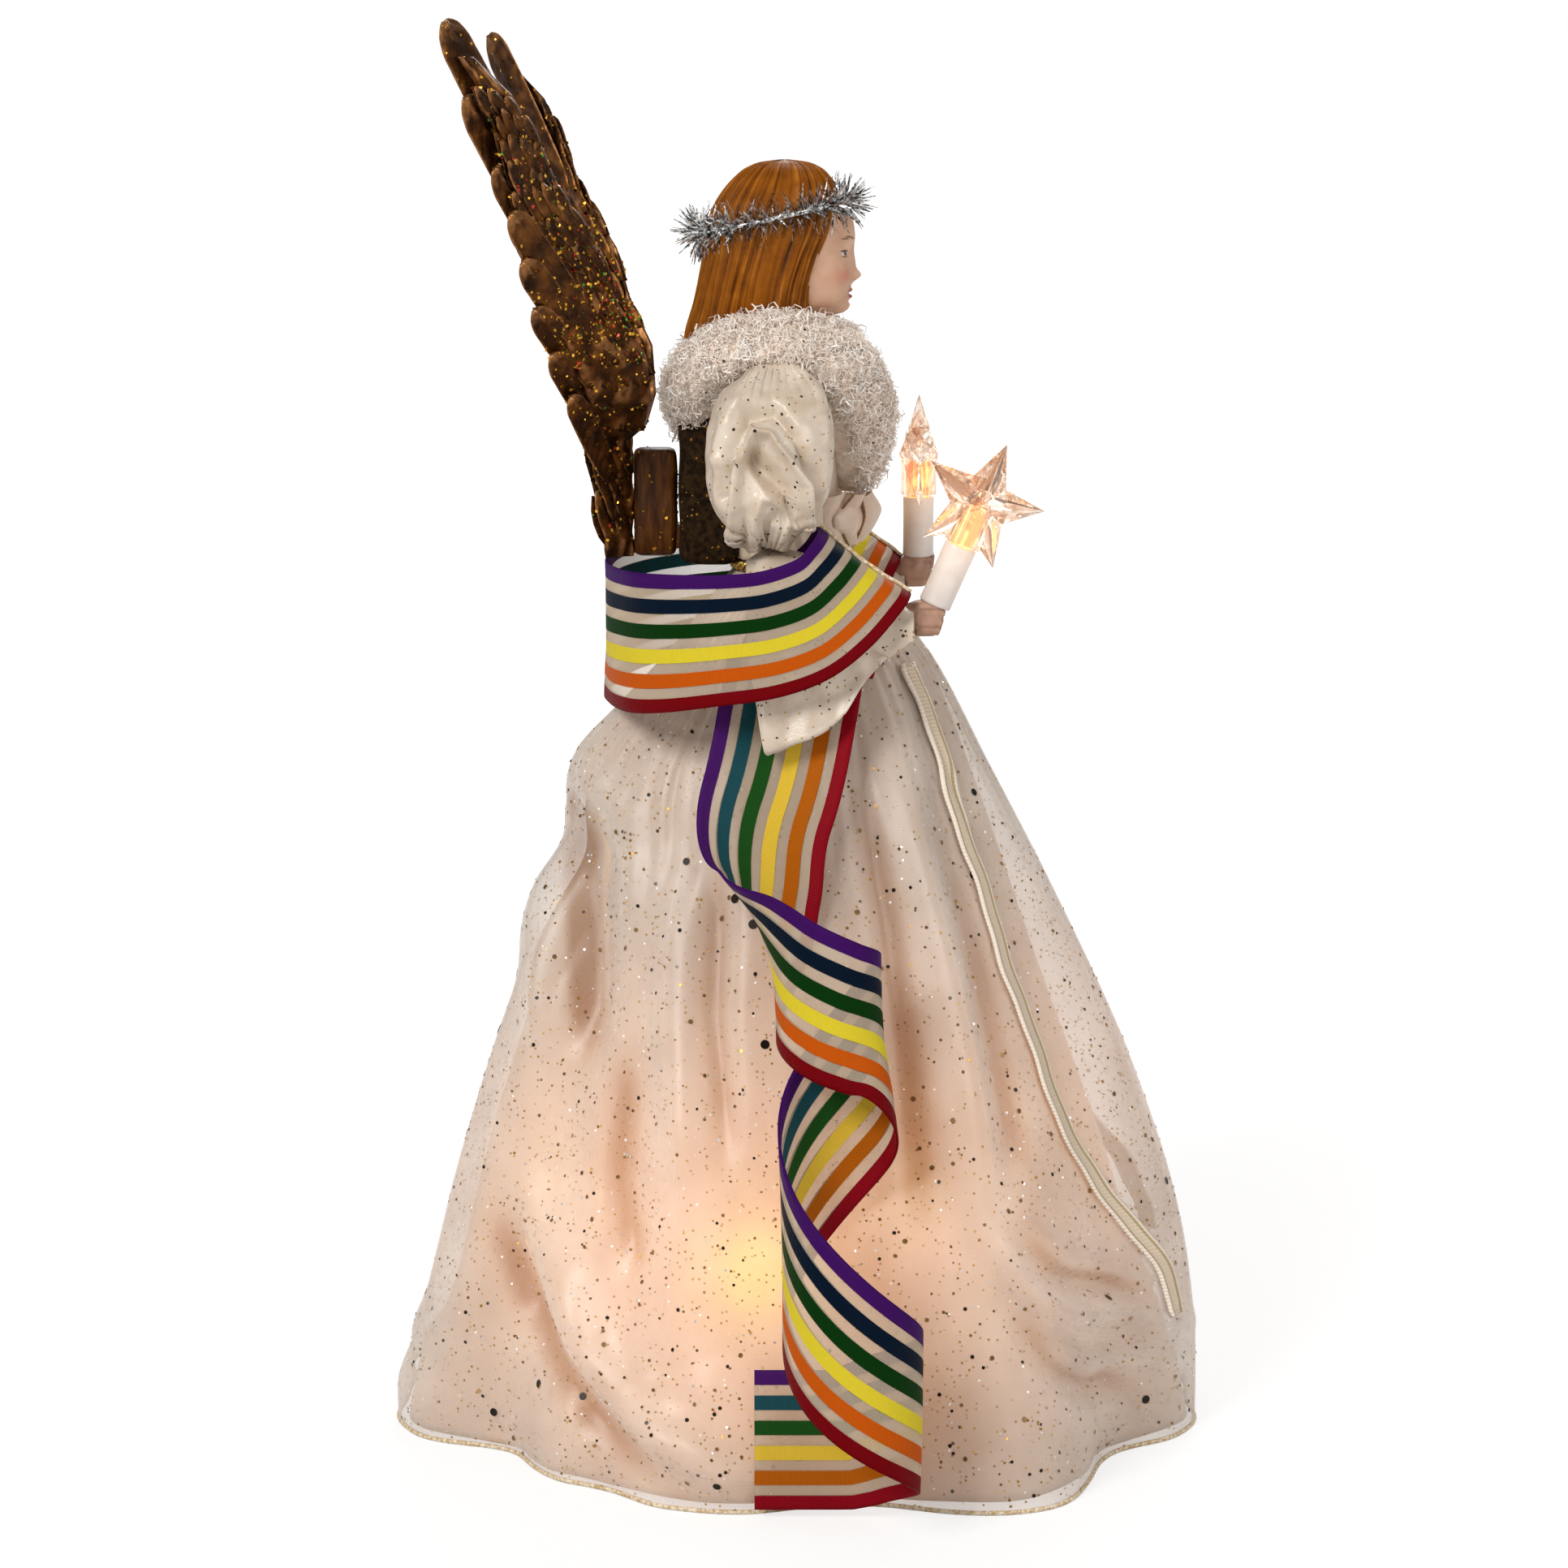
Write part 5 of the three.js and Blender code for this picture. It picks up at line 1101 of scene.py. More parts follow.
ivory_satin = satin("ivory satin", "#e6d6c2", "#c9b59c", False)
sleeve_organza = glittered_satin("glittered satin", "#e8dac9", "#c2ae99")
make_bodice()
for side_name, sign in (("right", -1), ("left", 1)):
    puff = make_sleeve(f"{side_name}_sleeve", f"{side_name}_puff_sleeve", sign)
    flakes(
        f"{side_name}_sleeve_glitter", puff, "figure", 3.2, 0.4, 0.8, 0.5, 41 + sign, dark_flake,
    )

# Bell cuffs
# Below the elbow each sleeve opens into a long bell of the same cloth, which lies along the forearm and
# hangs in a point under it. Its mouth is open round the wrist.

CUFF_START_X = -11.0
CUFF_LENGTH = 34.5
CUFF_TOP_HEIGHT = 196.0
CUFF_DROP = 42.0
CUFF_THICKNESS = 6.6
# Shares of the cuff's length, and its top and hanging edge as shares of its drop.
CUFF_SHARES = (
    (0, 0.06, 0.5), (0.05, 0.03, 0.7), (0.11, 0, 0.99), (0.17, 0, 1), (0.3, 0.01, 0.955), (0.5, 0.06, 0.885),
    (0.61, 0.1, 0.8), (0.7, 0.14, 0.68), (0.86, 0.22, 0.55), (1, 0.29, 0.46),
)
CUFF_SECTION_SHARES = ((0, 0), (0.05, 0.6), (0.16, 1), (0.32, 1), (0.5, 0.72), (0.75, 0.42), (1, 0.3))


def make_cuff(name, node, side):
    sections = []
    for share in np.linspace(0, 1, 110):
        top, low = read_table(CUFF_SHARES, share)
        depth = (low - top) * CUFF_DROP
        wide = CUFF_THICKNESS * (0.7 + 0.3 * smooth_step(0, 0.08, share))
        # The section is round down to this share of its depth, and a flat hanging fold below.
        round_share = min(1.0, CUFF_THICKNESS * 2 / depth)
        fold = round_share * 0.96
        drops = []
        for i, (down, thick) in enumerate(CUFF_SECTION_SHARES):
            drop = down * round_share * 3 if i < 4 else fold + (1 - fold) * (down - 0.32) / 0.68
            drops.append((i / 6, min(drop, 1.0), thick))
        t = np.linspace(0, 1, 46)
        drop, thick = read_table(drops, t)
        thick = np.maximum(thick, 0.02)
        hang = np.maximum(0, drop - round_share) * CUFF_THICKNESS * 2.1
        ripple = 0.5 * np.sin(share * 21 + drop * 3) * smooth_step(round_share, 1, drop)
        middle = side * (ARM_SPREAD + hang) + ripple
        z = CUFF_TOP_HEIGHT - top * CUFF_DROP - np.clip(drop, 0, 1) * depth
        x = CUFF_START_X + share * CUFF_LENGTH + 0 * t
        right, left = (np.stack([x, middle + turn * thick * wide * 0.97, z], axis=-1) for turn in (-1, 1))
        sections.append(np.concatenate([right, left[::-1][1:-1]]))
    # The mouth is folded in: the last rings go back inside the bell, a cloth's thickness smaller.
    mouth = sections[-1]
    centre = mouth[:24].mean(0)
    for back, shrink in ((0.6, 0.97), (0.9, 0.86), (-1.0, 0.8), (-5.0, 0.74), (-11.0, 0.66)):
        sections.append(centre + (mouth - centre) * shrink + [back, 0, 0])
    made = closed_form(name, np.array(sections), [sleeve_organza])
    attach(made, "figure")
    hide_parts(node)
    whole_cover(made)
    return made


for side_name, sign in (("right", -1), ("left", 1)):
    bell = make_cuff(f"{side_name}_cuff", f"{side_name}_bell_cuff", sign)
    flakes(
        f"{side_name}_cuff_glitter", bell, "figure", 7.0, 0.35, 0.65, 0.5, 51 + sign, dark_flake,
    )

# Head
# A small moulded head with a painted face: rosy cheeks, brown brows and eyes, coral lips. Its neck stands
# on the torso, inside the collar.

HEAD_BASE = TORSO_TOP_HEIGHT + FIT_GAP
HEAD_HEIGHT = 36.0
FACE_REACH = 13.4
HEAD_WIDTH = 21.5
# Shares of the head's height, then the back, the front and the half width.
HEAD_SHARES = (
    (0, -0.73, 0.02, 0.23), (0.17, -0.73, 0.1, 0.24), (0.21, -0.78, 0.6, 0.3), (0.26, -0.85, 0.8, 0.38),
    (0.34, -0.95, 0.84, 0.43), (0.45, -1.1, 0.87, 0.47), (0.58, -1.18, 0.87, 0.49),
    (0.68, -1.2, 0.91, 0.49), (0.8, -1.1, 0.85, 0.45), (0.92, -0.85, 0.6, 0.33), (1, -0.45, 0.15, 0.12),
)
# Shapes raised on the face: place across, height, half width, half height, and how far out.
FEATURES = (
    (0.0, 252.0, 1.0, 1.3, 1.75), (0.0, 254.6, 0.75, 2.6, 0.85), (0.0, 258.0, 0.7, 2.0, 0.25),
    (1.15, 251.3, 0.6, 0.6, 0.45), (0.0, 248.9, 1.8, 0.5, 0.55), (0.0, 247.5, 1.5, 0.5, 0.6),
    (0.0, 248.2, 2.0, 0.22, -0.4), (0.0, 244.9, 2.2, 1.4, 0.75), (0.0, 246.4, 1.8, 0.5, -0.35),
    (4.1, 256.9, 1.9, 1.3, -0.95), (4.2, 256.7, 1.15, 0.75, 0.75), (4.3, 259.8, 2.6, 0.6, 0.45),
    (5.2, 252.2, 2.5, 2.3, 0.45), (0.0, 262.0, 4.5, 3.0, 0.2),
)
# Paint: name, place across, height, half width, half height.
PAINTED = (
    ("blush", 5.4, 252.0, 2.1, 1.6), ("lips", 0.0, 248.7, 2.6, 0.62), ("lips", 0.0, 247.6, 2.2, 0.6),
    ("brow", 3.2, 260.1, 1.0, 0.24), ("brow", 4.5, 260.4, 1.1, 0.24), ("brow", 5.7, 260.0, 0.9, 0.22),
    ("white", 4.2, 256.75, 1.1, 0.42), ("iris", 4.15, 256.75, 0.72, 0.5), ("lash", 4.2, 257.35, 1.5, 0.26),
    ("lash", 4.3, 256.1, 1.2, 0.12),
)


def make_head():
    # The face is drawn with closer points than the rest.
    shares = [np.linspace(0, 0.2, 20), np.linspace(0.2, 0.7, 190)[1:], np.linspace(0.7, 1, 50)[1:]]
    quarter = math.pi / 2
    turns = [np.linspace(-quarter, quarter, 230), np.linspace(quarter, 3 * quarter, 72)[1:-1]]
    angle, share = np.meshgrid(np.concatenate(turns), np.concatenate(shares))
    back, front, half = read_table(HEAD_SHARES, share)
    z = HEAD_BASE + share * HEAD_HEIGHT
    x = (back + front) / 2 * FACE_REACH + (front - back) / 2 * FACE_REACH * np.cos(angle)
    y = half * HEAD_WIDTH * np.sin(angle)
    facing = smooth_step(0.0, 0.35, np.cos(angle))
    for across, height, wide, high, out in FEATURES:
        for sign in ((1,) if across == 0 else (1, -1)):
            x = x + out * facing * np.exp(-(((y - sign * across) / wide) ** 2) - ((z - height) / high) ** 2)
    # The chin and jaw are carried forward over the throat.
    x = x + 1.1 * facing * np.exp(-((z - 243.2) / 1.6) ** 2) * np.exp(-((y / 4.2) ** 2))
    paint = {row[0]: np.zeros_like(x) for row in PAINTED}
    for key, across, height, wide, high in PAINTED:
        for sign in ((1,) if across == 0 else (1, -1)):
            off = ((y - sign * across) / wide) ** 2 + ((z - height) / high) ** 2
            spot = np.exp(-off) if key == "blush" else np.clip(1.6 - 1.2 * off, 0, 1)
            paint[key] = np.maximum(paint[key], spot * facing)
    made = closed_form("painted_head", np.stack([x, y, z], axis=-1), [painted_flesh()], paint)
    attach(made, "figure")
    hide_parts("head")


def painted_flesh():
    """Flesh paint over moulded plastic, half matt, with the face's features brushed and stamped on."""
    material, tree, shader, place = new_material("painted flesh")
    skin = add_node(tree, "ShaderNodeTexNoise", {"Vector": place, "Scale": per_mm(5.0), "Detail": 3.0})
    shade = add_node(tree, "ShaderNodeValToRGB", {"Fac": skin}, [(0.3, "#c99a7c"), (0.7, "#dab093")])
    for key, tint, strength in (
        ("blush", "#cf7a68", 0.6), ("lips", "#9c3f38", 0.95), ("brow", "#6a4423", 0.8),
        ("white", "#efe9e2", 0.95), ("iris", "#3a2a1c", 0.95), ("lash", "#3a2416", 0.9),
    ):
        mask = add_node(tree, "ShaderNodeAttribute", attribute_name=key).outputs["Fac"]
        cover = add_node(tree, "ShaderNodeMath", {0: mask, 1: strength}, operation="MULTIPLY")
        ends = {0: cover, 6: shade, 7: colour(tint)}
        shade = add_node(tree, "ShaderNodeMix", ends, data_type="RGBA", clamp_factor=True)
    stipple = add_node(tree, "ShaderNodeTexNoise", {"Vector": place, "Scale": per_mm(0.6)})
    relief = add_node(tree, "ShaderNodeBump", {"Height": stipple, "Distance": 0.03 * MM})
    fill(tree, shader, {
        "Base Color": shade, "Roughness": 0.46, "Subsurface Weight": 0.06,
        "Subsurface Radius": (0.002, 0.001, 0.0006), "Subsurface Scale": 0.5, "Normal": relief,
    })
    return material


make_head()

# Hair
# A moulded plastic bob, painted auburn, is glued on the head. Its combed strands run down from a centre
# parting and flick out at the nape.

HAIR_LOW = 238.8
HAIR_HEIGHT = 38.0
HAIR_REACH = 24.0
HAIR_WIDTH = 28.4
HAIR_SHARES = (
    (0, -1.0, 0.16, 0.46), (0.14, -0.97, 0.16, 0.49), (0.3, -0.92, 0.19, 0.5), (0.45, -0.87, 0.26, 0.5),
    (0.6, -0.84, 0.36, 0.48), (0.76, -0.75, 0.39, 0.42), (0.9, -0.58, 0.31, 0.3), (0.96, -0.45, 0.2, 0.2),
    (0.99, -0.3, 0.06, 0.1), (1, -0.16, -0.08, 0.02),
)


def make_hair():
    angle, share = rings(420, np.linspace(0, 1, 220))
    back, front, half = read_table(HAIR_SHARES, share)
    draw = random.Random(7)
    combed = np.zeros_like(share)
    for count, height in ((23, 0.16), (41, 0.12), (73, 0.1), (118, 0.08), (187, 0.05)):
        phase, drift = draw.uniform(0, math.tau), draw.uniform(-1.4, 1.4)
        wander = 0.5 * np.sin(5 * angle + 3.1 * share + phase) + 0.35 * np.sin(9 * angle - 4 * share)
        combed += height * np.sin(count * angle + drift * share * 5 + 2.2 * wander + phase)
    parting = np.exp(-(angle / 0.1) ** 2) + np.exp(-((angle - math.tau) / 0.1) ** 2)
    combed = combed - 0.9 * parting * smooth_step(0.55, 0.75, share)
    flick = 0.9 * smooth_step(0.0, 0.2, 0.2 - share) * smooth_step(-0.2, 0.6, -np.cos(angle))
    locks = 0.5 * np.sin(9 * angle + 1.3) * smooth_step(0.1, 0.45, 0.45 - share)
    out = combed + flick + locks - 0.35
    # The side locks come well forward over the cheeks.
    forward = np.sign(np.cos(angle)) * np.abs(np.cos(angle)) ** np.where(np.cos(angle) > 0, 0.55, 1)
    x = (back + front) / 2 * HAIR_REACH + ((front - back) / 2 * HAIR_REACH + out) * forward
    y = (half * HAIR_WIDTH + out) * np.sin(angle)
    ends = 0.32 * np.abs(np.sin(4.5 * angle)) * smooth_step(0, 0.06, 0.06 - share)
    grid = np.stack([x, y, HAIR_LOW + share * HAIR_HEIGHT - ends], axis=-1)
    made = closed_form("bobbed_hair", grid, [auburn_paint()], {"strand": 0.5 + combed * 0.9})
    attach(made, "figure")
    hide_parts("hair")


def auburn_paint():
    """Brown paint, lighter on the high strands and darker in the grooves."""
    material, tree, shader, place = new_material("auburn hair paint")
    strand = add_node(tree, "ShaderNodeAttribute", attribute_name="strand").outputs["Fac"]
    patch = add_node(tree, "ShaderNodeTexNoise", {"Vector": place, "Scale": per_mm(3.0), "Detail": 4.0})
    both = add_node(tree, "ShaderNodeMath", {0: patch, 1: 0.7, 2: strand}, operation="MULTIPLY_ADD")
    both = add_node(tree, "ShaderNodeMath", {0: both, 1: -0.35}, operation="ADD")
    shade = add_node(tree, "ShaderNodeValToRGB", {"Fac": both}, [
        (0.05, "#4a2602"), (0.4, "#7c4203"), (0.7, "#945408"), (0.95, "#b0701f"),
    ])
    fill(tree, shader, {"Base Color": shade, "Roughness": 0.45, "Specular IOR Level": 0.12})
    return material


make_hair()

# Tinsel halo
# A wire ring wound with silver tinsel rests on the hair, a little higher in front. The strips of foil are
# slit from a film and stand out all round it.

HALO_DEPTH = 16.2
HALO_SPAN = 14.9
HALO_HEIGHT = 264.4
HALO_CENTRE_X = -5.5
HALO_TILT = math.radians(12)


def tinsel_tree():
    """Geometry nodes that stand foil strips out of a ring in every direction across it."""
    tree, given = new_tree(
        "tinsel", Object=("Strip",), Int=("Count", "Seed"), Float=("Shortest", "Longest", "Core"),
        Material=("Foil",),
    )
    line = add_node(tree, "GeometryNodeMeshToCurve", {"Mesh": given["Geometry"]})
    counted = {"Curve": line, "Count": given["Count"]}
    points = add_node(tree, "GeometryNodeCurveToPoints", counted, mode="COUNT")
    around = {0: (-0.5, -0.5, 0.0), 1: (0.5, 0.5, math.tau), 8: given["Seed"]}
    spin = add_node(tree, "FunctionNodeRandomValue", around, data_type="FLOAT_VECTOR")
    turn = add_node(tree, "FunctionNodeEulerToRotation", {"Euler": spin})
    facing = add_node(
        tree, "FunctionNodeRotateRotation", {"Rotation": points.outputs["Rotation"], "Rotate By": turn},
        rotation_space="LOCAL",
    )
    sizes = {2: given["Shortest"], 3: given["Longest"], 8: given["Seed"]}
    size = add_node(tree, "FunctionNodeRandomValue", sizes, data_type="FLOAT")
    scale = add_node(tree, "ShaderNodeCombineXYZ", {"X": size, "Y": 1.0, "Z": 1.0})
    shape = add_node(tree, "GeometryNodeObjectInfo", {"Object": given["Strip"]})
    placed = add_node(tree, "GeometryNodeInstanceOnPoints", {
        "Points": points, "Instance": shape.outputs["Geometry"], "Rotation": facing, "Scale": scale,
    })
    ring = add_node(tree, "GeometryNodeCurvePrimitiveCircle", {"Resolution": 8, "Radius": given["Core"]})
    wire = add_node(tree, "GeometryNodeCurveToMesh", {"Curve": line, "Profile Curve": ring})
    both = add_node(tree, "GeometryNodeJoinGeometry")
    tree.links.new(wire.outputs[0], both.inputs[0])
    tree.links.new(placed.outputs[0], both.inputs[0])
    return ended(tree, both, given["Foil"], smooth=False)


def make_halo():
    turn = np.arange(160) / 160 * math.tau
    x, y = HALO_DEPTH * np.cos(turn), HALO_SPAN * np.sin(turn)
    ring = np.stack([
        HALO_CENTRE_X + x * math.cos(HALO_TILT), y, HALO_HEIGHT + x * math.sin(HALO_TILT),
    ], axis=1)
    path = loop_of_edges("halo_path", ring)
    strip = template(
        "foil_strip", [
            (0, -0.22, 0), (0, 0.22, 0), (0.5, -0.3, 0.12), (0.5, 0.2, 0.12), (1.0, -0.08, 0.02),
            (1.0, 0.1, 0.02),
        ], [(0, 2, 3, 1), (2, 4, 5, 3)],
    )
    # Aluminised film, thin and crinkled: bright silver with grey where it turns away.
    foil = mottled(
        "silver foil", 0.9, [(0.42, "#4c5054"), (0.54, "#ffffff")], {"Metallic": 0.85, "Roughness": 0.28},
    )
    made = baked("tinsel_ring", path, tinsel_tree(), {
        "Strip": strip, "Count": 1150, "Seed": 5, "Shortest": 3.0, "Longest": 7.2, "Core": 0.5 * MM,
        "Foil": foil,
    })
    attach(made, "figure")
    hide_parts("tinsel_halo")


make_halo()

# Hands
# Moulded fists painted in flesh colour, each on a round wrist that comes out of its cuff. The fingers are
# closed in four rolls, and the candle's foot is let into the top.

HAND_X = 27.6
WRIST_HEIGHT = 182.6
CANDLE_FOOT = 3.0
# Name, side, height of the fist, lean of the candle and turn of the star about its stem, in degrees.
ARMS = (("right", -1, 181.4, 24.0, 0.0), ("left", 1, 184.2, 0.0, 90.0))
# From the wrist to the fingers: place ahead, half width, half height, and how square the section is.
HAND_RINGS = (
    (17.8, 2.1, 2.1, 2.0), (22.2, 2.15, 2.15, 2.0), (24.0, 2.9, 3.1, 2.4), (25.4, 3.3, 3.8, 3.4),
    (28.0, 3.35, 3.9, 3.8), (29.9, 3.2, 3.7, 3.4), (30.7, 2.6, 3.1, 2.8), (30.9, 1.3, 1.7, 2.2),
)
FINGER_GROOVES = (-1.9, 0.0, 1.9)
FOOT_HOLE_RADIUS = 3.9
FOOT_PLAY = 0.05


def stem(sign, height, lean):
    """The middle of a fist and the direction of the candle on it."""
    lean = math.radians(lean)
    return np.array([HAND_X, ARM_SPREAD * sign, height]), np.array([math.sin(lean), 0, math.cos(lean)])


def squared(turn, square):
    return np.sign(turn) * np.abs(turn) ** (2 / square)


def make_hand(side, sign, height, lean):
    angle, x = rings(96, np.linspace(HAND_RINGS[0][0], HAND_RINGS[-1][0], 90))
    wide, high, square = read_table(HAND_RINGS, x)
    y = wide * squared(np.sin(angle), square)
    z = high * squared(np.cos(angle), square)
    fist = smooth_step(24.4, 26.0, x)
    tips = smooth_step(29.0, 30.9, x)
    for groove in FINGER_GROOVES:
        pinch = fist * np.exp(-((z - groove) / 0.3) ** 2)
        y = y * (1 - 0.14 * pinch)
        x = x - 0.45 * pinch * tips
    thumb = np.exp(-((z - 1.6) / 1.1) ** 2 - ((x - 26.8) / 1.3) ** 2)
    thumb = thumb * smooth_step(0.5, 0.9, -np.sin(angle) * sign)
    y = y - 0.7 * sign * thumb
    x = x + z * 0.22 * fist
    z = z + WRIST_HEIGHT + (height - WRIST_HEIGHT) * smooth_step(18.6, 26.0, x)
    grid = np.stack([x, y + ARM_SPREAD * sign, z], axis=-1)
    middle, upward = stem(sign, height, lean)
    above = (grid - middle) @ upward
    beside = np.linalg.norm(grid - middle - above[..., None] * upward, axis=-1)
    over = np.where(beside < FOOT_HOLE_RADIUS, np.maximum(above - CANDLE_FOOT + FOOT_PLAY, 0), 0)
    made = closed_form(f"{side}_fist", grid - over[..., None] * upward, [shaded_hand_paint])
    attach(made, "figure")
    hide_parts(f"{side}_hand")


# The face's flesh paint, one coat and no detail, in soft patches, and darker than on the face as painted
# shade.
shaded_hand_paint = mottled(
    "painted hand", 2.5, [(0.3, "#a37b66"), (0.7, "#b8907a")], {"Roughness": 0.48}, 0.04, grain=0.6,
    Detail=3.0,
)
for side_name, sign, fist_height, lean, _ in ARMS:
    make_hand(side_name, sign, fist_height, lean)

# Candles and star covers
# Each candle is a white plastic tube with a miniature lamp in its mouth. A clear moulded star with cut
# facets slips over the lamp on a short collar and pulls off again.

CANDLE_TOP = 16.6
LAMP_SEAT = 16.9
STAR_SEAT = 26.2
STAR_RADIUS = 13.8
STAR_NOTCH = 6.3
STAR_HALF = 4.5
CANDLE_PROFILE = (
    (3.25, CANDLE_FOOT), (3.5, 3.3), (3.46, 6.0), (3.44, 13.0), (3.5, 16.2), (3.4, 16.55), (2.55, CANDLE_TOP),
    (2.32, 16.4), (2.3, 10.7),
)
LAMP_PROFILE = (
    (1.6, -5.0), (1.9, -4.7), (1.9, 0.0), (2.4, 1.0), (2.4, 5.8), (2.1, 6.9), (1.5, 8.0), (0.6, 9.1),
    (0.1, 9.6),
)
COLLAR_PROFILE = ((3.7, -9.3), (4.0, -9.0), (4.0, -1.0), (3.6, 0.0))
BORE_PROFILE = ((2.9, -10.5), (2.9, 0.0), (2.5, 1.5), (1.4, 2.5), (0.2, 2.9))


def turned(name, profile, middle, upward, materials, sides=56, smooth=True):
    """A round body about a stem: profile gives its radius and its place along the stem."""
    aside = np.array([0, 1.0, 0])
    ahead = np.cross(aside, upward)
    steps = np.linspace(0, len(profile) - 1, 5 * len(profile) - 4)
    radius, along = (np.interp(steps, range(len(profile)), column) for column in zip(*profile))
    turn = np.arange(sides) / sides * math.tau
    ring = ahead * np.cos(turn)[:, None] + aside * np.sin(turn)[:, None]
    grid = np.array([middle + upward * a + ring * r for r, a in zip(radius, along)])
    made = closed_form(name, grid, materials)
    made.data.polygons.foreach_set("use_smooth", [smooth] * len(made.data.polygons))
    return made


def near_lamp(made, lamp, reach):
    """Marks each vertex with how near it is to a lamp, as the attribute warm."""
    places = np.array([v.co for v in made.data.vertices]) / MM
    mark(made, "warm", np.exp(-(np.linalg.norm(places - lamp, axis=1) / reach) ** 2))


def candle_plastic():
    """Thin white polypropylene tube: milky, and lit from inside near the lamp."""
    material, tree, shader, place = new_material("milky candle tube")
    flow = add_node(tree, "ShaderNodeTexNoise", {"Vector": place, "Scale": per_mm(4.0)})
    shade = add_node(tree, "ShaderNodeValToRGB", {"Fac": flow}, [(0.3, "#ddd2ca"), (0.7, "#e9dfd8")])
    warm = add_node(tree, "ShaderNodeAttribute", attribute_name="warm").outputs["Fac"]
    power = add_node(tree, "ShaderNodeMath", {0: warm, 1: 0.3}, operation="MULTIPLY")
    fill(tree, shader, {
        "Base Color": shade, "Roughness": 0.38, "Emission Color": colour("#ffc79a"),
        "Emission Strength": power,
    })
    return material


def clear_star():
    """Clear moulded polystyrene with cut facets. The lamp's light caught in them is painted in peach, gold
    and pink, and some facets are painted brown as painted shade.
    """
    material, tree, shader, place = new_material("clear cut polystyrene")
    facet = add_node(tree, "ShaderNodeAttribute", attribute_name="facet").outputs["Fac"]
    warm = add_node(tree, "ShaderNodeAttribute", attribute_name="warm").outputs["Fac"]
    streak = add_node(tree, "ShaderNodeTexNoise", {
        "Vector": place, "Scale": per_mm(3.5), "Detail": 2.0, "Distortion": 1.2,
    })
    tone = add_node(tree, "ShaderNodeMath", {0: streak, 1: 0.9, 2: facet}, operation="MULTIPLY_ADD")
    tint = add_node(tree, "ShaderNodeValToRGB", {"Fac": tone}, [
        (0.4, "#ffffff"), (0.65, "#fff3ea"), (0.85, "#f3d5c0"), (1.0, "#b07c5a"),
    ])
    light = add_node(tree, "ShaderNodeValToRGB", {"Fac": tone}, [
        (0.3, "#fff8e6"), (0.6, "#ffeccb"), (0.9, "#ffd4ae"), (1.0, "#ffe2d2"),
    ])
    power = add_node(tree, "ShaderNodeMath", {0: warm, 1: 0.2}, operation="MULTIPLY")
    fill(tree, shader, {
        "Base Color": tint, "Roughness": 0.03, "IOR": 1.55, "Transmission Weight": 0.97,
        "Emission Color": light, "Emission Strength": power,
    })
    return material


def cut_star():
    """The star's own facets about its middle: five points, each facet with a raised fold."""
    points = []
    for i in range(10):
        radius = STAR_RADIUS if i % 2 == 0 else STAR_NOTCH
        turn = math.pi / 2 + i / 10 * math.tau
        points.append((radius * math.cos(turn), 0, radius * math.sin(turn)))
    points += [(0, -STAR_HALF, 0), (0, STAR_HALF, 0)]
    faces = []
    for i in range(10):
        j = (i + 1) % 10
        for apex, out in ((10, -1), (11, 1)):
            a, b, c = (np.array(points[k]) for k in (i, j, apex))
            fold = a * 0.3 + b * 0.32 + c * 0.38 + np.array([0, out * 0.45, 0])
            points.append(tuple(fold))
            k = len(points) - 1
            faces += [(i, j, k), (j, apex, k), (apex, i, k)]
    return np.array(points), faces


def combined(made, other, operation):
    """Adds or cuts another body, which is then dropped."""
    modifier = made.modifiers.new(operation.lower(), "BOOLEAN")
    modifier.operation = operation
    modifier.solver = "EXACT"
    modifier.object = other
    graph = bpy.context.evaluated_depsgraph_get()
    graph.update()
    mesh = bpy.data.meshes.new_from_object(made.evaluated_get(graph), depsgraph=graph)
    made.modifiers.remove(modifier)
    made.data = mesh
    bpy.data.objects.remove(other)


def make_star(side, sign, height, lean, turn):
    middle, upward = stem(sign, height, lean)
    local, faces = cut_star()
    spun = local @ np.array(Matrix.Rotation(math.radians(turn), 3, "Z").transposed())
    lean_turn = np.array(Matrix.Rotation(math.radians(lean), 3, "Y").transposed())
    centre = middle + upward * STAR_SEAT
    made = mesh_piece(f"{side}_star", spun @ lean_turn + centre, faces, [star_plastic], smooth=False)
    face_outwards(made)
    combined(made, turned("collar", COLLAR_PROFILE, centre, upward, [star_plastic], 24, False), "UNION")
    combined(made, turned("bore", BORE_PROFILE, centre, upward, [star_plastic], 24, False), "DIFFERENCE")
    made.data.name = made.name
    faces_out = np.array([p.normal for p in made.data.polygons])
    mixed = np.sin(np.round(faces_out, 2) @ np.array([12.9898, 78.233, 37.719])) * 437.585
    mark(made, "facet", (mixed - np.floor(mixed)) * 0.75, "FACE")
    near_lamp(made, middle + upward * (LAMP_SEAT + 5.0), 8.5)
    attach(made, f"{side}_star")
    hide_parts(f"{side}_star_cover")


def make_candle(side, sign, height, lean):
    middle, upward = stem(sign, height, lean)
    tube_made = turned(f"{side}_candle_tube", CANDLE_PROFILE, middle, upward, [candle_tube])
    near_lamp(tube_made, middle + upward * (LAMP_SEAT + 1.0), 8.0)
    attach(tube_made, "figure")
    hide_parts(f"{side}_candle")
    lamp = turned(f"{side}_candle_lamp", LAMP_PROFILE, middle + upward * LAMP_SEAT, upward, [bulb_glass])
    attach(lamp, "figure")
    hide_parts(f"{side}_candle_bulb")


candle_tube = candle_plastic()
star_plastic = clear_star()
for side_name, sign, fist_height, lean, star_turn in ARMS:
    make_candle(side_name, sign, fist_height, lean)
    make_star(side_name, sign, fist_height, lean, star_turn)

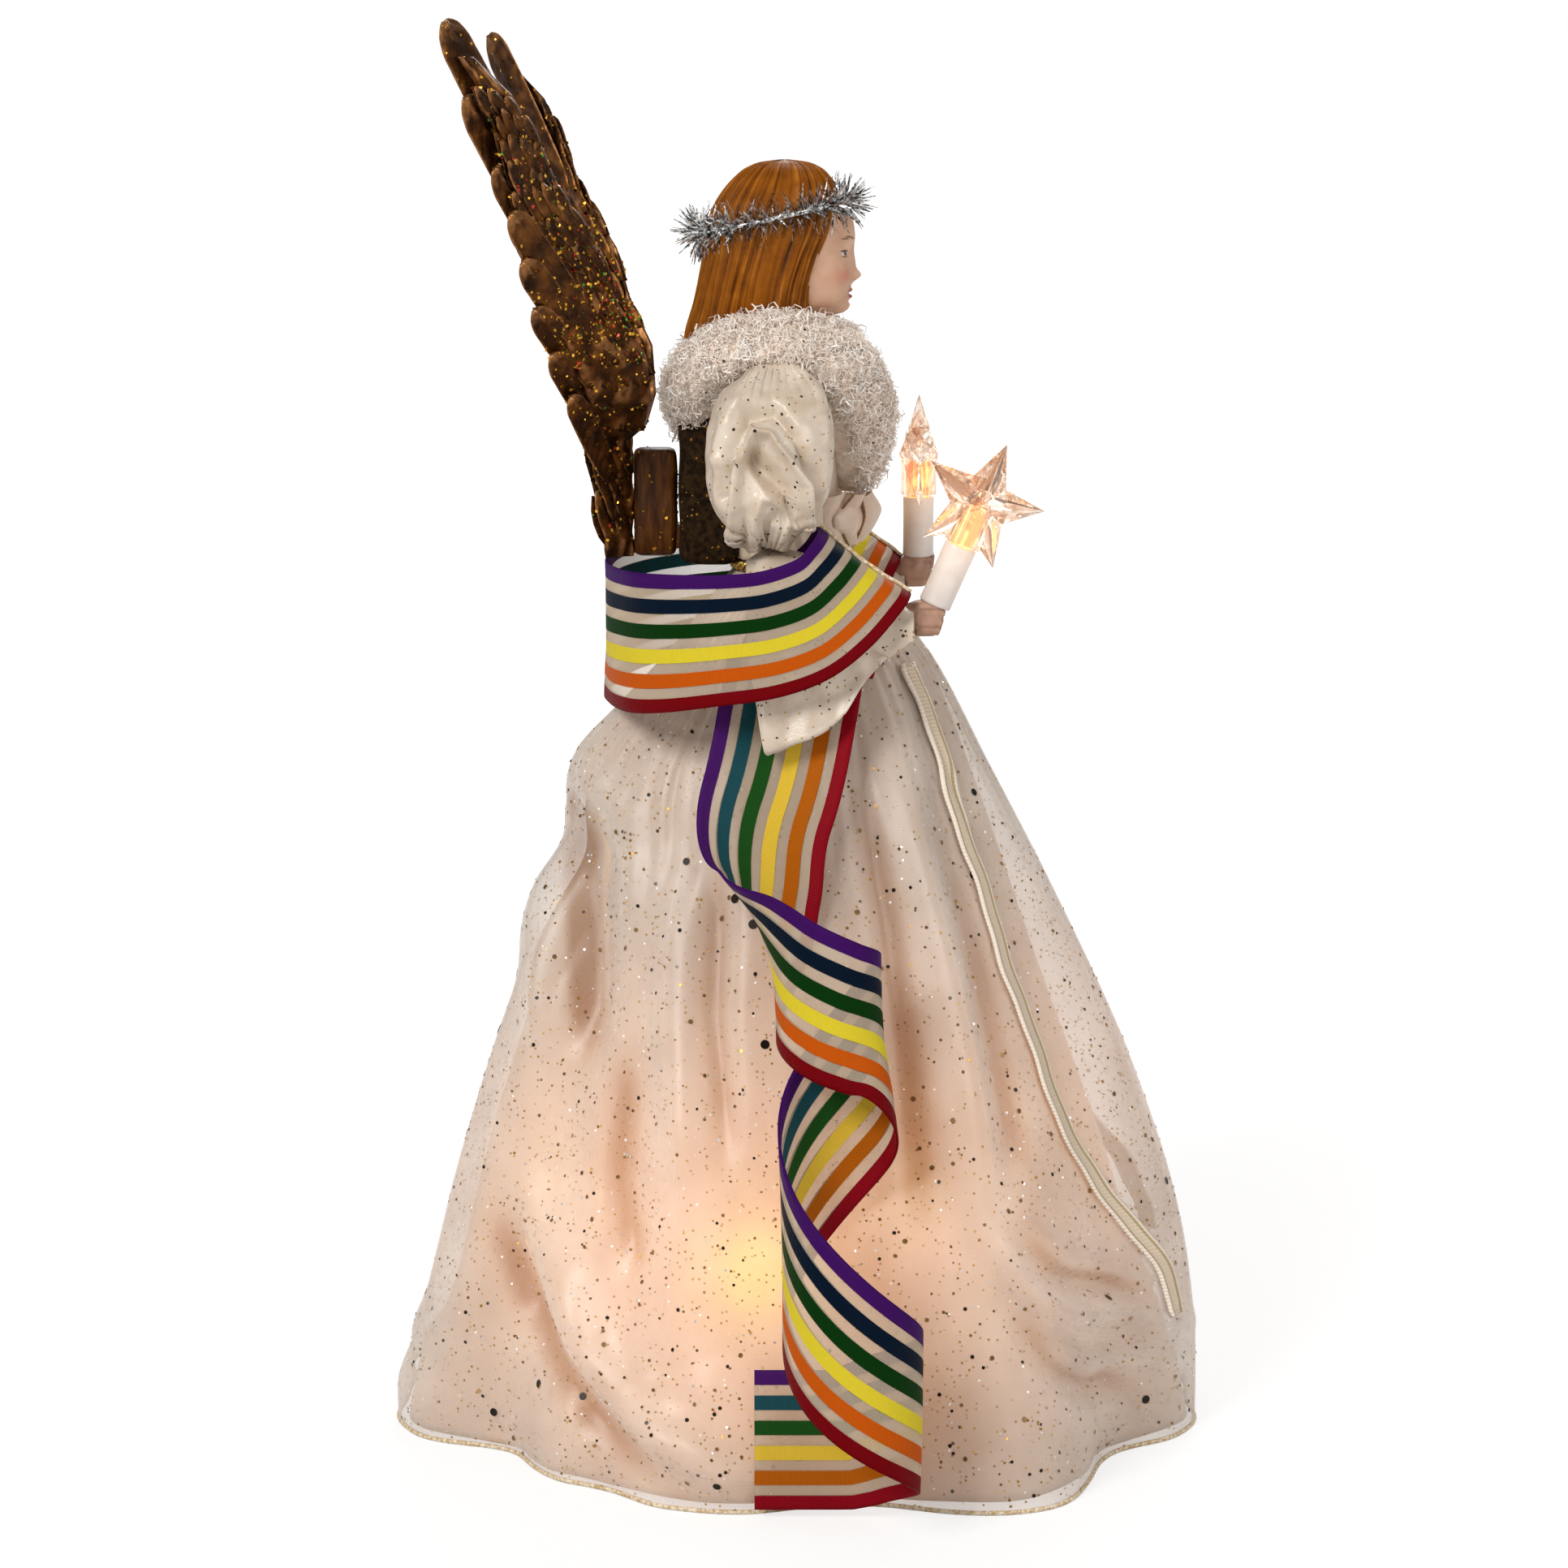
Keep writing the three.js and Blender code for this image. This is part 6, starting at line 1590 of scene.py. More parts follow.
# Fur collar
# A cape collar of off-white curly plush is glued round the neck. It hangs in a point in front, rides up over
# both sleeves, and carries specks of glitter in its curls.

COLLAR_CREST = 245.5
COLLAR_DROP = 40.5
COLLAR_REACH = 27.0
COLLAR_SPAN = 31.0
COLLAR_NECK = 8.5
# The section from the neck over the crest to the hem and back, as shares of its reach and its drop.
COLLAR_SECTION = (
    (0.33, 0.16), (0.45, 0), (0.72, 0.05), (0.93, 0.3), (1, 0.52), (0.95, 0.82), (0.78, 1), (0.5, 0.9),
)
COLLAR_ROWS = 72
COLLAR_COLUMNS = 360


def through(values, at, closed=False):
    """A smooth curve through values, read at places counted in steps between them."""
    values = np.array(values, float)
    count = len(values)
    i = np.minimum(at.astype(int), count - 1)
    t = (at - i).reshape(-1, *([1] * (values.ndim - 1)))
    near = [(i + k) % count if closed else np.clip(i + k, 0, count - 1) for k in (-1, 0, 1, 2)]
    a, b, c, d = (values[k] for k in near)
    return b + 0.5 * t * (c - a + t * (2 * a - 5 * b + 4 * c - d + t * (3 * (b - c) + d - a)))


def curly_plush(name, light, dark):
    """Acrylic curly plush: matt, with a soft halo where the fibres catch the light."""
    finish = {"Roughness": 0.75, "Sheen Weight": 0.35, "Sheen Roughness": 0.5}
    return mottled(name, 2.2, [(0.3, dark), (0.68, light)], finish, 0.8, strength=0.7, Detail=5.0)


def curl_shape():
    """A tuft of three thin fibres that curl right over, about 2 mm high."""
    points, faces = [], []
    for k in range(3):
        turn = k / 3 * math.tau
        reach = 0.75 + 0.2 * k
        for i in range(5):
            t = i / 4
            out, up = reach * (math.sin(t * 4.2) + 0.6 * t), 0.1 + reach * (1 - math.cos(t * 4.2)) * 0.62
            aside = 0.5 * reach * math.sin(t * 3 + k)
            wide = 0.15 * (1 - 0.6 * t)
            for w in (aside - wide, aside + wide):
                points.append((
                    out * math.cos(turn) - w * math.sin(turn), out * math.sin(turn) + w * math.cos(turn), up,
                ))
        base = k * 10
        faces += [(base + 2 * i, base + 2 * i + 1, base + 2 * i + 3, base + 2 * i + 2) for i in range(4)]
    return template("curl", points, faces)


def plush_fibres(name, collar, density, smallest, largest, tilt, lift, seed, finish):
    """Curled fibres on the plush. Density is in tufts for each square centimetre."""
    made = baked(name, collar, scatter, {
        "Shape": curl_shape(), "Density": density * 1e4, "Smallest": smallest, "Largest": largest,
        "Tilt": tilt, "Lift": lift * MM, "Seed": seed, "Finish": finish,
    })
    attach(made, "figure")


def make_collar():
    loop = through(COLLAR_SECTION, np.arange(COLLAR_ROWS) / COLLAR_ROWS * len(COLLAR_SECTION), closed=True)
    angle = np.arange(COLLAR_COLUMNS) / COLLAR_COLUMNS * math.tau
    side = np.abs(np.sin(angle)) ** 1.5
    front = np.cos(angle) > 0
    reach = COLLAR_REACH * np.where(front, 1, 0.94) * (1 - side) + COLLAR_SPAN * side
    crest = COLLAR_CREST - COLLAR_DROP * np.where(front, 0.12, 0.15) * (1 - side)
    low = COLLAR_CREST - COLLAR_DROP * (np.where(front, 1, 0.75) * (1 - side) + 0.34 * side)
    out = np.maximum(COLLAR_NECK, loop[:, :1] * reach - 2.0)
    z = crest - 1.3 + (low - crest + 2.0) * loop[:, 1:]
    x, y = BODY_CENTRE_X + out * np.cos(angle), out * np.sin(angle)
    grid = np.stack([x, y, z], axis=-1)
    lumps = (
        np.sin(x * 0.55 + 1.3 * np.sin(z * 0.31)) * np.sin(y * 0.5 + z * 0.42)
        + 0.6 * np.sin(x * 1.1 + z * 0.9) * np.sin(y * 1.2 - z * 0.5 + 1)
    )
    outward = np.stack([np.cos(angle) + 0 * z, np.sin(angle) + 0 * z, 0.4 + 0 * z], axis=-1)
    grid = grid + outward * (0.55 * lumps)[..., None]
    faces = grid_faces(COLLAR_ROWS, COLLAR_COLUMNS, rows_wrap=True).tolist()
    ground = curly_plush("plush ground", "#fff4ea", "#ead4c2")
    made = mesh_piece("plush_collar", grid.reshape(-1, 3), faces, [ground])
    face_outwards(made)
    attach(made, "figure")
    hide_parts("fur_collar")
    # The rows that can be seen; the others lie against the neck.
    outside = np.zeros((COLLAR_ROWS, COLLAR_COLUMNS))
    outside[4:56] = 1
    mark(made, "cover", outside)
    fibre = curly_plush("plush fibre", "#fff8f0", "#f2decd")
    plush_fibres("plush_curls", made, 120.0, 0.55, 1.25, 0.6, -0.1, 61, fibre)
    loose = curly_plush("loose fibre", "#fffaf5", "#f2e6dc")
    plush_fibres("plush_wisps", made, 14.0, 1.3, 1.9, 1.3, -0.2, 64, loose)
    mark(made, "cover", outside * (0.35 + 0.65 * smooth_step(4, 18, x)))
    flakes(
        "collar_dark_glitter", made, "figure", 9.0, 0.45, 0.8, 0.7, 62, dark_flake,
        lift=1.1,
    )
    mark(made, "cover", outside)
    flakes(
        "collar_white_glitter", made, "figure", 4.0, 0.3, 0.7, 0.9, 63, white_flake,
        lift=1.2,
    )


make_collar()

# Bodice ruffle
# Loops of peach-ivory ribbon, edged with a brown thread, are gathered into a puff across the chest under
# the collar.

RUFFLE_WIDTH = 22.0
RUFFLE_HEIGHT = 12.0
RUFFLE_DEPTH = 9.5
RUFFLE_MIDDLE = 199.3
# Each loop's near edge and far edge, from top to bottom.
RUFFLE_LOOPS = (
    (
        ((5.8, -10.5, 204.7), (4.4, -10.5, 200.1), (7, -10.5, 194.5)),
        ((10.5, -8, 206), (8.5, -8, 200), (10.5, -8, 193.9)),
    ),
    (
        ((12, -8, 205.2), (8.7, -8, 200.1), (10.9, -8, 193.9)),
        ((14.8, -4.5, 205.8), (13, -4.5, 199.8), (12.8, -4.5, 193.8)),
    ),
    (
        ((13.7, -4.5, 204.1), (14.3, -4.5, 199.6), (12.1, -4.5, 193.9)),
        ((16, 0, 205), (18.2, 0, 201), (15.5, 0, 197)),
    ),
)
PUFF_HALF_WIDTH = 10.4
PUFF_INSET = 0.9


def make_puff():
    """The gathered middle behind the loops."""
    turn, y = rings(80, np.linspace(-PUFF_HALF_WIDTH, PUFF_HALF_WIDTH, 100))
    side = y / RUFFLE_WIDTH * 2
    pleat = 1 + 0.09 * np.cos((side + 1) * math.tau * 3) + 0.03 * np.sin(turn * 3 + y)
    full = np.sqrt(np.maximum(0.12, 1 - side**2))
    deep, high = (size / 2 * full * pleat - PUFF_INSET for size in (RUFFLE_DEPTH, RUFFLE_HEIGHT))
    x = CHEST_DEPTH * 0.6 + RUFFLE_DEPTH / 2 * full + deep * np.cos(turn)
    grid = np.stack([x, y, RUFFLE_MIDDLE + high * np.sin(turn)], axis=-1)
    return closed_form("ruffle_puff", grid, [peach_satin])


def make_ruffle():
    panels, threads = [make_puff()], []
    for mirror in (1, -1):
        for k, (near, far) in enumerate(RUFFLE_LOOPS):
            lines = [through(line, np.linspace(0, 2, 30)) * [1, mirror, 1] for line in (near, far)]
            t = np.linspace(0, 1, 14)[None, :, None]
            rows = lines[0][:, None] * (1 - t) + lines[1][:, None] * t
            rows = rows - grid_normals(rows, False) * (1.1 * np.sin(t * math.pi)) * mirror
            panels.append(strip_piece(f"loop_{k}_{mirror}", rows, 0.4, [peach_satin]))
            edge = lines[0] + [0.2, -0.35 * mirror, 0]
            threads.append(tube(f"edge_{k}_{mirror}", edge, 0.3, 6, [brown_thread]))
    loops = merged("ribbon_ruffle", panels)
    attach(loops, "figure")
    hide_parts("bodice_ruffle")
    edging = merged("ruffle_edging", threads)
    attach(edging, "figure")


peach_satin = satin("peach satin", "#f3dfce", "#dcc0a6", False)
# Brown polyester thread, tightly spun.
brown_thread = mottled("brown thread", 0.5, [(0.35, "#7a5632"), (0.65, "#a98055")], {"Roughness": 0.5})
make_ruffle()

# Wing socket
# A square plastic socket is glued into the back for the wings' peg. A pad of dark brown plush, dusted with
# gold glitter, fills the space round it between the back and the wings' block. Its dark brown is painted
# shade, put where that space lies in shadow.

PAD_LOW = (-26.1, -8.5, 189.6)
PAD_HIGH = (-12.0, 8.5, 224.0)
PEG_ROOM_LOW = (-30.0, -3.4, 192.3)
PEG_ROOM_HIGH = (-8.9, 3.4, 198.6)


def rounded_block(name, low, high, square, wobble, materials):
    """An upright block with rounded edges and ends between two corners in millimetres."""
    low, high = np.array(low), np.array(high)
    middle, half = (low + high) / 2, (high - low) / 2
    turn, rise = rings(72, np.linspace(-1, 1, 60))
    inset = np.minimum(half[0], half[1]) * 0.35 * (1 - (1 - np.abs(rise) ** 14) ** 0.5)
    uneven = 1 + wobble * np.sin(rise * 4 + turn * 2) * np.sin(turn + rise * 2)
    x = (half[0] * uneven - inset) * squared(np.cos(turn), square)
    y = (half[1] * uneven - inset) * squared(np.sin(turn), square)
    return closed_form(name, np.stack([x, y, half[2] * rise], -1) + middle, materials)


def shade_plush():
    """Dark brown plush with gold glitter brushed into it. The dark brown is painted shade for the shadowed
    gap.
    """
    material, tree, shader, place = new_material("dark brown plush")
    tuft = add_node(tree, "ShaderNodeTexNoise", {"Vector": place, "Scale": per_mm(1.4), "Detail": 5.0})
    shade = add_node(tree, "ShaderNodeValToRGB", {"Fac": tuft}, [(0.35, "#150c05"), (0.65, "#3a2814")])
    glint = glitter_dots(tree, place, 1.1, 0.24, 0.3)[0]
    ends = {0: glint, 6: shade, 7: colour("#b98a34")}
    shade = add_node(tree, "ShaderNodeMix", ends, data_type="RGBA")
    relief = add_node(tree, "ShaderNodeBump", {"Height": tuft, "Distance": 0.8 * MM})
    fill(tree, shader, {
        "Base Color": shade, "Roughness": 0.8, "Specular IOR Level": 0.1, "Metallic": glint, "Normal": relief,
    })
    return material


def make_shade_pad():
    plush = shade_plush()
    made = rounded_block("socket_pad", PAD_LOW, PAD_HIGH, 4, 0.06, [plush])
    room = rounded_block("peg_room", PEG_ROOM_LOW, PEG_ROOM_HIGH, 12, 0.0, [plush])
    combined(made, room, "DIFFERENCE")
    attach(made, "figure")
    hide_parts("back_socket")


make_shade_pad()

# Wings
# Two moulded plastic wings, painted bronze, worn to copper on their edges and dusted with glitter, are fixed
# to an upright wood-brown block. The block's peg pushes into the figure's back.

WING_LENGTH = 114.3
WING_REACH = 72.5
WING_SPREAD = 60.0
WING_ROOT = 191.2
# Front edge and trailing edge from root to tip: shares of the length, of the reach and of the spread.
LEADING = (
    (0, 0.502, 0.02), (0.12, 0.502, 0.03), (0.225, 0.502, 0.075), (0.25, 0.455, 0.13), (0.3, 0.432, 0.23),
    (0.39, 0.445, 0.33), (0.48, 0.517, 0.43), (0.575, 0.558, 0.5), (0.625, 0.611, 0.57), (0.69, 0.684, 0.63),
    (0.75, 0.707, 0.73), (0.865, 0.797, 0.87), (0.94, 0.913, 0.955), (1, 0.99, 0.99),
)
TRAILING = (
    (0, 0.575, 0.12), (0.12, 0.582, 0.16), (0.225, 0.588, 0.22), (0.25, 0.594, 0.3), (0.3, 0.607, 0.42),
    (0.39, 0.65, 0.58), (0.48, 0.71, 0.71), (0.575, 0.745, 0.79), (0.625, 0.76, 0.83), (0.69, 0.785, 0.88),
    (0.75, 0.8, 0.92), (0.865, 0.875, 0.965), (0.94, 0.95, 0.99), (1, 1, 1),
)
# Feathers that stand out of the trailing edge: where each starts and ends, and its half width.
LONG_FEATHERS = (
    (0.62, 0.99, 0.975, 0.975, 0.046), (0.5, 0.86, 0.918, 1.0, 0.036), (0.46, 0.738, 0.842, 0.95, 0.033),
    (0.4, 0.658, 0.8, 0.92, 0.031), (0.33, 0.573, 0.772, 0.86, 0.029), (0.26, 0.487, 0.745, 0.78, 0.028),
    (0.2, 0.402, 0.703, 0.68, 0.026), (0.14, 0.322, 0.655, 0.56, 0.024),
)
BLADE_SECTION = ((0, 0), (0.12, 0.42), (0.4, 0.5), (0.8, 0.34), (1, 0.1))
BLADE_THICKNESS = 3.0
COVERT_ROWS = 19
COVERT_SPACING = 3.4
VANE = ((0, 0.7), (0.35, 1), (0.8, 1), (0.92, 0.9), (0.975, 0.62), (1, 0.3))
# Two corners each, in millimetres.
HUB_BLOCK = ((-35.9, -4.0, 191.2), (-26.4, 4.0, 214.6))
HUB_PEG = ((-27.6, -3.0, 192.7), (-9.4, 3.0, 198.2))


def wing_place(back, out, share):
    """A point of a right wing, from shares of the reach behind, the spread and the length."""
    share = np.asarray(share)
    return np.stack([-back * WING_REACH, -out * WING_SPREAD, WING_ROOT + share * WING_LENGTH], -1)


def wing_edge(edge, share):
    shares, back, out = zip(*edge)
    return wing_place(np.interp(share, shares, back), np.interp(share, shares, out), share)


def wing_frame(share, across):
    """Points inside the blade, the way it faces, and the way its feathers point."""
    lead, trail = wing_edge(LEADING, share), wing_edge(TRAILING, share)
    ahead = np.clip(np.asarray(share) + 0.06, 0, 1)
    chord = trail - lead
    face = unit(np.stack([-chord[..., 1], chord[..., 0], 0 * chord[..., 0]], -1))
    here = lead + chord * np.asarray(across)[..., None]
    there = wing_edge(LEADING, ahead) * 0.5 + wing_edge(TRAILING, ahead) * 0.5
    middle = lead * 0.5 + trail * 0.5
    return here, face, unit(unit(there - middle + [0, 0, 1e-3]) + 0.28 * unit(chord))


def blade_half(share, across):
    return BLADE_THICKNESS * (1 - 0.55 * share) * np.interp(across, *zip(*BLADE_SECTION))


def bronze_paint():
    """Bronze paint over dark plastic: brown in the hollows, rubbed to copper along the raised edges."""
    material, tree, shader, place = new_material("worn bronze paint")
    wash = add_node(tree, "ShaderNodeTexNoise", {"Vector": place, "Scale": per_mm(5.0), "Detail": 6.0})
    shade = add_node(tree, "ShaderNodeValToRGB", {"Fac": wash}, [
        (0.3, "#241003"), (0.5, "#4c2a0c"), (0.62, "#6d4116"), (0.75, "#8a5a24"),
    ])
    raised = add_node(tree, "ShaderNodeAttribute", attribute_name="edge").outputs["Fac"]
    rub = add_node(tree, "ShaderNodeTexNoise", {"Vector": place, "Scale": per_mm(2.0), "Detail": 3.0})
    worn = add_node(tree, "ShaderNodeMath", {0: raised, 1: rub}, operation="MULTIPLY")
    rubbed = {"Value": worn, "From Min": 0.25, "From Max": 0.62, "To Max": 0.75}
    worn = add_node(tree, "ShaderNodeMapRange", rubbed)
    ends = {0: worn, 6: shade, 7: colour("#b98250")}
    shade = add_node(tree, "ShaderNodeMix", ends, data_type="RGBA", clamp_factor=True)
    relief = add_node(tree, "ShaderNodeBump", {"Height": rub, "Distance": 0.5 * MM, "Strength": 0.6})
    fill(tree, shader, {"Base Color": shade, "Metallic": 0.8, "Roughness": 0.45, "Normal": relief})
    return material


def make_blade(side, mirror):
    share, turn = np.meshgrid(np.linspace(0, 0.93, 260), np.arange(56) / 56 * 2, indexing="ij")
    across = np.where(turn < 1, turn, 2 - turn)
    here, face, _ = wing_frame(share, across)
    flutes = np.sin(across * 13 + 5 * share + np.sin(share * 40)) * 0.28
    knots = 0.35 * np.sin(share * 95 + across * 5) * np.sin(across * 9 + share * 30)
    raised = (flutes + knots) * smooth_step(0, 0.12, across) * (1 - 0.5 * share)
    half = blade_half(share, across) * 0.86 + raised
    grid = here + face * (np.where(turn < 1, 1, -1) * half)[..., None]
    grid[..., 1] *= mirror
    worn = np.clip(0.5 + (flutes + knots) * 1.4, 0, 1)
    return closed_form(f"{side}_wing_blade", grid, [wing_paint], {"edge": worn})


def long_feather(name, row, mirror):
    start_share, end_share, back, spread, half = row
    start = wing_edge(LEADING, start_share) * 0.45 + wing_edge(TRAILING, start_share) * 0.55
    run = wing_place(back, spread, end_share) - start
    chord = unit(wing_edge(TRAILING, start_share) - wing_edge(LEADING, start_share))
    aside = unit(chord - unit(run) * (chord @ unit(run)))
    face = unit(np.cross(aside, run))
    turn, s = rings(40, np.linspace(0, 1, 56))
    wide = half * WING_LENGTH * eased(VANE, s) * np.cos(turn)
    barbs = 1 + 0.3 * np.sin(s * 70 + np.abs(np.cos(turn)) * 9) + 0.2 * np.sin(s * 23 + turn * 2)
    shaft = 0.35 * np.exp(-((np.cos(turn) / 0.14) ** 2))
    thin = (0.85 * (1 - 0.5 * s) * barbs + shaft) * np.sin(turn)
    grid = start + run * s[..., None] + aside * wide[..., None] + face * thin[..., None]
    grid[..., 1] *= mirror
    worn = np.maximum(smooth_step(0.75, 1, np.abs(np.cos(turn))), smooth_step(0.85, 1, s)) + 0.6 * shaft
    return closed_form(name, grid, [wing_paint], {"edge": worn})


def covert_shape():
    """A short feather 1 mm long and 2 mm wide to be stretched: rounded tip, raised shaft, closed under."""
    outline = ((0, 0.35), (0.25, 0.85), (0.55, 1.0), (0.82, 0.82), (1.0, 0.3))
    points, worn = [], []
    for s, half in outline:
        for v in (-1, -0.5, 0, 0.5, 1):
            crown = 0.75 * (1 - v * v) * (1 - 0.3 * s) + (0.22 if v == 0 else 0)
            points.append((s - 0.06 * v * v, v * half, crown + 0.12))
            worn.append(max(abs(v) ** 3, s**3, 0.55 if v == 0 else 0))
    top = len(points)
    for s, half in outline:
        points += [(s - 0.06, -half, -0.1), (s, 0, -0.25), (s - 0.06, half, -0.1)]
        worn += [0, 0, 0]
    faces = []
    for r in range(4):
        faces += [(5 * r + c, 5 * (r + 1) + c, 5 * (r + 1) + c + 1, 5 * r + c + 1) for c in range(4)]
        low = top + 3 * r
        faces += [(low + c, low + c + 1, low + c + 4, low + c + 3) for c in range(2)]
        faces += [(5 * r, low, low + 3, 5 * r + 5), (5 * r + 4, 5 * r + 9, low + 5, low + 2)]
    faces += [(0, 1, 2, 3, 4, top + 2, top + 1, top), (24, 23, 22, 21, 20, top + 12, top + 13, top + 14)]
    made = template("covert", points, faces)
    mark(made, "edge", worn)
    face_outwards(made)
    return made


def feathered_tree():
    """Geometry nodes that lay one feather on each point, along its aim, facing its face, to its size."""
    tree, given = new_tree("feathers on points", Object=("Feather",), Material=("Paint",))
    aim, face, size = (
        add_node(tree, "GeometryNodeInputNamedAttribute", {"Name": name}, data_type="FLOAT_VECTOR")
        for name in ("aim", "face", "size")
    )
    turn = add_node(
        tree, "FunctionNodeAxesToRotation", {"Primary Axis": face, "Secondary Axis": aim},
        primary_axis="Z", secondary_axis="X",
    )
    shape = add_node(tree, "GeometryNodeObjectInfo", {"Object": given["Feather"]})
    points = add_node(tree, "GeometryNodeMeshToPoints", {"Mesh": given["Geometry"]})
    laid = add_node(tree, "GeometryNodeInstanceOnPoints", {
        "Points": points, "Instance": shape.outputs["Geometry"], "Rotation": turn, "Scale": size,
    })
    return ended(tree, laid, given["Paint"])


def covert_rows():
    """Where the short feathers of a right wing lie: place, aim, face and size of each."""
    draw = random.Random(17)
    rows = []
    for step in range(COVERT_ROWS):
        share = 0.03 + 0.79 * step / (COVERT_ROWS - 1)
        chord = np.linalg.norm(wing_edge(TRAILING, share) - wing_edge(LEADING, share))
        count = max(2, round(chord / COVERT_SPACING))
        for k in range(count):
            across = (k + (0.3 if step % 2 else 0.7)) / count
            here, face, aim = wing_frame(share, min(across, 0.97))
            for sign in (1, -1):
                lift = blade_half(share, across) * 0.9
                length = draw.uniform(9.0, 15.0) * (1 - 0.3 * share)
                wide = chord / count * draw.uniform(0.42, 0.6)
                tilt = unit(aim + face * sign * 0.02 + draw.uniform(-0.09, 0.09) * np.array([1, 0, 0]))
                rows.append((here + face * sign * lift, tilt, face * sign, (length, wide, 0.62)))
    return rows


def make_coverts(side, mirror, tree, shape):
    flip = np.array([1, mirror, 1])
    places, aims, faces, sizes = (np.array(part) for part in zip(*covert_rows()))
    mesh = bpy.data.meshes.new(f"{side}_covert_points")
    mesh.from_pydata((places * flip * MM).tolist(), [], [])
    for name, values in (("aim", aims * flip), ("face", faces * flip), ("size", sizes)):
        layer = mesh.attributes.new(name, "FLOAT_VECTOR", "POINT")
        layer.data.foreach_set("vector", values.ravel())
    source = bpy.data.objects.new(f"{side}_covert_points", mesh)
    return baked(f"{side}_wing_coverts", source, tree, {"Feather": shape, "Paint": wing_paint})


def wing_glitter_cover(made):
    """Glitter lies thickest on the wing's middle."""
    z = np.array([v.co.z for v in made.data.vertices]) / MM
    share = (z - WING_ROOT) / WING_LENGTH
    mark(made, "cover", 0.22 + 0.78 * np.exp(-((share - 0.42) / 0.13) ** 2))


def make_wing(side, mirror, tree, shape):
    blade = make_blade(side, mirror)
    long_ones = [long_feather(f"long_{k}", row, mirror) for k, row in enumerate(LONG_FEATHERS)]
    vanes = merged(f"{side}_wing_feathers", long_ones)
    coverts = make_coverts(side, mirror, tree, shape)
    for made in (blade, vanes, coverts):
        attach(made, "wings")
    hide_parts(f"{side}_wing")
    wing_glitter_cover(coverts)
    wing_glitter_cover(vanes)
    whole_cover(blade)
    for part, surface, density, smallest, largest, seed, finish, lift in (
        ("gold", coverts, 60.0, 0.45, 0.85, 71, gold_glint, 0.15),
        ("red", coverts, 18.0, 0.45, 0.85, 72, red_glint, 0.15),
        ("green", coverts, 12.0, 0.45, 0.85, 73, green_glint, 0.15),
        ("tip", vanes, 26.0, 0.4, 0.8, 77, gold_glint, 0.1),
        ("root", blade, 4.0, 0.4, 0.8, 78, gold_glint, 0.4),
    ):
        flakes(
            f"{side}_wing_{part}_glitter", surface, "wings", density, smallest, largest, 0.9, seed, finish,
            lift=lift,
        )


def brown_block():
    """Block of moulded wood-flour plastic, stained brown and varnished, with a long soft grain."""
    material, tree, shader, place = new_material("varnished brown block")
    lengthways = add_node(tree, "ShaderNodeMapping", {"Vector": place, "Scale": (1, 1, 0.18)})
    grain = add_node(tree, "ShaderNodeTexNoise", {
        "Vector": lengthways, "Scale": per_mm(1.6), "Detail": 5.0, "Distortion": 0.8,
    })
    shade = add_node(tree, "ShaderNodeValToRGB", {"Fac": grain}, [
        (0.3, "#2a1203"), (0.5, "#4c2807"), (0.7, "#6a3e10"),
    ])
    relief = add_node(tree, "ShaderNodeBump", {"Height": grain, "Distance": 0.4 * MM, "Strength": 0.5})
    fill(tree, shader, {
        "Base Color": shade, "Roughness": 0.35, "Specular IOR Level": 0.15, "Coat Weight": 0.12,
        "Coat Roughness": 0.2, "Normal": relief,
    })
    return material


def make_hub():
    block = rounded_block("block", *HUB_BLOCK, 6, 0.03, [block_finish])
    peg = rounded_block("peg", *HUB_PEG, 8, 0.0, [block_finish])
    made = merged("wing_block", [block, peg])
    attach(made, "wings")
    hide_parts("wing_hub")
    whole_cover(made)
    flakes("block_glitter", made, "wings", 7.0, 0.4, 0.8, 0.7, 79, gold_glint, lift=0.1)


wing_paint = bronze_paint()
block_finish = brown_block()
gold_glint = sequin("gold wing glitter", "#ffc63a", "#c98a1c", 0.25, 0.5)
red_glint = sequin("red wing glitter", "#e0402c", "#a02414", 0.25, 0.5)
green_glint = sequin("green wing glitter", "#6cc050", "#2c7028", 0.25, 0.5)
feather_nodes = feathered_tree()
covert = covert_shape()
make_wing("right", 1, feather_nodes, covert)
make_wing("left", -1, feather_nodes, covert)
make_hub()

# Stole
# One woven ribbon with six satin stripes and sheer gauze between them lies behind the waist and over both
# forearms. Two more lengths hang from the forearms in loose curls.

RIBBON_WIDTH = 30.0
RIBBON_STRIPE = 3.05
RIBBON_STEP = (RIBBON_WIDTH - RIBBON_STRIPE) / 5
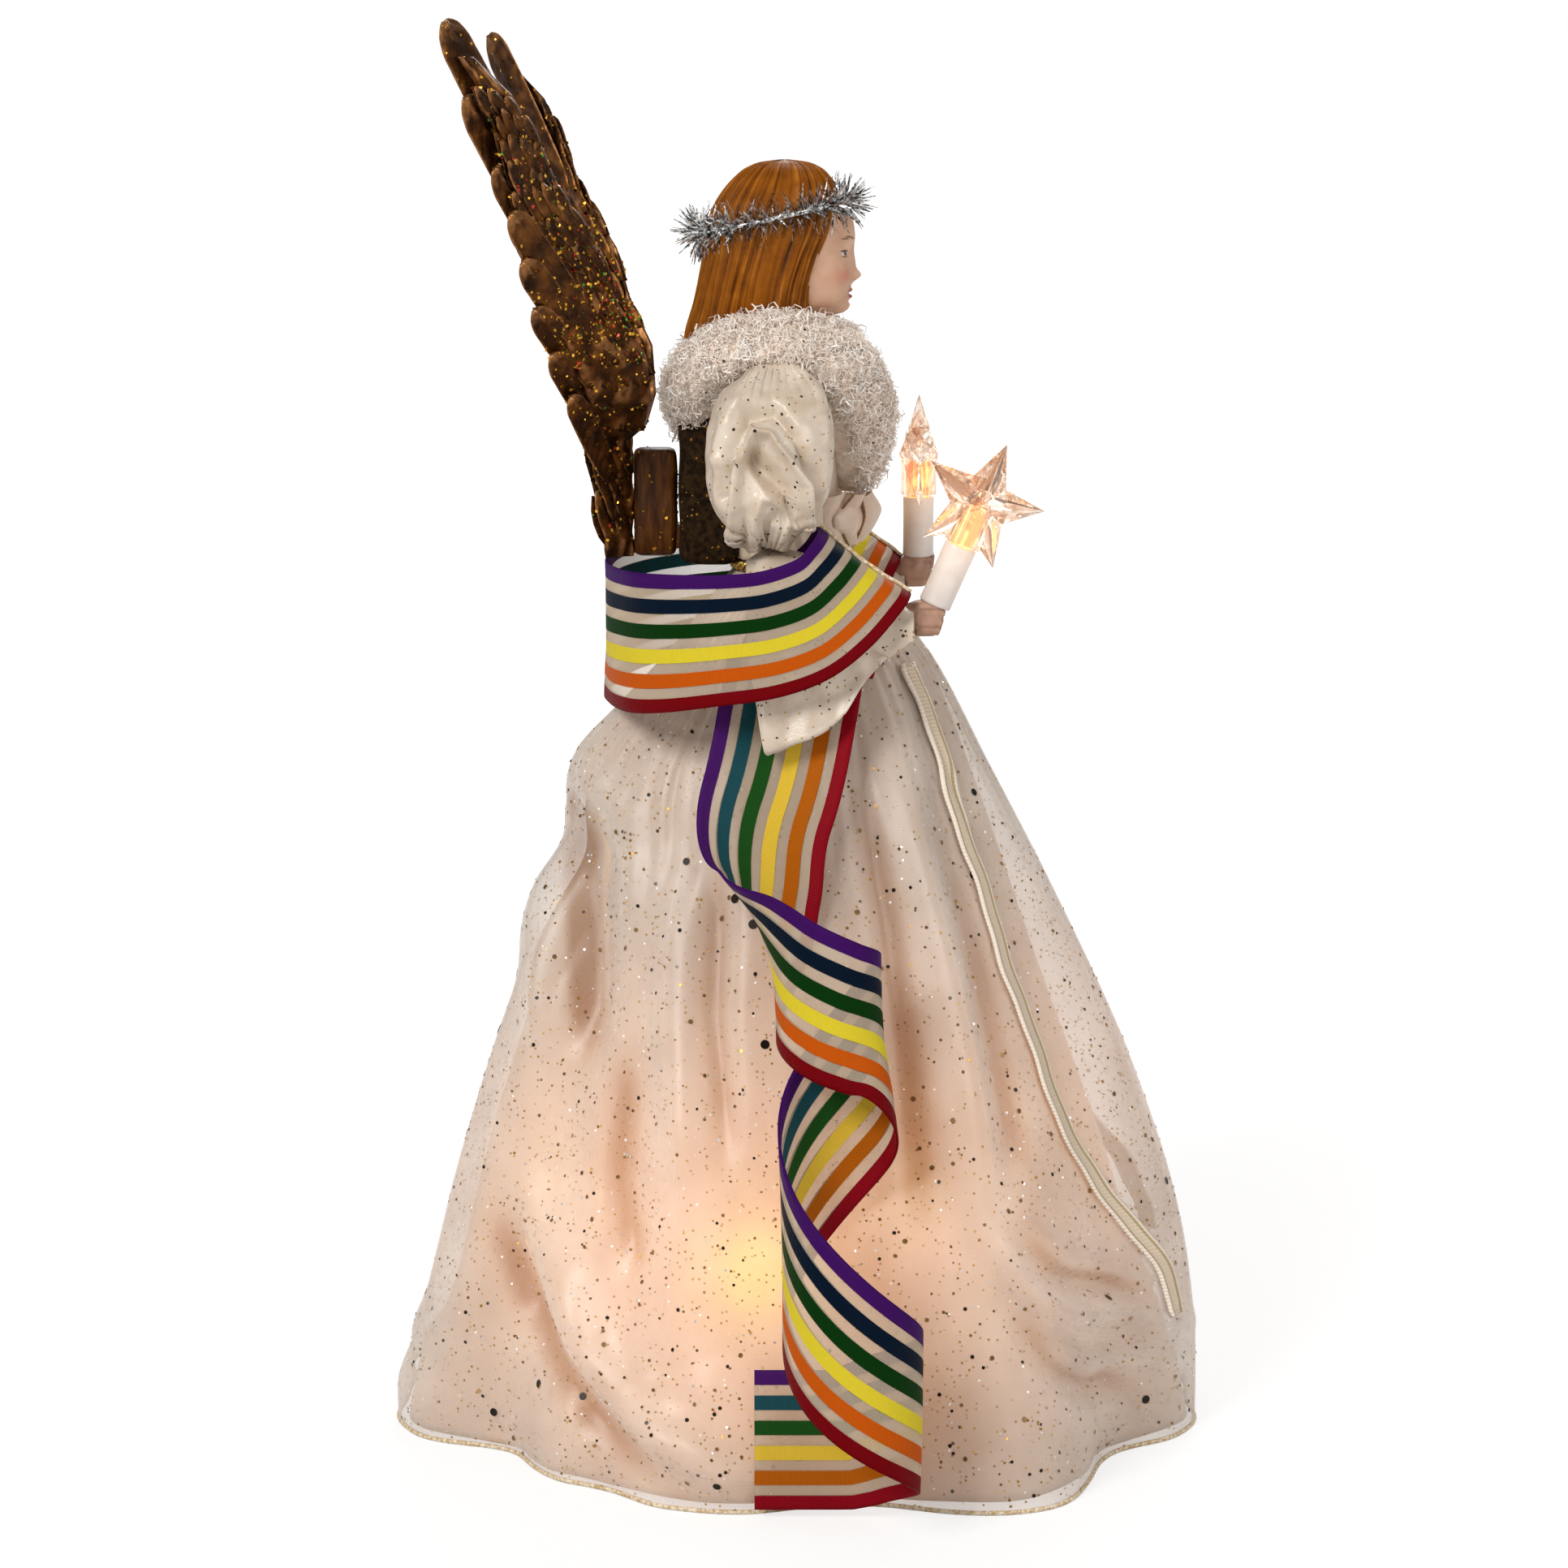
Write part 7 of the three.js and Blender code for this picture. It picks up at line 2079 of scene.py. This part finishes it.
# The band from the middle of the back to the inner side of the right forearm: upper edge, then lower edge,
# as shares of its reach behind, its span and its drape.
BAND_EDGES = (
    ((-1, 0, 0), (-1, 0, -1.0033)), ((-0.985, -0.25, 0.0063), (-0.985, -0.25, -0.997)),
    ((-0.93, -0.52, 0.019), (-0.93, -0.52, -0.9843)), ((-0.8, -0.77, 0.0317), (-0.82, -0.77, -0.9652)),
    ((-0.58, -0.93, 0.0444), (-0.64, -0.93, -0.9208)), ((-0.33, -0.99, 0.0571), (-0.4, -0.99, -0.8636)),
    ((-0.16, -1, 0.0889), (-0.1, -1, -0.8001)), ((0, -0.975, 0.1651), (0.15, -0.99, -0.6731)),
    ((0.06, -0.92, 0.254), (0.36, -0.95, -0.4572)), ((0.09, -0.84, 0.3016), (0.52, -0.87, -0.2159)),
    ((0.1, -0.73, 0.3175), (0.56, -0.78, -0.1397)), ((0.08, -0.6, 0.3048), (0.55, -0.62, -0.1588)),
    ((0.03, -0.5, 0.1905), (0.5, -0.5, -0.2858)), ((-0.14, -0.455, -0.0635), (0.47, -0.455, -0.4445)),
    ((-0.24, -0.49, -0.381), (0.42, -0.49, -0.635)), ((-0.34, -0.58, -0.6731), (0.38, -0.58, -0.762)),
)
BAND_REACH = 42.0
BAND_SPAN = 47.0
BAND_HEIGHT = 190.5
BAND_DRAPE = 30.0
# The hanging curl: turn in degrees, height, radius, and the axis ahead and aside, as shares.
CURL = (
    (270, 1, 2.6, -0.14, 0.712), (272, 0.88, 2, -0.4, 0.71), (300, 0.78, 1.1, -0.1, 0.652),
    (360, 0.705, 0.75, 0.35, 0.652), (450, 0.655, 0.75, 0.42, 0.676), (540, 0.61, 0.78, 0.46, 0.725),
    (630, 0.5, 0.95, 0.6, 0.815), (720, 0.37, 1, 0.77, 0.888), (810, 0.25, 1, 0.77, 0.938),
    (900, 0.165, 1, 0.77, 0.965), (990, 0.105, 0.95, 0.7, 0.975),
)
CURL_RADIUS = 14.0
TAIL_TOP = 163.0
TAIL_ASIDE = 98.0
# How many rows of points the band has from end to end, and the row on top of the right forearm.
BAND_STEPS = 360
CREST_STEP = 304
BAND_LENGTH = 0.254
TAIL_LENGTH = 0.263


def striped(name, stripes, gauze):
    """Woven polyester ribbon: six satin stripes, and sheer gauze between them."""
    material, tree, shader, _ = new_material(name)
    own = add_node(tree, "ShaderNodeUVMap", uv_map="UVMap")
    across = add_node(tree, "ShaderNodeSeparateXYZ", {"Vector": own}).outputs["X"]
    stops = []
    for k, stripe in enumerate(stripes):
        start = k * RIBBON_STEP / RIBBON_WIDTH
        stops += [(start, stripe), (start + RIBBON_STRIPE / RIBBON_WIDTH, gauze)]
    shade = add_node(tree, "ShaderNodeValToRGB", {"Fac": across}, stops[:-1])
    shade.color_ramp.interpolation = "CONSTANT"
    one_step = {0: across, 1: RIBBON_STEP / RIBBON_WIDTH}
    steps = add_node(tree, "ShaderNodeMath", one_step, operation="FLOORED_MODULO")
    one_stripe = {0: steps, 1: RIBBON_STRIPE / RIBBON_WIDTH}
    woven = add_node(tree, "ShaderNodeMath", one_stripe, operation="LESS_THAN")
    # Real threads are 0.15 mm apart, drawn at 0.5 mm so that they show.
    threads = add_node(tree, "ShaderNodeTexWave", {
        "Vector": own, "Scale": RIBBON_WIDTH / 0.5 / 20 * math.tau, "Distortion": 0.6,
    }, bands_direction="Y")
    relief = add_node(tree, "ShaderNodeBump", {"Height": threads.outputs["Fac"], "Distance": 0.05 * MM})
    fill(tree, shader, {
        "Base Color": shade, "Roughness": 0.5, "Specular IOR Level": 0.05, "Normal": relief,
    })
    see_through(tree, shader, 0.35, 0.36, 0.78, woven)
    return material


def band_rows():
    half = np.array(BAND_EDGES) * [BAND_REACH, BAND_SPAN, BAND_DRAPE] + [0, 0, BAND_HEIGHT]
    whole = np.concatenate([(half[1:] * [1, -1, 1])[::-1], half])
    smooth = through(whole, np.linspace(0, len(whole) - 1, BAND_STEPS))
    t = np.linspace(0, 1, 31)[None, :, None]
    rows = smooth[:, :1] * (1 - t) + smooth[:, 1:] * t
    along = np.arange(BAND_STEPS)[:, None]
    ripple = 0.25 * np.sin(along * 0.09 + t[..., 0] * 4) + 0.2 * np.sin(along * 0.21 - t[..., 0] * 5)
    return rows + grid_normals(rows, False) * ripple[..., None]


def tail_rows(mirror):
    values = through(CURL, np.linspace(0, len(CURL) - 1, 253))
    turn = np.radians(values[:, 0])
    radius = values[:, 2] * CURL_RADIUS
    outward = np.stack([-np.cos(turn), -np.sin(turn), 0 * turn], 1)
    onward = np.stack([np.sin(turn), -np.cos(turn), 0 * turn], 1)
    axis = np.stack([values[:, 3] * CURL_RADIUS, -values[:, 4] * TAIL_ASIDE, values[:, 1] * TAIL_TOP], 1)
    centre = axis + outward * radius[:, None]
    flat = CURL_RADIUS * 1.35 * np.arange(1, 15)[:, None] / 14
    centre = np.concatenate([centre, centre[-1] + onward[-1] * flat])
    outward = np.concatenate([outward, np.repeat(outward[-1:], 14, 0)])
    onward = np.concatenate([onward, np.repeat(onward[-1:], 14, 0)])
    radius = np.concatenate([radius, np.full(14, CURL_RADIUS * 40)])
    run = np.gradient(centre, axis=0)
    fall = np.arctan2(-run[:, 2], np.abs((run * onward).sum(1)))[:, None]
    across = np.linspace(1, -1, 31)[None] * RIBBON_WIDTH / 2
    swing = (across * np.sin(fall) / radius[:, None])[..., None]
    rows = centre[:, None] + onward[:, None] * radius[:, None, None] * np.sin(swing)
    rows = rows + outward[:, None] * radius[:, None, None] * (np.cos(swing) - 1)
    rows[..., 2] += across * np.cos(fall)
    # The ribbon's end runs up behind the cuff, to where it is stitched.
    stitched = rows[:1] + np.linspace(1, 0.1, 10)[:, None, None] * [1.5, 1.0, 9.0]
    return np.concatenate([stitched, rows]) * [1, mirror, 1]


def make_ribbon(name, node, rows, front, back, length, rests_on, held):
    made = strip_piece(name, rows, 0.5, [front, back])
    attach(made, "figure")
    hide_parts(node)


outer_face = striped(
    "striped ribbon face", ("#3a0c58", "#021224", "#033004", "#d6c22e", "#be5206", "#6e0008"), "#d4c0a9",
)
inner_face = striped(
    "striped ribbon reverse", ("#451860", "#1c4a52", "#1a4a18", "#dcb83a", "#ae5a0a", "#860818"), "#d4c0a9",
)
make_ribbon(
    "stole_ribbon", "stole_band", band_rows(), outer_face, inner_face, BAND_LENGTH,
    ["right_cuff", "left_cuff"], "draped",
)
for side_name, mirror in (("right", 1), ("left", -1)):
    make_ribbon(
        f"{side_name}_ribbon_tail", f"{side_name}_stole_tail", tail_rows(mirror),
        *((outer_face, inner_face) if mirror == 1 else (inner_face, outer_face)), TAIL_LENGTH,
        [f"{side_name}_cuff"], "hung",
    )

# Gold trim
# A thin cord overlocked with cream and gold thread, like the organza's hem, is glued to the stole along
# the crest where it goes over each forearm.


def make_trim(side, at):
    rows = band_rows()
    crest = (rows + grid_normals(rows, False) * 0.65)[at]
    wander = 0.12 * np.sin(np.arange(31) * 0.8)[:, None] * [1, 0, 0]
    made = tube(f"{side}_gold_trim", crest + wander, 0.85, 8, [hem_thread], flatness=0.5)
    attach(made, "figure")


make_trim("right", CREST_STEP)
make_trim("left", BAND_STEPS - 1 - CREST_STEP)
